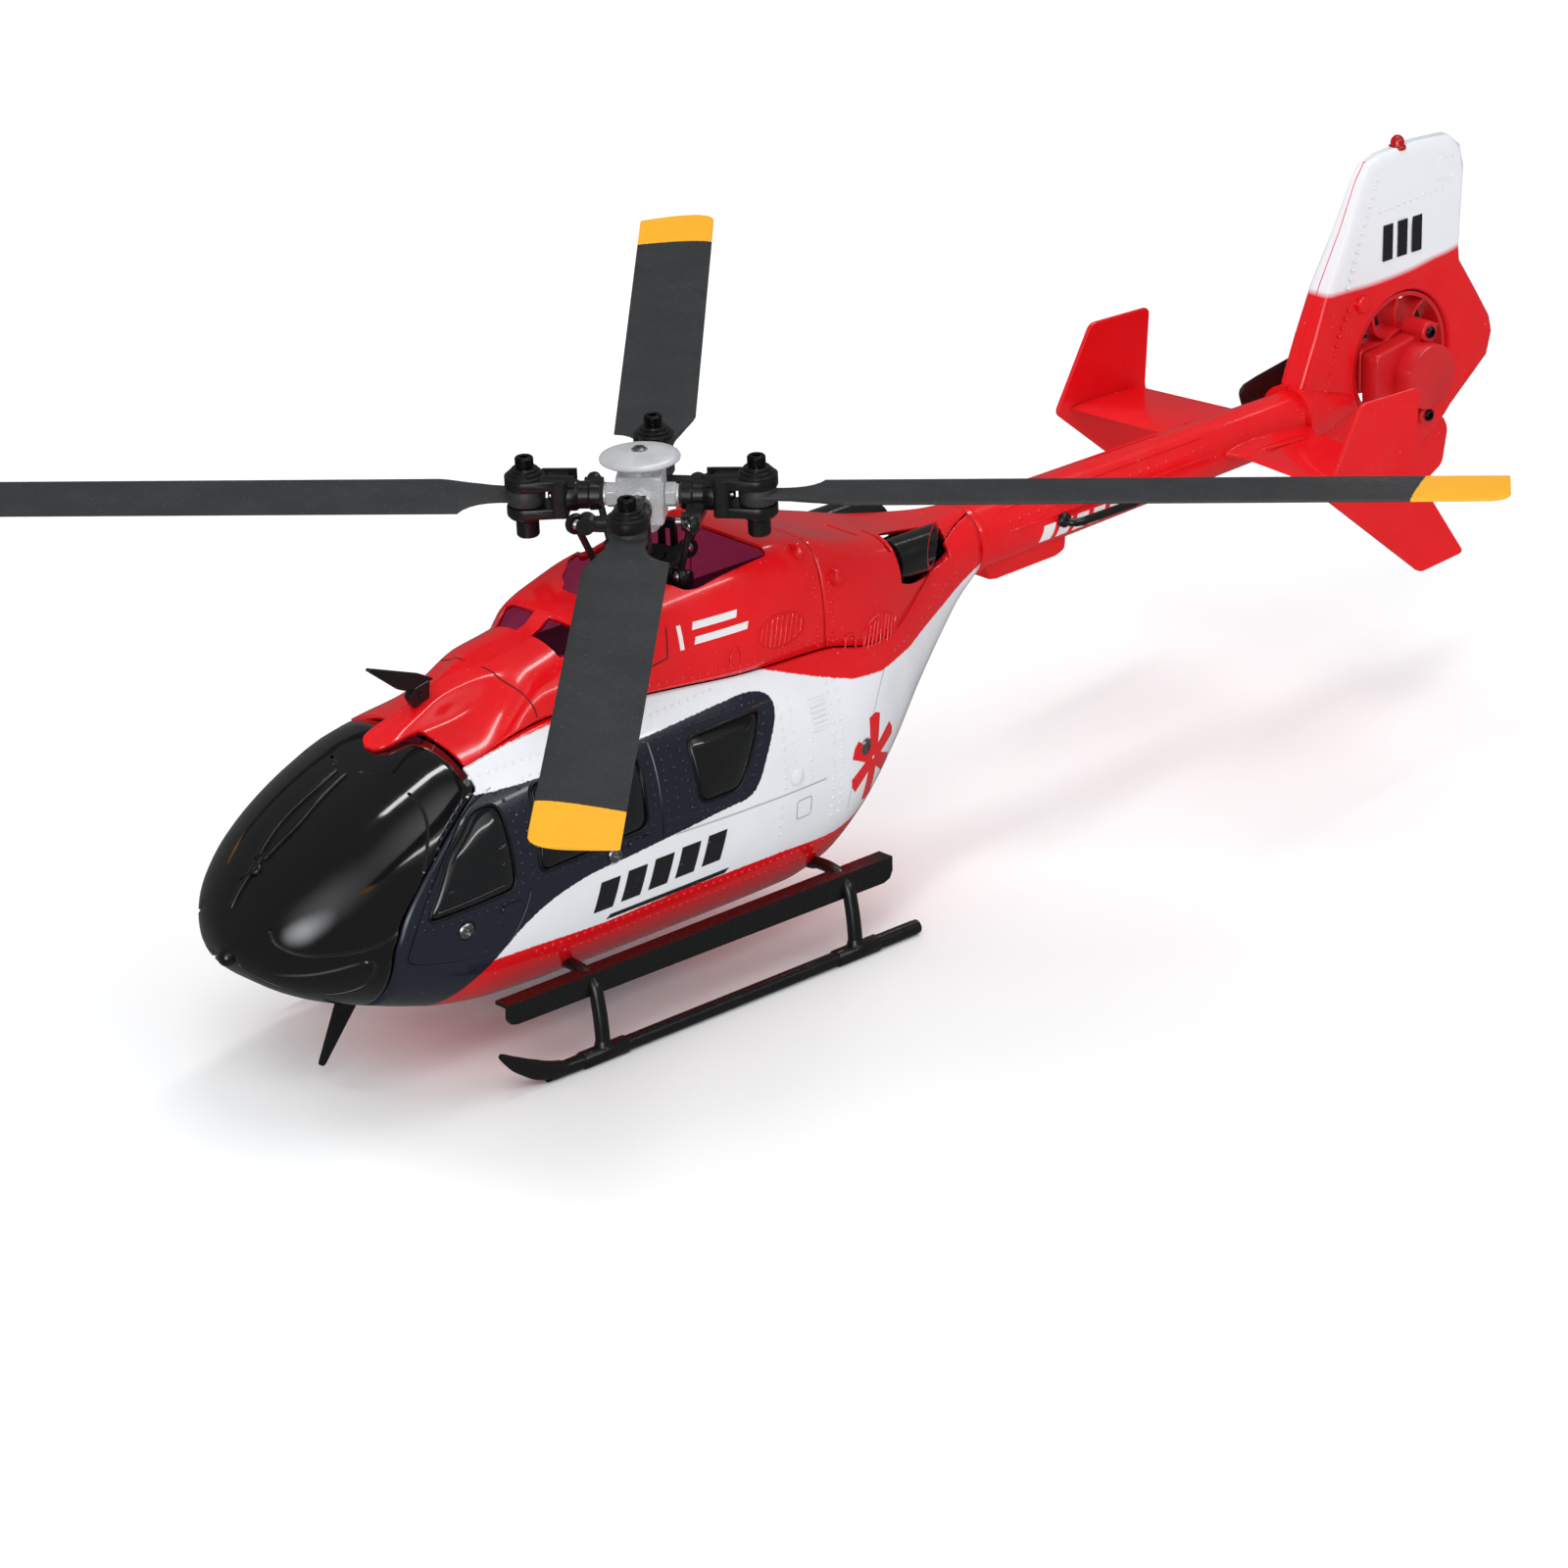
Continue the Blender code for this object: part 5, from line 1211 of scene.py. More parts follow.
def on_both_sides(part, spots, place_at):
    """Copies of a part at y, z places on both sides; place_at(y, z, side) gives each matrix."""
    shape = Shape()
    for side in (1, -1):
        for y, z in spots:
            shape.add(part, 0, place_at(y, z, side))
    return shape


def cross_screw(radius, height):
    """Pan head screw with a crossed slot, standing on z = 0."""
    dome = ((1.0, 0.35), (0.86, 0.75), (0.5, 1.0), (0.1, 1.04))
    head = lathe([(radius, -0.8)] + [(radius * r, height * h) for r, h in dome], 24)
    arm, half = radius * 0.55, radius * 0.13
    slots = [block((-arm, -half, height * 0.3), (arm, half, height + 1.0)),
             block((-half, -arm, height * 0.3), (half, arm, height + 1.0))]
    return solid(head, cut=slots)


def hexagon(radius):
    return circle(6, radius)


def cap_screw(radius, height, socket):
    """Socket head screw with its top at z = 0."""
    head = lathe([(radius, -height), (radius, -0.35), (radius - 0.3, 0.0)], 24)
    return solid(head, cut=[prism(hexagon(socket), -height * 0.6, 1.0)])


# ---------------------------------------------------------------- fuselage

def skin_shell(name, part, looks, slot, inside, replaces):
    """Thicken an open surface inwards into a closed piece; inside is a point it must face away from."""
    made = make(name, part, looks, slot, replaces=replaces)
    middle = made.data.polygons[len(made.data.polygons) // 2]
    if middle.normal.dot(middle.center / MM - Vector(inside)) < 0:
        made.data.flip_normals()
    step = made.modifiers.new("wall", "SOLIDIFY")
    step.thickness = SHELL_WALL * MM
    step.offset = -1.0
    step.material_offset = 2
    step.material_offset_rim = 0
    apply_modifiers(made)
    return made


def nose_rings():
    flat = -100.0
    stations = [HULL[0][0] + (flat - HULL[0][0]) * (i / 22) ** 1.9 for i in range(23)]
    rings = [port_ring(90.0, lambda a, y=y: y) for y in stations]
    steps = 10
    for k in range(1, steps + 1):
        share = k / steps
        rings.append(port_ring(90.0, lambda a: flat + (joint_y(a) - 2 * SHELL_GAP - flat) * share))
    return rings


def nose_canopy():
    """Gloss nose with the outlines of its panes cut in."""
    rings = [ring + side_of(reversed(ring), -1) for ring in nose_rings()]
    verts, faces = loft(rings, caps=False)
    faces.append(tuple(range(len(rings[0]))))
    canopy = skin_shell("nose_canopy_skin", (verts, faces), ("canopy", "groove_painted_highlight", "inside"),
                        "gloss_black", (0.0, -90.0, 28.0), "nose_canopy")
    before = canopy.data.copy()
    tree = surface_tree(canopy)
    paths = []
    for side in (1, -1):
        for outline in (WINDSCREEN, CHIN):
            loop = smooth_line([(side * x, y, z) for x, y, z in outline], 6, closed=True)
            paths.append((project(tree, loop), True))
    combine(canopy, "DIFFERENCE", grooves(paths, 0.42), GROOVE, crossing=True)
    keep_shading(canopy, before)
    nose_fittings(tree)


def surface_tree(item):
    bm = bmesh.new()
    bm.from_mesh(item.data)
    tree = BVHTree.FromBMesh(bm)
    bm.free()
    return tree


def project(tree, points, lift=0.0):
    """Move points in mm to the nearest place on a surface."""
    out = []
    for point in points:
        spot, normal, _, _ = tree.find_nearest(Vector(point) * MM)
        out.append(tuple(spot / MM + normal * lift))
    return out


def nose_fittings(tree):
    """Centre bars between the windscreens and the lamp ball on the nose."""
    shape = Shape(tube(project(tree, smooth_line(CENTRE_BAR, 5), 0.1), 0.75, 8))
    for side in (1, -1):
        line = smooth_line([(side * x, y, z) for x, y, z in WIPER], 5)
        shape.add(tube(project(tree, line, 0.2), 0.62, 8))
    shape.add(tube(project(tree, smooth_line(WIPER_FOOT, 5), 0.3), 0.55, 8))
    make("windscreen_centre_bars", shape, "canopy", "gloss_black", smooth=ROUND_ANGLE)
    x, y, z = LAMP
    turns = np.linspace(0.0, 2.4, 14)
    ball = [(0.1 + LAMP_RADIUS * math.sin(t), y - LAMP_RADIUS * math.cos(t)) for t in turns]
    make("nose_lamp", lathe(ball, 24, "Y", (x, 0.0, z)), "canopy", "gloss_black", smooth=ROUND_ANGLE)


def body_shell():
    """Cabin and rear body in one skin, with its windows, notches, screw pockets and panel lines cut in."""
    body = skin_shell("body_skin", loft(body_rings(), closed=False, caps=False),
                      ("livery", "groove", "inside"), "gloss_white", (0.0, -20.0, 60.0), "body_shell")
    before = body.data.copy()
    openings = Shape()
    lines = []
    for side in (1, -1):
        for corners in WINDOWS:
            outline = rounded(corners, WINDOW_ROUND)
            openings.add(loft([[(side * x, y, z) for y, z in outline] for x in (15.0, 35.0)]))
        openings.add(exhaust_notch(side))
        for y, z in SCREWS:
            openings.add(rod(2.1, -0.5, 1.0, 20), 0, standing(*side_spot(y, z, side)))
        for path in PANEL_LINES:
            lines.append((on_side(dense(smooth_line(path, 4), 1.5), side), False))
        lines.append((on_side(dense(rounded(HATCH, 0.8, 3), 1.5, closed=True), side), True))
    combine(body, "DIFFERENCE", openings)
    combine(body, "DIFFERENCE", grooves(lines, 0.24), GROOVE)
    keep_shading(body, before)
    paint_body(body)


def body_rings():
    """Sections of the body from the canopy's joint to the boom, open along the cowl's seat."""
    start, end, count, steps = BODY_START, HULL[-1][0], 88, 14
    ports = []
    for k in range(steps):
        share = 1 - k / steps
        roof_y = start + (JOINT_REAR - start) * share
        ports.append(port_ring(cowl_angle(roof_y), lambda a: start + (joint_y(a) - start) * share))
    for i in range(count + 1):
        y = start + (end - start) * i / count
        ports.append(port_ring(cowl_angle(y), lambda a, y=y: y))
    return [side_of(reversed(port), -1) + port for port in ports]


def exhaust_notch(side):
    return rod(6.1, 54.0, 76.0, 32, "Y", (side * EXHAUST_X, 0.0, EXHAUST_Z))


def body_fittings():
    """Rivet rows, screws, door handles, vent and filler cap."""
    rounds = [[tuple(p) for p in grown(rounded(corners, 3.0, 3), 2.6)] for corners in WINDOWS]
    lines = list(RIVET_LINES) + [outline + outline[:1] for outline in rounds]
    paint_body(rivets("body_rivets", lines, side_spot, "livery", "gloss_white"))
    make("body_screws", on_both_sides(cross_screw(1.75, 0.75), SCREWS, screw_place), "steel", "black_steel")
    handle = solid(prism(soft_box(-2.8, 2.8, -0.7, 0.7, 0.6), -0.5, 0.55, "Z", 0.15))
    paint_body(make("door_handles", on_both_sides(handle, HANDLES, on_hull), "livery", "gloss_white"))
    vent = Shape(prism(soft_box(-3.0, 3.0, -3.4, 3.4, 1.0), -0.5, 0.12, "Z", 0.1))
    slat = prism(soft_box(-2.3, 2.3, -0.32, 0.32, 0.3, 3), -0.5, 0.4, "Z", 0.12)
    for k in range(5):
        vent.add(slat, 0, Matrix.Translation((0.0, (k - 2) * 1.15, 0.0)))
    cap = lathe([(1.9, -0.5), (1.9, 0.2), (1.6, 0.45), (0.2, 0.5)], 24)
    fittings = on_both_sides((vent.verts, vent.faces), [VENT], on_hull)
    for side in (1, -1):
        fittings.add(cap, 0, on_hull(*FILLER_CAP, side))
    paint_body(make("body_vent_and_cap", fittings, "livery", "gloss_white"))


def screw_place(y, z, side):
    """Matrix for a screw whose head is sunk a little into the hull."""
    spot, normal = side_spot(y, z, side)
    return standing(spot - normal * 0.2, normal, 0.4)


def on_hull(y, z, side):
    """Matrix with local X along the hull, local Y up its side and local Z out of it."""
    spot, normal = side_spot(y, z, side)
    along = Vector((0.0, 1.0, 0.0))
    along = (along - normal * along.dot(normal)).normalized()
    return Matrix.Translation(spot) @ Matrix((along, normal.cross(along), normal)).transposed().to_4x4()


def grown(outline, amount):
    """An outline pushed outwards from its middle."""
    middle = middle_of(outline)
    return [Vector(p) + (Vector(p) - middle).normalized() * amount for p in outline]


def windows():
    """Bulging dark panes, their seals, and the moulding they share behind each side."""
    for name, side in SIDES:
        panes, seals = Shape(), Shape()
        for corners in WINDOWS:
            middle = middle_of(corners)
            outline = dense(rounded(corners, WINDOW_ROUND), 1.2, closed=True)
            panes.add(loft([on_side(scaled(outline, scale, middle), side, lift)
                            for scale, lift in PANE_LEVELS]))
            seals.add(bead(on_side(scaled(outline, 1.012, middle), side, 0.05), 0.34, 6))
        panes.add(window_backing(side))
        make("window_panes_" + name, panes, "pane", "gloss_black", smooth=50.0,
             replaces="window_insert_" + name)
        make("window_seals_" + name, seals, "seal", "gloss_black", smooth=ROUND_ANGLE)
    bars = Shape()
    for side in (1, -1):
        for line in PANE_LINES:
            bars.add(tube(on_side(dense(line, 1.5), side, 0.55), 0.42, 8))
    make("front_pane_frame_lines", bars, "pane", "gloss_black", smooth=ROUND_ANGLE)


def window_backing(side):
    """Thin sheet inside the hull that joins the panes of one side."""
    rows, columns = 24, 10
    inner, outer = [], []
    for i in range(rows + 1):
        for z in np.linspace(*BACKING_Z, columns):
            front = BACKING_FRONT[0] + BACKING_FRONT[1] * (z - BACKING_Z[0])
            y = front + (BACKING_REAR - front) * i / rows
            x = side * (hull_side(y, z) - 1.7)
            outer.append((x, y, z))
            inner.append((x - side * 0.8, y, z))
    return slab(inner + outer, rows + 1, columns)


def cowl_skin(name, replaced, start, end, count):
    rings = []
    for i in range(count + 1):
        y = start + (end - start) * i / count
        port = [cowl_point(y, 3.0 * k) for k in range(31)]
        rings.append(port + side_of(reversed(port), -1))
    return skin_shell(name, loft(rings, closed=False, caps=False), ("red", "groove_red", "raw_painted_glow"),
                      "gloss_red", (0.0, (start + end) / 2, 40.0), replaced)


def mirrored_outline(half):
    """A closed outline from its port half, given as x, y."""
    return list(half) + [(-x, y) for x, y in reversed(half)]


def engine_cowl():
    """Front cowl with the rotor's opening, the canopy's tongue, the air intakes and the seams cut in."""
    cowl = cowl_skin("engine_cowl_skin", "engine_cowl", COWL[0][0], COWL_SPLIT, 130)
    before = cowl.data.copy()
    combine(cowl, "DIFFERENCE", prism(rounded(mirrored_outline(scalloped()), 1.5, 4), 62.5, 90.0))
    combine(cowl, "DIFFERENCE", prism(mirrored_outline(TONGUE), 30.0, 90.0))
    lines = []
    for side in (1, -1):
        inner, outer = sorted((side * INTAKE_X[0], side * INTAKE_X[1]))
        combine(cowl, "DIFFERENCE", block((inner, INTAKE_Y[0], 66.0), (outer, INTAKE_Y[1], 80.0)))
        seam = [cowl_point(-48.0 + 1.5 * math.cos(math.radians(2 * t)), t) for t in range(4, 90, 3)]
        lines.append((side_of(seam, side), False))
        lines.append((on_side(dense(COWL_PANEL, 1.5), side, 0.0, cowl_side), False))
    combine(cowl, "DIFFERENCE", grooves(lines, 0.22), GROOVE)
    keep_shading(cowl, before)


def scalloped():
    """Port half of the opening for the rotor head: straight sides and a front edge in scallops."""
    points = [MAST_OPENING[0], MAST_OPENING[1]]
    for a, b in zip(MAST_OPENING[1:], MAST_OPENING[2:]):
        a, b = Vector(a), Vector(b)
        out = Vector((b.y - a.y, a.x - b.x)).normalized() * -0.9
        points += [tuple(a.lerp(b, 0.5) + out), tuple(b)]
    return points


def rear_cowl():
    """Rear cowl with the notches for the exhausts and two louvres."""
    cowl = cowl_skin("rear_cowl_skin", "rear_cowl", COWL_SPLIT + SHELL_GAP, 86.6, 66)
    before = cowl.data.copy()
    notches = Shape()
    for side in (1, -1):
        notches.add(exhaust_notch(side))
    for x0, x1, y in LOUVRES:
        notches.add(prism(soft_box(x0, x1, y - 0.7, y + 0.7, 0.6), 66.0, 80.0))
    combine(cowl, "DIFFERENCE", notches, crossing=True)
    keep_shading(cowl, before)


def cowl_fittings():
    """Ribbed vents, lifting lugs, latches and the rivets along the cowl's edges."""
    lower = [(y, cowl_point(y, 0.0)[2] + 1.6) for y in range(-42, 58, 3)]
    split = [(COWL_SPLIT - 1.8, 52.0), (COWL_SPLIT - 1.8, 70.0)]
    behind = [(COWL_SPLIT + 2.2, 50.0), (COWL_SPLIT + 2.2, 68.0)]
    rivets("cowl_rivets", [lower, split, behind], cowl_spot, "red", "gloss_red")
    vents, latches = Shape(), Shape()
    for side in (1, -1):
        for vent in COWL_VENTS:
            add_cowl_vent(vents, side, *vent)
        for y, z in COWL_LATCHES:
            arch = dense([(y + a, z + b) for a, b in LATCH_ARCH], 1.0)
            latches.add(tube(on_side(arch, side, 0.05, cowl_side), 0.3, 6))
    make("cowl_vent_ribs", vents, "red", "gloss_red", smooth=ROUND_ANGLE)
    outline = rounded([(-2.4, -1.0), (2.4, -1.0), (1.2, 1.8), (-1.2, 1.8)], 0.9, 4)
    lugs = on_both_sides(solid(prism(outline, -0.8, 0.8, "X", 0.2)), COWL_LUGS,
                         lambda y, z, side: standing(*cowl_spot(y, z, side)))
    make("cowl_lugs", lugs, "red", "gloss_red", smooth=ROUND_ANGLE)
    make("cowl_latches", latches, "red", "gloss_red", smooth=ROUND_ANGLE)


def add_cowl_vent(shape, side, y, z, wide, tall, ribs=9):
    """An oval rim with leaning ribs across it."""
    rim = [(y + wide * a, z + tall * b) for a, b in circle(36)]
    shape.add(bead(on_side(rim, side, 0.02, cowl_side), 0.2, 6))
    for k in range(ribs):
        across = (k - ribs // 2) / 4.6
        half = tall * math.sqrt(1 - across ** 2) * 0.86
        ends = [(y + across * wide + 0.25 * end, z + end) for end in (-half, half)]
        shape.add(tube(on_side(dense(ends, 1.0), side, 0.03, cowl_side), 0.3, 6))


def livery_marks():
    """Plain bars and a six-armed star where the livery needs a mark."""
    bars = []
    for y in bar_row(*SIDE_BARS):
        low = 17.6 + 0.04 * (y + 45)
        bars.append(rectangle(y, y + 5.2, low, low + 6.6, 1.6))
    bars.append(rectangle(-40.0, -7.0, 14.9, 15.9, 1.0))
    decal("side_bars", bars, hull_side, "dark_mark", "matt_black")
    for k in range(6):
        decal("rear_star_arm_%d" % (k + 1), [star_arm(k)], hull_side, "red", "gloss_red", 0.06 + 0.004 * k)
    cowl = [rectangle(-7.0, 4.2, 66.2, 67.7, 0.5), rectangle(-7.0, 6.6, 63.2, 64.7, 0.5),
            rectangle(-10.6, -9.6, 62.8, 67.8)]
    decal("cowl_bars", cowl, cowl_side, "white_mark", "gloss_white")
    boom = [rectangle(y, y + 3.6, 51.6, 55.6, 0.7) for y in bar_row(*BOOM_BARS)]
    decal("boom_bars", boom, boom_side, "white_mark", "gloss_white")
    fin = [rectangle(y, y + 3.2, 88.0, 96.2, 0.6) for y in bar_row(*FIN_BARS)]
    decal("fin_bars", fin, fin_side, "dark_mark", "matt_black")


def bar_row(start, pitch, count):
    return [start + pitch * k for k in range(count)]


def star_arm(k):
    """One of the six arms of the star, widening a little outwards."""
    turn = math.radians(60.0 * k + 90.0)
    along = Vector((math.cos(turn), math.sin(turn)))
    across = Vector((-along.y, along.x))
    reach = STAR_REACH[0] if k % 3 == 0 else STAR_REACH[1]
    corners = ((0.4, -STAR_WIDTH * 0.8), (reach * 0.93, -STAR_WIDTH * 1.15), (reach, -STAR_WIDTH * 0.2),
               (reach * 0.95, STAR_WIDTH * 1.15), (0.4, STAR_WIDTH * 0.8))
    return [tuple(Vector(STAR_CENTRE) + along * r + across * w) for r, w in corners]


def exhaust():
    """Two hollow stubs cut off at a slant, joined by a bar."""
    profile = [(4.6, 55.0), (4.6, 76.0), (3.9, 76.0), (3.9, 59.0), (0.3, 59.0)]
    pipes = [lathe(profile, 40, "Y", (side * EXHAUST_X, 0.0, EXHAUST_Z)) for side in (1, -1)]
    bridge = prism(soft_box(-12.2, 12.2, 60.2, 65.0, 1.0, 3), 56.4, 58.4, "Y")
    corners = ((5.8, 60.0), (5.8, 80.0), (-5.8, 80.0), (-5.8, 76.0), (4.6, 62.0))
    ends = [prism([(side * (EXHAUST_X + x), y) for x, y in corners], 55.0, 70.0) for side in (1, -1)]
    make("exhaust_pipes", solid(bridge, add=pipes, cut=ends), "gloss_black", "matt_black", replaces="exhaust")


def wire_cutters():
    """Two flat knives, one under the nose and one on the roof."""
    make("lower_cutter_blade", prism(rounded(LOWER_CUTTER, 0.7, 3), -0.6, 0.6, "X", 0.2), "nylon",
         "black_nylon", replaces="lower_wire_cutter")
    high = Shape(prism(rounded(UPPER_CUTTER, 0.5, 3), -0.6, 0.6, "X", 0.2))
    high.add(prism(rounded(CUTTER_FOOT, 0.6, 3), -1.0, 1.0, "X", 0.3))
    high.add(rod(0.6, -1.5, 1.5, 12, "X", (0.0, -64.2, 63.4)))
    make("upper_cutter_blade", high, "nylon", "black_nylon", replaces="upper_wire_cutter")


# ---------------------------------------------------------------- tail

def boom_cone(start, end, grow, segments=48, steps=1):
    """A stretch of the boom's cone, thicker by grow."""
    rings = []
    for k in range(steps + 1):
        y = start + (end - start) * k / steps
        height, radius = boom_at(y)
        rings.append([(a, y, height + b) for a, b in circle(segments, radius + grow)])
    return loft(rings)


def boom_band(low, high, grow):
    """A raised band round the boom."""
    (_, r0), (_, r1) = boom_at(low), boom_at(high)
    profile = [(r0 - 0.4, low), (r0 + grow * 0.6, low), (r0 + grow, low + 0.5), (r1 + grow, high - 0.5),
               (r1 + grow * 0.6, high), (r1 - 0.4, high)]
    return ring_lathe(profile, 48, "Y", (0.0, 0.0, boom_at((low + high) / 2)[0]))


def boom_rib(turn, steps=24):
    """A fine rib along the boom that fades out at its ends."""
    line = []
    for k in range(steps + 1):
        y = BOOM_RIBS_Y[0] + (BOOM_RIBS_Y[1] - BOOM_RIBS_Y[0]) * k / steps
        height, radius = boom_at(y)
        line.append(((radius + 0.02) * math.cos(turn), y, height + (radius + 0.02) * math.sin(turn)))
    return tube(line, [0.12] + [0.34] * (steps - 1) + [0.12], 8)


def tail_boom():
    """Hollow cone with the box moulded under it, bands at its ends, ribs and rivets."""
    start, end = BOOM_Y
    boom = solid(boom_cone(start, end, 0.0, steps=12),
                 add=[prism(rounded(BOOM_BOX, 0.8, 3), -3.2, 3.2, "X", 0.6)],
                 cut=[boom_cone(start - 3.0, end + 3.0, -1.1)])
    shape = Shape(boom).add(boom_band(87.5, 89.6, 0.35)).add(boom_band(191.2, 193.4, 0.3))
    for turn in BOOM_RIB_ANGLES:
        shape.add(boom_rib(math.radians(turn)))
    make("boom_tube", shape, "red", "gloss_red", smooth=45.0, replaces="tail_boom")
    spots = [(y, boom_at(y)[0] + 3.4) for y in (97.0 + k * 2.9 for k in range(22))]
    make("boom_rivets", on_both_sides(lathe(RIVET, 8), spots, boom_place), "red", "gloss_red",
         smooth=ROUND_ANGLE)


def boom_place(y, z, side):
    """Matrix that stands a part on the boom's side."""
    spot = Vector((side * boom_side(y, z), y, z))
    return standing(spot, Vector((spot.x, 0.0, z - boom_at(y)[0])).normalized())


def boom_handle():
    """Grab handle along the port side of the boom, with a washer at each end."""
    height, radius = boom_at(123.0)
    x = radius + 0.3
    path = smooth_line([(x + out, y, height + up) for out, y, up in HANDLE_PATH], 4)
    shape = Shape(tube(path, 0.95, 12))
    for y in (112.4, 133.6):
        shape.add(lathe([(1.7, x - 0.2), (1.7, x + 0.7), (1.3, x + 1.2)], 20, "X", (0.0, y, height - 0.3)))
    make("grab_handle", shape, "gloss_black", "gloss_black", smooth=ROUND_ANGLE, replaces="boom_handle")


def airfoil(count, thickness, camber):
    """Chord fractions and heights round a section, over the top from nose to tail and back below."""
    upper, lower = [], []
    for k in range(count + 1):
        t = 0.5 * (1 - math.cos(math.pi * k / count))
        half = 5 * thickness * (0.2969 * math.sqrt(t) - 0.126 * t - 0.3516 * t * t + 0.2843 * t ** 3
                                - 0.1015 * t ** 4)
        middle = camber * 4 * t * (1 - t)
        upper.append((t, middle + half + 0.02))
        lower.append((t, middle - half - 0.02))
    return upper + lower[-1:0:-1]


def stabiliser():
    """Tapered tail plane with faired roots and a plate at each end."""
    (x0, lead0, trail0), (x1, lead1, trail1) = STABILISER
    section = airfoil(14, 1.0, 0.1)
    rings = []
    for share in (-1.0, -0.985, -0.6, -0.3, 0.0, 0.3, 0.6, 0.985, 1.0):
        x = x1 * share
        t = min(max((abs(x) - x0) / (x1 - x0), 0.0), 1.0)
        lead, trail = lead0 + (lead1 - lead0) * t, trail0 + (trail1 - trail0) * t
        rings.append([(x, lead + (trail - lead) * s, STABILISER_Z + h * 1.25) for s, h in section])
    shape = Shape(loft(rings))
    for name, side in SIDES:
        root = []
        for x, grow in ((5.2, 2.4), (7.0, 1.7), (8.6, 0.8), (10.2, 0.15)):
            root.append([(side * x, lead0 - grow * 1.2 + (trail0 - lead0 + grow * 2.2) * s,
                          STABILISER_Z + h * (1.3 + grow * 0.8)) for s, h in section])
        shape.add(loft(root))
        shape.add(tube([(side * 12.5, 171.5, STABILISER_Z + 1.2), (side * 12.5, 184.0, STABILISER_Z + 0.55)],
                       0.2, 8))
        low, high = sorted((side * (ENDPLATE_X - 0.5), side * (ENDPLATE_X + 0.5)))
        make("tail_endplate_" + name, prism(rounded(ENDPLATE, 1.6, 6), low, high, "X", 0.22), "red",
             "gloss_red", smooth=45.0, replaces="endplate_" + name)
    make("stabiliser_plane", shape, "red", "gloss_red", smooth=40.0, replaces="stabiliser")


def fin_outline():
    """Side view of the fin: boom joint, swept top, waist, and a round keel about the duct."""
    y0, z0 = TAIL_AXIS
    arc = [math.radians(a) for a in range(-42, -105, -6)]
    bottom = [(y0 + FIN_KEEL * math.cos(a), z0 + FIN_KEEL * math.sin(a)) for a in arc]
    front = [(192.6, 64.5), (197.0, 74.8), (201.8, 85.7), (208.8, 98.0), (213.4, 107.6)]
    crown = [(216.2, 111.4), (220.0, 112.6), (232.0, 113.2), (243.4, 112.4), (247.2, 109.2)]
    rear = [(248.2, 104.4), (246.0, 86.0), (246.2, 82.6), (252.0, 74.0), (257.0, 66.4), (258.0, 62.4),
            (256.4, 57.0)]
    return front + crown + rear + bottom + [(206.0, 44.0), (192.6, 49.0)]


def fin_half(side):
    """One half of the fin: a thinning slab with its boom sleeve, flared duct, boss and tab."""
    y0, z0 = TAIL_AXIS
    height, radius = boom_at(195.0)
    rings = []
    for level, scale in ((FIN_GAP, 1.0), (FIN_HALF - 1.5, 1.0), (FIN_HALF - 0.9, 0.992),
                         (FIN_HALF - 0.4, 0.978), (FIN_HALF - 0.1, 0.955), (FIN_HALF, 0.93)):
        ring = []
        for y, z in scaled(fin_outline(), scale, Vector(FIN_MIDDLE)):
            slim = (FIN_HALF - fin_side(y, z)) * (level - FIN_GAP) / (FIN_HALF - FIN_GAP)
            ring.append((side * (level - slim), y, z))
        rings.append(ring)
    sleeve = [(radius + 1.5, 191.6), (radius + 1.5, 193.0), (radius + 1.2, 194.4), (6.4, 200.0), (4.3, 209.0)]
    lip = ((0.0, -1.0), (0.0, FIN_HALF - 1.2), (0.3, FIN_HALF - 0.5), (1.0, FIN_HALF + 0.02),
           (1.6, FIN_HALF + 1.0))
    duct = lathe([(DUCT_RADIUS + flare, side * x) for flare, x in lip], 64, "X", (0.0, y0, z0))
    low, high = sorted((side * FIN_GAP, -side * 20.0))
    shape = Shape(solid(loft(rings), add=[lathe(sleeve, 40, "Y", (0.0, 0.0, height))],
                        cut=[rod(radius + 0.3, 180.0, 196.0, 40, "Y", (0.0, 0.0, height)), duct,
                             block((low, 150.0, 0.0), (high, 290.0, 140.0))]))
    boss = ((2.1, -0.6), (2.1, 0.15), (1.7, 0.5), (0.3, 0.6))
    shape.add(lathe([(r, side * (FIN_HALF + x)) for r, x in boss], 24, "X", (0.0, *FIN_BOSS)))
    tab = dense(rounded(FIN_TAB, 1.4, 5), 1.2, closed=True)
    return shape.add(bead(on_side(tab, side, 0.02, fin_side), 0.22, 6))


def fins():
    """Both halves of the fin, their rivets and the seam along the leading edge."""
    for name, side in SIDES:
        make("fin_half_" + name, fin_half(side), "fin", "gloss_red", smooth=33.0, replaces="fin_" + name)
    rivets("fin_rivets", FIN_RIVETS, fin_spot, "fin", "gloss_red")
    seam = [(0.0, y + 0.45, z) for y, z in dense(fin_outline()[:6], 1.5)]
    make("fin_seam", tube(seam, 0.42, 8), "red", "gloss_red", smooth=ROUND_ANGLE)


def fin_spot(y, z, side):
    slope = (FIN_HALF - FIN_TOP_HALF) / (48.0 - DUCT_RADIUS) if z > TAIL_AXIS[1] + DUCT_RADIUS else 0.0
    return Vector((side * fin_side(y, z), y, z)), Vector((side, 0.0, slope)).normalized()


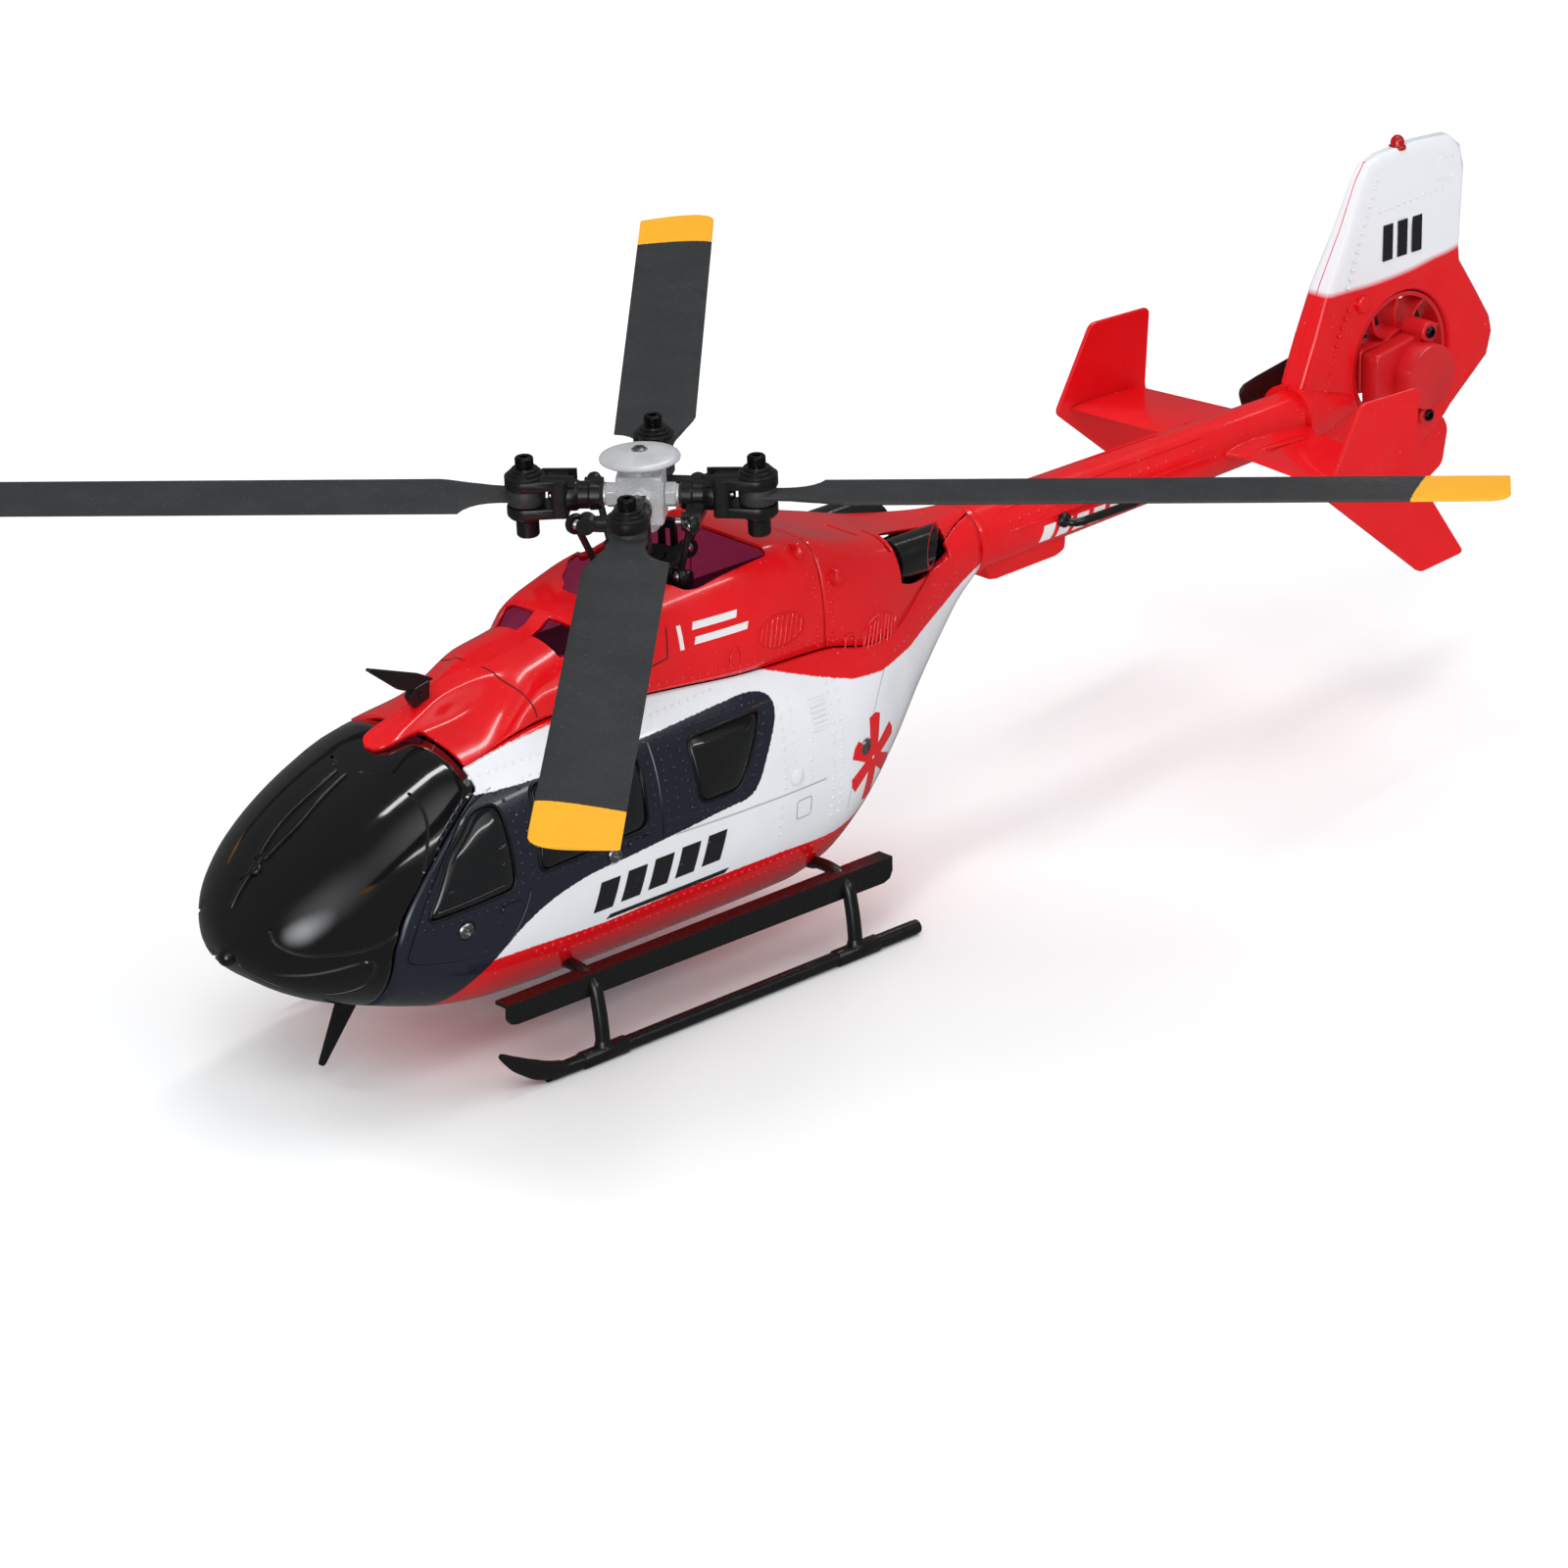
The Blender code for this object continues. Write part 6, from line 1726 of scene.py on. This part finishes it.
def tail_details():
    """Bumper and beacon."""
    y0, z0 = TAIL_AXIS
    bumper = solid(prism(rounded(BUMPER, 1.4, 5), -1.7, 1.7, "X", 0.5),
                   cut=[rod(FIN_KEEL + 0.35, -9.0, 9.0, 96, "X", (0.0, y0, z0))])
    make("bumper_fin", bumper, "red", "gloss_red", replaces="tail_bumper")
    make("beacon_dome", lathe(BEACON, 24, "Z", (0.0, 227.5, 0.0)), "lens", "red_lens", smooth=ROUND_ANGLE,
         replaces="beacon")


def gearbox_housing():
    """Ring in the duct, ten bowed guide vanes and the plate that carries the tail motor."""
    y0, z0 = TAIL_AXIS
    outer = DUCT_RADIUS - 0.3
    shape = Shape(ring_lathe([(outer - 1.0, -3.2), (outer, -3.2), (outer, 2.6), (outer - 1.0, 2.6)], 64, "X",
                             (0.0, y0, z0)))
    rows = []
    for k in range(9):
        r = 6.6 + (outer - 7.0) * k / 8
        bow = 1.5 * math.sin(math.pi * k / 8)
        rows.append([(-3.0, r, bow - 0.4), (2.4, r, bow - 0.4), (2.4, r, bow + 0.4), (-3.0, r, bow + 0.4)])
    vane = loft(rows)
    for i in range(VANES):
        turn = Matrix.Rotation(2 * math.pi * (i + 0.5) / VANES, 4, "X")
        shape.add(vane, 0, Matrix.Translation((0.0, y0, z0)) @ turn)
    carrier = prism(soft_box(TAIL_MOTOR_Y - 5.2, y0, z0 - 5.2, z0 + 5.2, 1.2), -2.4, 3.2, "X", 0.3)
    motor_place, shaft_place = (0.0, TAIL_MOTOR_Y, z0), (0.0, y0, z0)
    shape.add(solid(lathe([(7.4, -2.4), (7.4, 2.8), (7.1, 3.2)], 48, "X", shaft_place), add=[carrier],
                    cut=[rod(3.8, -9.0, 2.2, 32, "X", motor_place), rod(1.2, -9.0, 9.0, 24, "X", motor_place),
                         rod(1.15, -9.0, 9.0, 24, "X", shaft_place)]))
    make("gearbox_housing", shape, "red_plastic", "gloss_red", replaces="tail_gearbox")


def gearbox_cover():
    """Round cover with a flat-faced arm towards the motor and two screw ears."""
    y0, z0 = TAIL_AXIS
    low = z0 - COVER_DROP
    front = TAIL_MOTOR_Y
    body = lathe([(7.6, 3.5), (7.6, 12.6), (7.4, 13.0), (0.4, 13.0)], 48, "X", (0.0, y0, low))
    back = [(front - 5.2, low - 5.2), (y0, low - 5.2), (y0, z0 + 6.8), (front - 5.2, z0 + 4.6)]
    face = [(front + 0.5, low - 4.0), (y0, low - 6.4), (y0, low + 6.4), (front + 0.5, low + 2.4)]
    added = [prism(rounded(back, 1.3, 4), 3.5, 8.2, "X", 0.5),
             prism(rounded(face, 1.0, 4), 8.0, 12.6, "X", 0.3)]
    for lift in EARS:
        web_low, web_high = sorted((z0 + lift, low))
        added.append(block((3.5, y0 - 0.4, web_low), (9.0, y0 + 4.4, web_high)))
    for lift in EARS:
        added.append(lathe([(2.5, 3.5), (2.5, 9.8), (2.2, 10.1)], 24, "X", (0.0, y0 + 2.0, z0 + lift)))
    hollow = [rod(6.0, 2.0, 8.6, 32, "X", (0.0, y0, low)),
              block((2.0, front - 3.6, low - 3.6), (7.2, y0 - 2.0, low + 3.6))]
    make("gearbox_cover", solid(body, add=added, cut=hollow), "red_plastic", "gloss_red",
         replaces="gearbox_cap")
    head = cross_screw(1.4, 0.9)
    screws = Shape()
    for lift in EARS:
        screws.add(head, 0, standing(Vector((10.0, y0 + 2.0, z0 + lift)), Vector((1.0, 0.0, 0.0)), 0.5))
    make("gearbox_screws", screws, "dark_steel", "black_steel")


def tail_rotor():
    """Two twisted blades on a hub, at the angle in which the rotor rests."""
    shape = Shape(lathe([(3.0, -2.0), (3.2, -1.6), (3.2, 1.4), (2.6, 2.0), (1.6, 2.4), (1.1, 2.4)], 32))
    shape.add(lathe([(1.9, 2.3), (1.9, 3.2), (1.6, 3.5), (0.2, 3.6)], 24))
    section = airfoil(8, 0.9, 0.15)
    rings = []
    for radius, width, twist in TAIL_BLADE:
        turn = Matrix.Rotation(math.radians(twist), 4, "X")
        rings.append([tuple(turn @ Vector((radius, (s - 0.4) * width, h * 0.9))) for s, h in section])
    blade = loft(rings)
    for turn in (0.0, math.pi):
        shape.add(blade, 0, Matrix.Rotation(turn, 4, "Z"))
    place = (Matrix.Translation((TAIL_ROTOR_X, *TAIL_AXIS)) @ Matrix.Rotation(TAIL_ROTOR_REST, 4, "X")
             @ Matrix.Rotation(QUARTER, 4, "Y") @ Matrix.Rotation(QUARTER, 4, "Z"))
    make("tail_rotor_blades", shape, "nylon", "black_nylon", body="tail_rotor", smooth=45.0, matrix=place,
         replaces="tail_rotor")


# ---------------------------------------------------------------- landing gear

def cross_tubes():
    """Bowed tubes across the belly, thicker where they meet the skids."""
    for name, y in zip(("front", "rear"), CROSS_Y):
        half = [(x, y, z) for x, z in CROSS_PATH]
        line = smooth_line(side_of(reversed(half), -1) + half, 6)
        shape = Shape(tube(line, [1.2 + 0.35 * min(abs(p.x) / SKID_X, 1.0) ** 4 for p in line], 20))
        for side in (1, -1):
            foot = [(side * 32.7, y, -6.0), (side * 32.9, y, -8.0), (side * 33.0, y, -9.2)]
            shape.add(tube(smooth_line(foot, 4), [1.5] * 4 + [1.6, 1.7, 1.8, 1.9, 2.0], 20))
        make("cross_tube_%s_pipe" % name, shape, "satin", "matt_black", smooth=50.0,
             replaces="cross_tube_" + name)


def skids():
    """Skid tubes with raised, flattened toes and a sleeve at each cross tube."""
    level = GROUND + SKID_RADIUS
    radii = spread([radius for _, _, radius in SKID_PATH], 5)
    for name, side in SIDES:
        x = side * SKID_X
        path = [(x, y, level + rise) for y, rise, _ in SKID_PATH]
        verts, faces = tube(smooth_line(path, 5), radii, 24)
        toe = []
        for vx, vy, vz in verts:
            share = min(max((-56.0 - vy) / 12.0, 0.0), 1.0)
            toe.append((x + (vx - x) * (1.0 - 0.45 * share), vy, vz))
        shape = Shape((toe, faces))
        for y in CROSS_Y:
            sleeve = ((-0.2, -6.0), (0.2, -5.95), (0.3, -5.8), (0.3, 5.8), (0.2, 5.95), (-0.2, 6.0))
            shape.add(ring_lathe([(SKID_RADIUS + r, y + a) for r, a in sleeve], 28, "Y", (x, 0.0, level)))
        make("skid_tube_" + name, shape, "satin", "matt_black", smooth=45.0, replaces="skid_" + name)


def spread(values, per):
    """Values given at a path's corners, at every point of its smoothed line."""
    last = len(values) - 1
    places = np.linspace(0, last, last * per + 1)
    return [float(v) for v in np.interp(places, range(last + 1), values)]


def step_boards():
    """L-section boards whose lower ends are rounded."""
    for name, side in SIDES:
        low, high = sorted((side * STEP_X, side * (STEP_X + 1.0)))
        start, end = STEP_WEB[0][0], STEP_WEB[-1][0]
        flange = rectangle(side * (STEP_X - 3.0), side * (STEP_X + 1.0), start, end)
        board = solid(prism(STEP_WEB, low, high, "X"), add=[prism(flange, 5.6, 6.38)])
        bevel(make("step_plank_" + name, board, "satin", "matt_black", replaces="step_board_" + name), 0.18)
        brackets = Shape()
        inner, outer = sorted((side * 27.6, side * 30.2))
        for y in CROSS_Y:
            brackets.add(block((inner, y - 1.6, 1.2), (outer, y + 1.6, 5.7)))
        bevel(make("step_brackets_" + name, brackets, "satin", "matt_black"), 0.3)


# ---------------------------------------------------------------- rotor head

MAST = Matrix.Rotation(MAST_LEAN, 4, "X")
ROTOR = MAST @ Matrix.Rotation(ROTOR_REST, 4, "Z")
HEAD = ROTOR @ Matrix.Translation((0.0, 0.0, ROTOR_HEIGHT))


def arm_matrix(i):
    """Place of one blade arm, with local X along its spindle."""
    return HEAD @ Matrix.Rotation(i * QUARTER, 4, "Z")


def hub():
    """Milled block with scooped corners, four spindles with their nuts, and the domed disc on top."""
    corners = [(6.3 * a, 6.3 * b, 0.0) for a in (1, -1) for b in (1, -1)]
    core = solid(prism(soft_box(-4.8, 4.8, -4.8, 4.8, 1.0, 3), -5.4, 5.4, "Z", 0.5),
                 add=[lathe([(3.4, 5.0), (3.6, 5.9), (4.4, 6.1)]),
                      lathe([(3.1, -7.6), (3.4, -7.2), (3.4, -5.0)])],
                 cut=[lathe([(2.3, -7.0), (2.3, 4.0), (0.4, 5.4)], 24, "Z", corner) for corner in corners])
    shape = Shape(core)
    nut = prism(hexagon(2.75), 0.0, 2.4, "Z", 0.3)
    for i in range(4):
        out = Matrix.Rotation(i * QUARTER, 4, "Z") @ Matrix.Rotation(QUARTER, 4, "Y")
        shape.add(lathe([(1.3, 3.0), (1.3, 14.6), (1.0, 15.0)], 20), 0, out)
        shape.add(nut, 0, out @ Matrix.Translation((0.0, 0.0, 4.9)))
        shape.add(rod(2.2, 7.2, 7.8, 24), 0, out)
    made = make("hub_block", shape, "aluminium", "aluminium", body="rotor", smooth=30.0, matrix=HEAD,
                replaces="hub")
    bevel(made, 0.15, 2, 40.0)
    make("head_dome", lathe(HEAD_DOME, 64), "brushed_disc", "aluminium", body="rotor", smooth=40.0,
         matrix=HEAD, replaces="head_disc")
    screw = turned(cap_screw(1.45, 1.1, 0.75), Matrix.Translation((0.0, 0.0, 10.4)))
    make("head_screw", screw, "steel", "steel", body="rotor", smooth=30.0, matrix=HEAD)


def fork_outline(root_half, eye):
    """Top view of a clevis arm: square root and a round eye about the bolt."""
    start = 16.2
    slope = math.asin((eye - root_half) / (BOLT_RADIUS - start))
    arc = [math.radians(90.0) + slope - (math.pi + 2 * slope) * k / 20 for k in range(21)]
    ring = [(BOLT_RADIUS + eye * math.cos(a), eye * math.sin(a)) for a in arc]
    return [(start, -root_half), (start, root_half)] + ring


def blade_grip_parts():
    """Barrel, clevis, stepped washers, nut post and pitch arm, with local X radial."""
    centre = (BOLT_RADIUS, 0.0, 0.0)
    barrel = lathe(GRIP_BARREL, 28, "X")
    yoke = prism(soft_box(14.9, 18.4, -3.6, 3.6, 0.9), -4.1, 4.1, "Z", 0.4)
    upper = prism(fork_outline(3.2, 4.3), 2.0, 4.1, "Z", 0.25)
    lower = prism(fork_outline(3.2, 4.1), -4.1, -2.0, "Z", 0.25)
    ribs = [block((13.4, y - 0.45, 2.6), (20.6, y + 0.45, 4.9)) for y in (-2.2, 2.2)]
    washers = lathe(GRIP_WASHERS, 36, "Z", centre)
    post = lathe(GRIP_POST, 28, "Z", centre)
    arm = prism(rounded(PITCH_ARM, 0.7, 3), -3.2, -0.8, "Z", 0.3)
    cheek = rod(1.9, 9.2, 13.0, 20, "X", (0.0, -10.2, -2.0))
    return solid(barrel, add=[yoke, upper, lower] + ribs + [washers, post, arm, cheek],
                 cut=[rod(1.2, -9.4, 9.0, 20, "Z", centre), rod(1.4, 5.0, 15.0, 20, "X")])


def blade_grips():
    """Four grips with their blade bolts, nuts and pins."""
    grip = blade_grip_parts()
    top = Matrix.Translation((0.0, 0.0, HEAD_TOP - ROTOR_HEIGHT))
    bolt = Shape(turned(cap_screw(1.95, 2.1, 0.95), top)).add(prism(hexagon(1.75), -8.9, -7.6, "Z", 0.2))
    pins = Shape(turned(lathe([(0.8, -1.2), (0.8, 0.0), (0.55, 0.2)], 16, "X"),
                        Matrix.Translation((9.2, -10.2, -2.0))))
    pins.add(rod(1.0, -7.2, 6.6, 20), 0, Matrix.Translation((BOLT_RADIUS, 0.0, 0.0)))
    pins.add(lathe([(1.15, 15.6), (1.15, 18.9), (0.8, 19.3)], 20, "X"))
    for i in range(4):
        name = str(i + 1)
        place = arm_matrix(i)
        rides = {"body": "grip_" + name, "smooth": 33.0}
        made = make("grip_" + name, grip, "nylon", "black_nylon", matrix=place, replaces="blade_grip_" + name,
                    **rides)
        bevel(made, 0.12, 2, 40.0)
        made = make("bolt_" + name, bolt, "dark_steel", "black_steel", replaces="blade_bolt_" + name,
                    matrix=place @ Matrix.Translation((BOLT_RADIUS, 0.0, 0.0)), **rides)
        bevel(made, 0.1, 2, 40.0)
        make("grip_pins_" + name, pins, "steel", "steel", matrix=place, **rides)


def main_blades():
    """Cambered blades with a notched root, rounded leading tip corner and sprayed tip."""
    section = airfoil(14, 1.0, 0.06)
    rings = [[(r, -front + (front + back) * s, thick * h * 0.5 * 1.1) for s, h in section]
             for r, front, back, thick in blade_stations()]
    shape = Shape()
    shape.add(loft(rings), 0, Matrix.Rotation(-BLADE_PITCH, 4, "X"))
    shape.add(lathe([(3.7, -1.75), (3.9, -1.5), (3.9, 1.5), (3.7, 1.75)], 32))
    start = YELLOW_START - BOLT_RADIUS
    distance = [v.x - start - YELLOW_SLOPE * v.y for v in shape.verts]
    for i in range(4):
        name = str(i + 1)
        place = (arm_matrix(i) @ Matrix.Translation((BOLT_RADIUS, 0.0, 0.0))
                 @ Matrix.Rotation(math.radians(BLADE_LAG[i]), 4, "Z"))
        made = make("rotor_blade_" + name, shape, "blade", "matt_black", body="blade_" + name, smooth=40.0,
                    matrix=place, replaces="main_blade_" + name)
        set_distance(made, "tip", distance)


def blade_stations():
    """Radius from the bolt, chord ahead of it, chord behind it and thickness, from root to tip."""
    lead, trail = BLADE_LEAD, BLADE_CHORD - BLADE_LEAD
    tip = ROTOR_RADIUS - BOLT_RADIUS
    rows = list(BLADE_ROOT)
    rows += [(13.1, 6.3, trail, 2.6), (17.0, 7.6, trail, 2.4), (19.0, lead, trail, 2.3),
             (30.0, lead, trail, 2.1)]
    rows += [(30.0 + (tip - 38.0) * k / 12, lead, trail, 2.1 - 0.4 * k / 12) for k in range(1, 13)]
    rows += [(tip - back, lead - less, trail, thick) for back, less, thick in BLADE_TIP]
    return rows + [(tip, lead - 4.2, trail - 0.3, 1.2)]


def fixed_swash():
    """Fixed ring of the swashplate with its three ball arms and the rods down to the servos."""
    level = MAST @ Matrix.Translation((0.0, 0.0, SWASH_HEIGHT))
    shape = Shape(solid(lathe(SWASH_FIXED, 40), cut=[rod(1.8, -3.0, 7.0)]))
    rods = Shape()
    arm = prism(rounded([(4.6, -1.0), (8.0, -0.8), (8.0, 0.8), (4.6, 1.0)], 0.4, 3), -1.0, 1.0, "Z", 0.2)
    rod_down = link_part(46.0 - SWASH_HEIGHT, 0.0)
    for angle in SERVO_ANGLES:
        turn = Matrix.Rotation(math.radians(angle - 90.0), 4, "Z")
        shape.add(arm, 0, turn)
        shape.add(lathe(SERVO_BALL, 20, "X"), 0, turn)
        rods.add(rod_down, 0, turn @ Matrix.Translation((8.8, 0.0, 0.0)))
    rides = {"body": "fixed_swash", "smooth": 35.0, "matrix": level}
    make("swash_fixed_ring", shape, "nylon", "black_nylon", replaces="swash_inner", **rides)
    make("servo_rods", rods, "nylon", "black_nylon", **rides)


def turning_swash():
    """Turning ring of the swashplate with its balls and the links up to the grips."""
    spun = MAST @ Matrix.Translation((0.0, 0.0, SWASH_HEIGHT)) @ Matrix.Rotation(ROTOR_REST, 4, "Z")
    outer, balls, links = Shape(ring_lathe(SWASH_TURNING, 40)), Shape(), Shape()
    arm = prism(rounded([(6.6, -1.1), (9.6, -0.9), (9.6, 0.9), (6.6, 1.1)], 0.4, 3), 2.3, 4.3, "Z", 0.25)
    for i in range(4):
        turn = Matrix.Rotation(math.radians(90.0 * i - 45.0), 4, "Z")
        outer.add(arm, 0, turn)
        balls.add(lathe(LINK_BALL, 20, "X", (0.0, 0.0, LINK_LOW[2])), 0, turn)
        high = Matrix.Rotation(i * QUARTER, 4, "Z") @ Vector(LINK_HIGH)
        links.add(link_between(turn @ Vector(LINK_LOW), high))
        balls.add(ball_part(), 0, Matrix.Translation(high))
    rides = {"body": "turning_swash", "matrix": spun}
    make("swash_turning_ring", outer, "nylon", "black_nylon", smooth=35.0, replaces="swash_outer", **rides)
    make("pitch_links", links, "nylon", "black_nylon", smooth=35.0, **rides)
    make("link_balls", balls, "steel", "steel", smooth=ROUND_ANGLE, **rides)


def swash_guide():
    """Slotted post that keeps the fixed ring from turning."""
    post = rounded([(-2.4, 60.0), (2.4, 60.0), (1.9, 80.0), (-1.9, 80.0)], 0.6, 3)
    guide = solid(prism(post, 11.4, 12.8, "Y", 0.2), cut=[block((-0.8, 10.0, 64.0), (0.8, 14.0, 78.0))])
    make("swash_guide", guide, "nylon", "black_nylon", smooth=35.0,
         matrix=MAST @ Matrix.Rotation(math.radians(25.0), 4, "Z"))


def ball_part():
    return lathe([(0.2, -1.5), (1.0, -1.15), (1.45, -0.4), (1.45, 0.4), (1.0, 1.15), (0.2, 1.5)], 20)


def link_part(low, high):
    """Upright rod with an eye at each end."""
    shaft = tube([(0.0, 0.0, low), (0.0, 0.0, high)], 0.75, 12)
    eye = [(2.0, -0.8), (2.2, -0.4), (2.2, 0.4), (2.0, 0.8)]
    eyes = [lathe(eye, 24, "X", (0.0, 0.0, z)) for z in (low, high)]
    return solid(shaft, add=eyes)


def link_between(low, high):
    """The same rod laid between two points."""
    length = (high - low).length
    return turned(link_part(0.0, length), standing(low, high - low))


# ---------------------------------------------------------------- studio

def camera():
    """The viewing angle of the picture: azimuth from the nose towards port, elevation, roll and distance."""
    a, e, roll = CAMERA_AZIMUTH, CAMERA_ELEVATION, CAMERA_ROLL
    back = Vector((math.sin(a) * math.cos(e), -math.cos(a) * math.cos(e), math.sin(e)))
    level = (-back).cross(Vector((0.0, 0.0, 1.0))).normalized()
    upright = level.cross(-back)
    right = math.cos(roll) * level + math.sin(roll) * upright
    up = math.cos(roll) * upright - math.sin(roll) * level
    spot = back * CAMERA_DISTANCE + right * CAMERA_SHIFT[0] + up * CAMERA_SHIFT[1] + Vector(CAMERA_TARGET)
    data = bpy.data.cameras.new("camera")
    data.lens = CAMERA_LENS
    data.sensor_width = 36.0
    data.clip_start = 0.01
    made = put("camera", data)
    made.matrix_world = Matrix.Translation(spot * MM) @ Matrix((right, up, back)).transposed().to_4x4()
    bpy.context.scene.camera = made


def area_light(name, place, size, power, mirrored=True):
    """A soft box, which may be left out of reflections."""
    data = bpy.data.lights.new(name, "AREA")
    data.shape = "RECTANGLE"
    data.size, data.size_y = size
    data.energy = power
    made = put(name, data)
    made.location = place
    direction = Vector(LIGHT_TARGET) - Vector(place)
    made.rotation_euler = direction.to_track_quat("-Z", "Y").to_euler()
    made.visible_glossy = mirrored


def studio():
    """White surroundings, darker in reflections so that black gloss stays black, soft boxes and a floor."""
    world = bpy.data.worlds.new("studio")
    bpy.context.scene.world = world
    world.use_nodes = True
    bpy.context.scene.view_settings.view_transform = "Standard"
    tree = world.node_tree
    background = tree.nodes["Background"]
    background.inputs["Color"].default_value = (0.96, 0.98, 1.0, 1.0)
    rays = node(tree, "ShaderNodeLightPath")
    seen = remap(tree, rays.outputs["Is Camera Ray"], AMBIENT, BACKDROP, 0.0, 1.0)
    mirrored = MIRRORED
    for towards, edge, glow in GLOWS:
        direction = node(tree, "ShaderNodeTexCoord").outputs["Generated"]
        lobe = remap(tree, dot(tree, direction, Vector(towards).normalized()), 0.0, 1.0, edge, 1.0)
        mirrored = maths(tree, "MULTIPLY_ADD", maths(tree, "MULTIPLY", lobe, lobe), glow, mirrored)
    strength = node(tree, "ShaderNodeMix", {0: rays.outputs["Is Glossy Ray"], 2: seen, 3: mirrored},
                    data_type="FLOAT").outputs[0]
    tree.links.new(strength, background.inputs["Strength"])
    area_light("key", (0.7, -0.9, 1.3), (0.8, 0.8), 8.0, False)
    area_light("high_strip", (-0.1, 0.45, 1.5), (0.12, 1.4), 4.5)
    area_light("port_strip", (1.35, 0.35, 0.95), (1.5, 0.08), 2.2)
    area_light("rim", (-1.1, -0.4, 0.9), (0.3, 0.9), 4.0, False)
    floor()


def floor():
    """Pale level floor under the skids, left out of reflections."""
    low = cad_box[0][2] / MM
    reach = FLOOR_REACH
    mesh, _ = mesh_of("floor", prism(rectangle(-reach, reach, -reach, reach), low - 20.0, low))
    made = put("floor", mesh)
    paint, tree, shader = new_material("pale_floor")
    tree.links.new(mix(tree, noise(tree, 40.0), (0.95, 0.95, 0.95, 1.0), (0.97, 0.97, 0.97, 1.0)),
                   shader.inputs["Base Color"])
    shader.inputs["Roughness"].default_value = 0.7
    mesh.materials.append(paint)
    made.visible_glossy = False


# ---------------------------------------------------------------- CAD nodes kept

def carry_over():
    """Give every CAD node that stays visible its material and softened edges."""
    slots = {row["node"]: row["material_slot"] for row in frame["record"]["subparts"]}
    for name, item in frame["nodes"].items():
        if item.hide_render:
            continue
        chosen = MAT[CARRIED[slots[name]]]
        for slot in item.material_slots:
            slot.material = chosen
        weld = item.modifiers.new("weld", "WELD")
        weld.merge_threshold = 0.00001
        bevel(item, 0.15, 1, 30.0)


def build():
    make_materials()
    for step in (nose_canopy, body_shell, engine_cowl, rear_cowl, body_fittings, windows, cowl_fittings,
                 livery_marks, exhaust, wire_cutters, tail_boom, boom_handle, stabiliser, fins, tail_details,
                 gearbox_housing, gearbox_cover, tail_rotor, cross_tubes, skids, step_boards, hub,
                 blade_grips, main_blades, fixed_swash, turning_swash, swash_guide, carry_over, studio,
                 camera):
        step()


build()
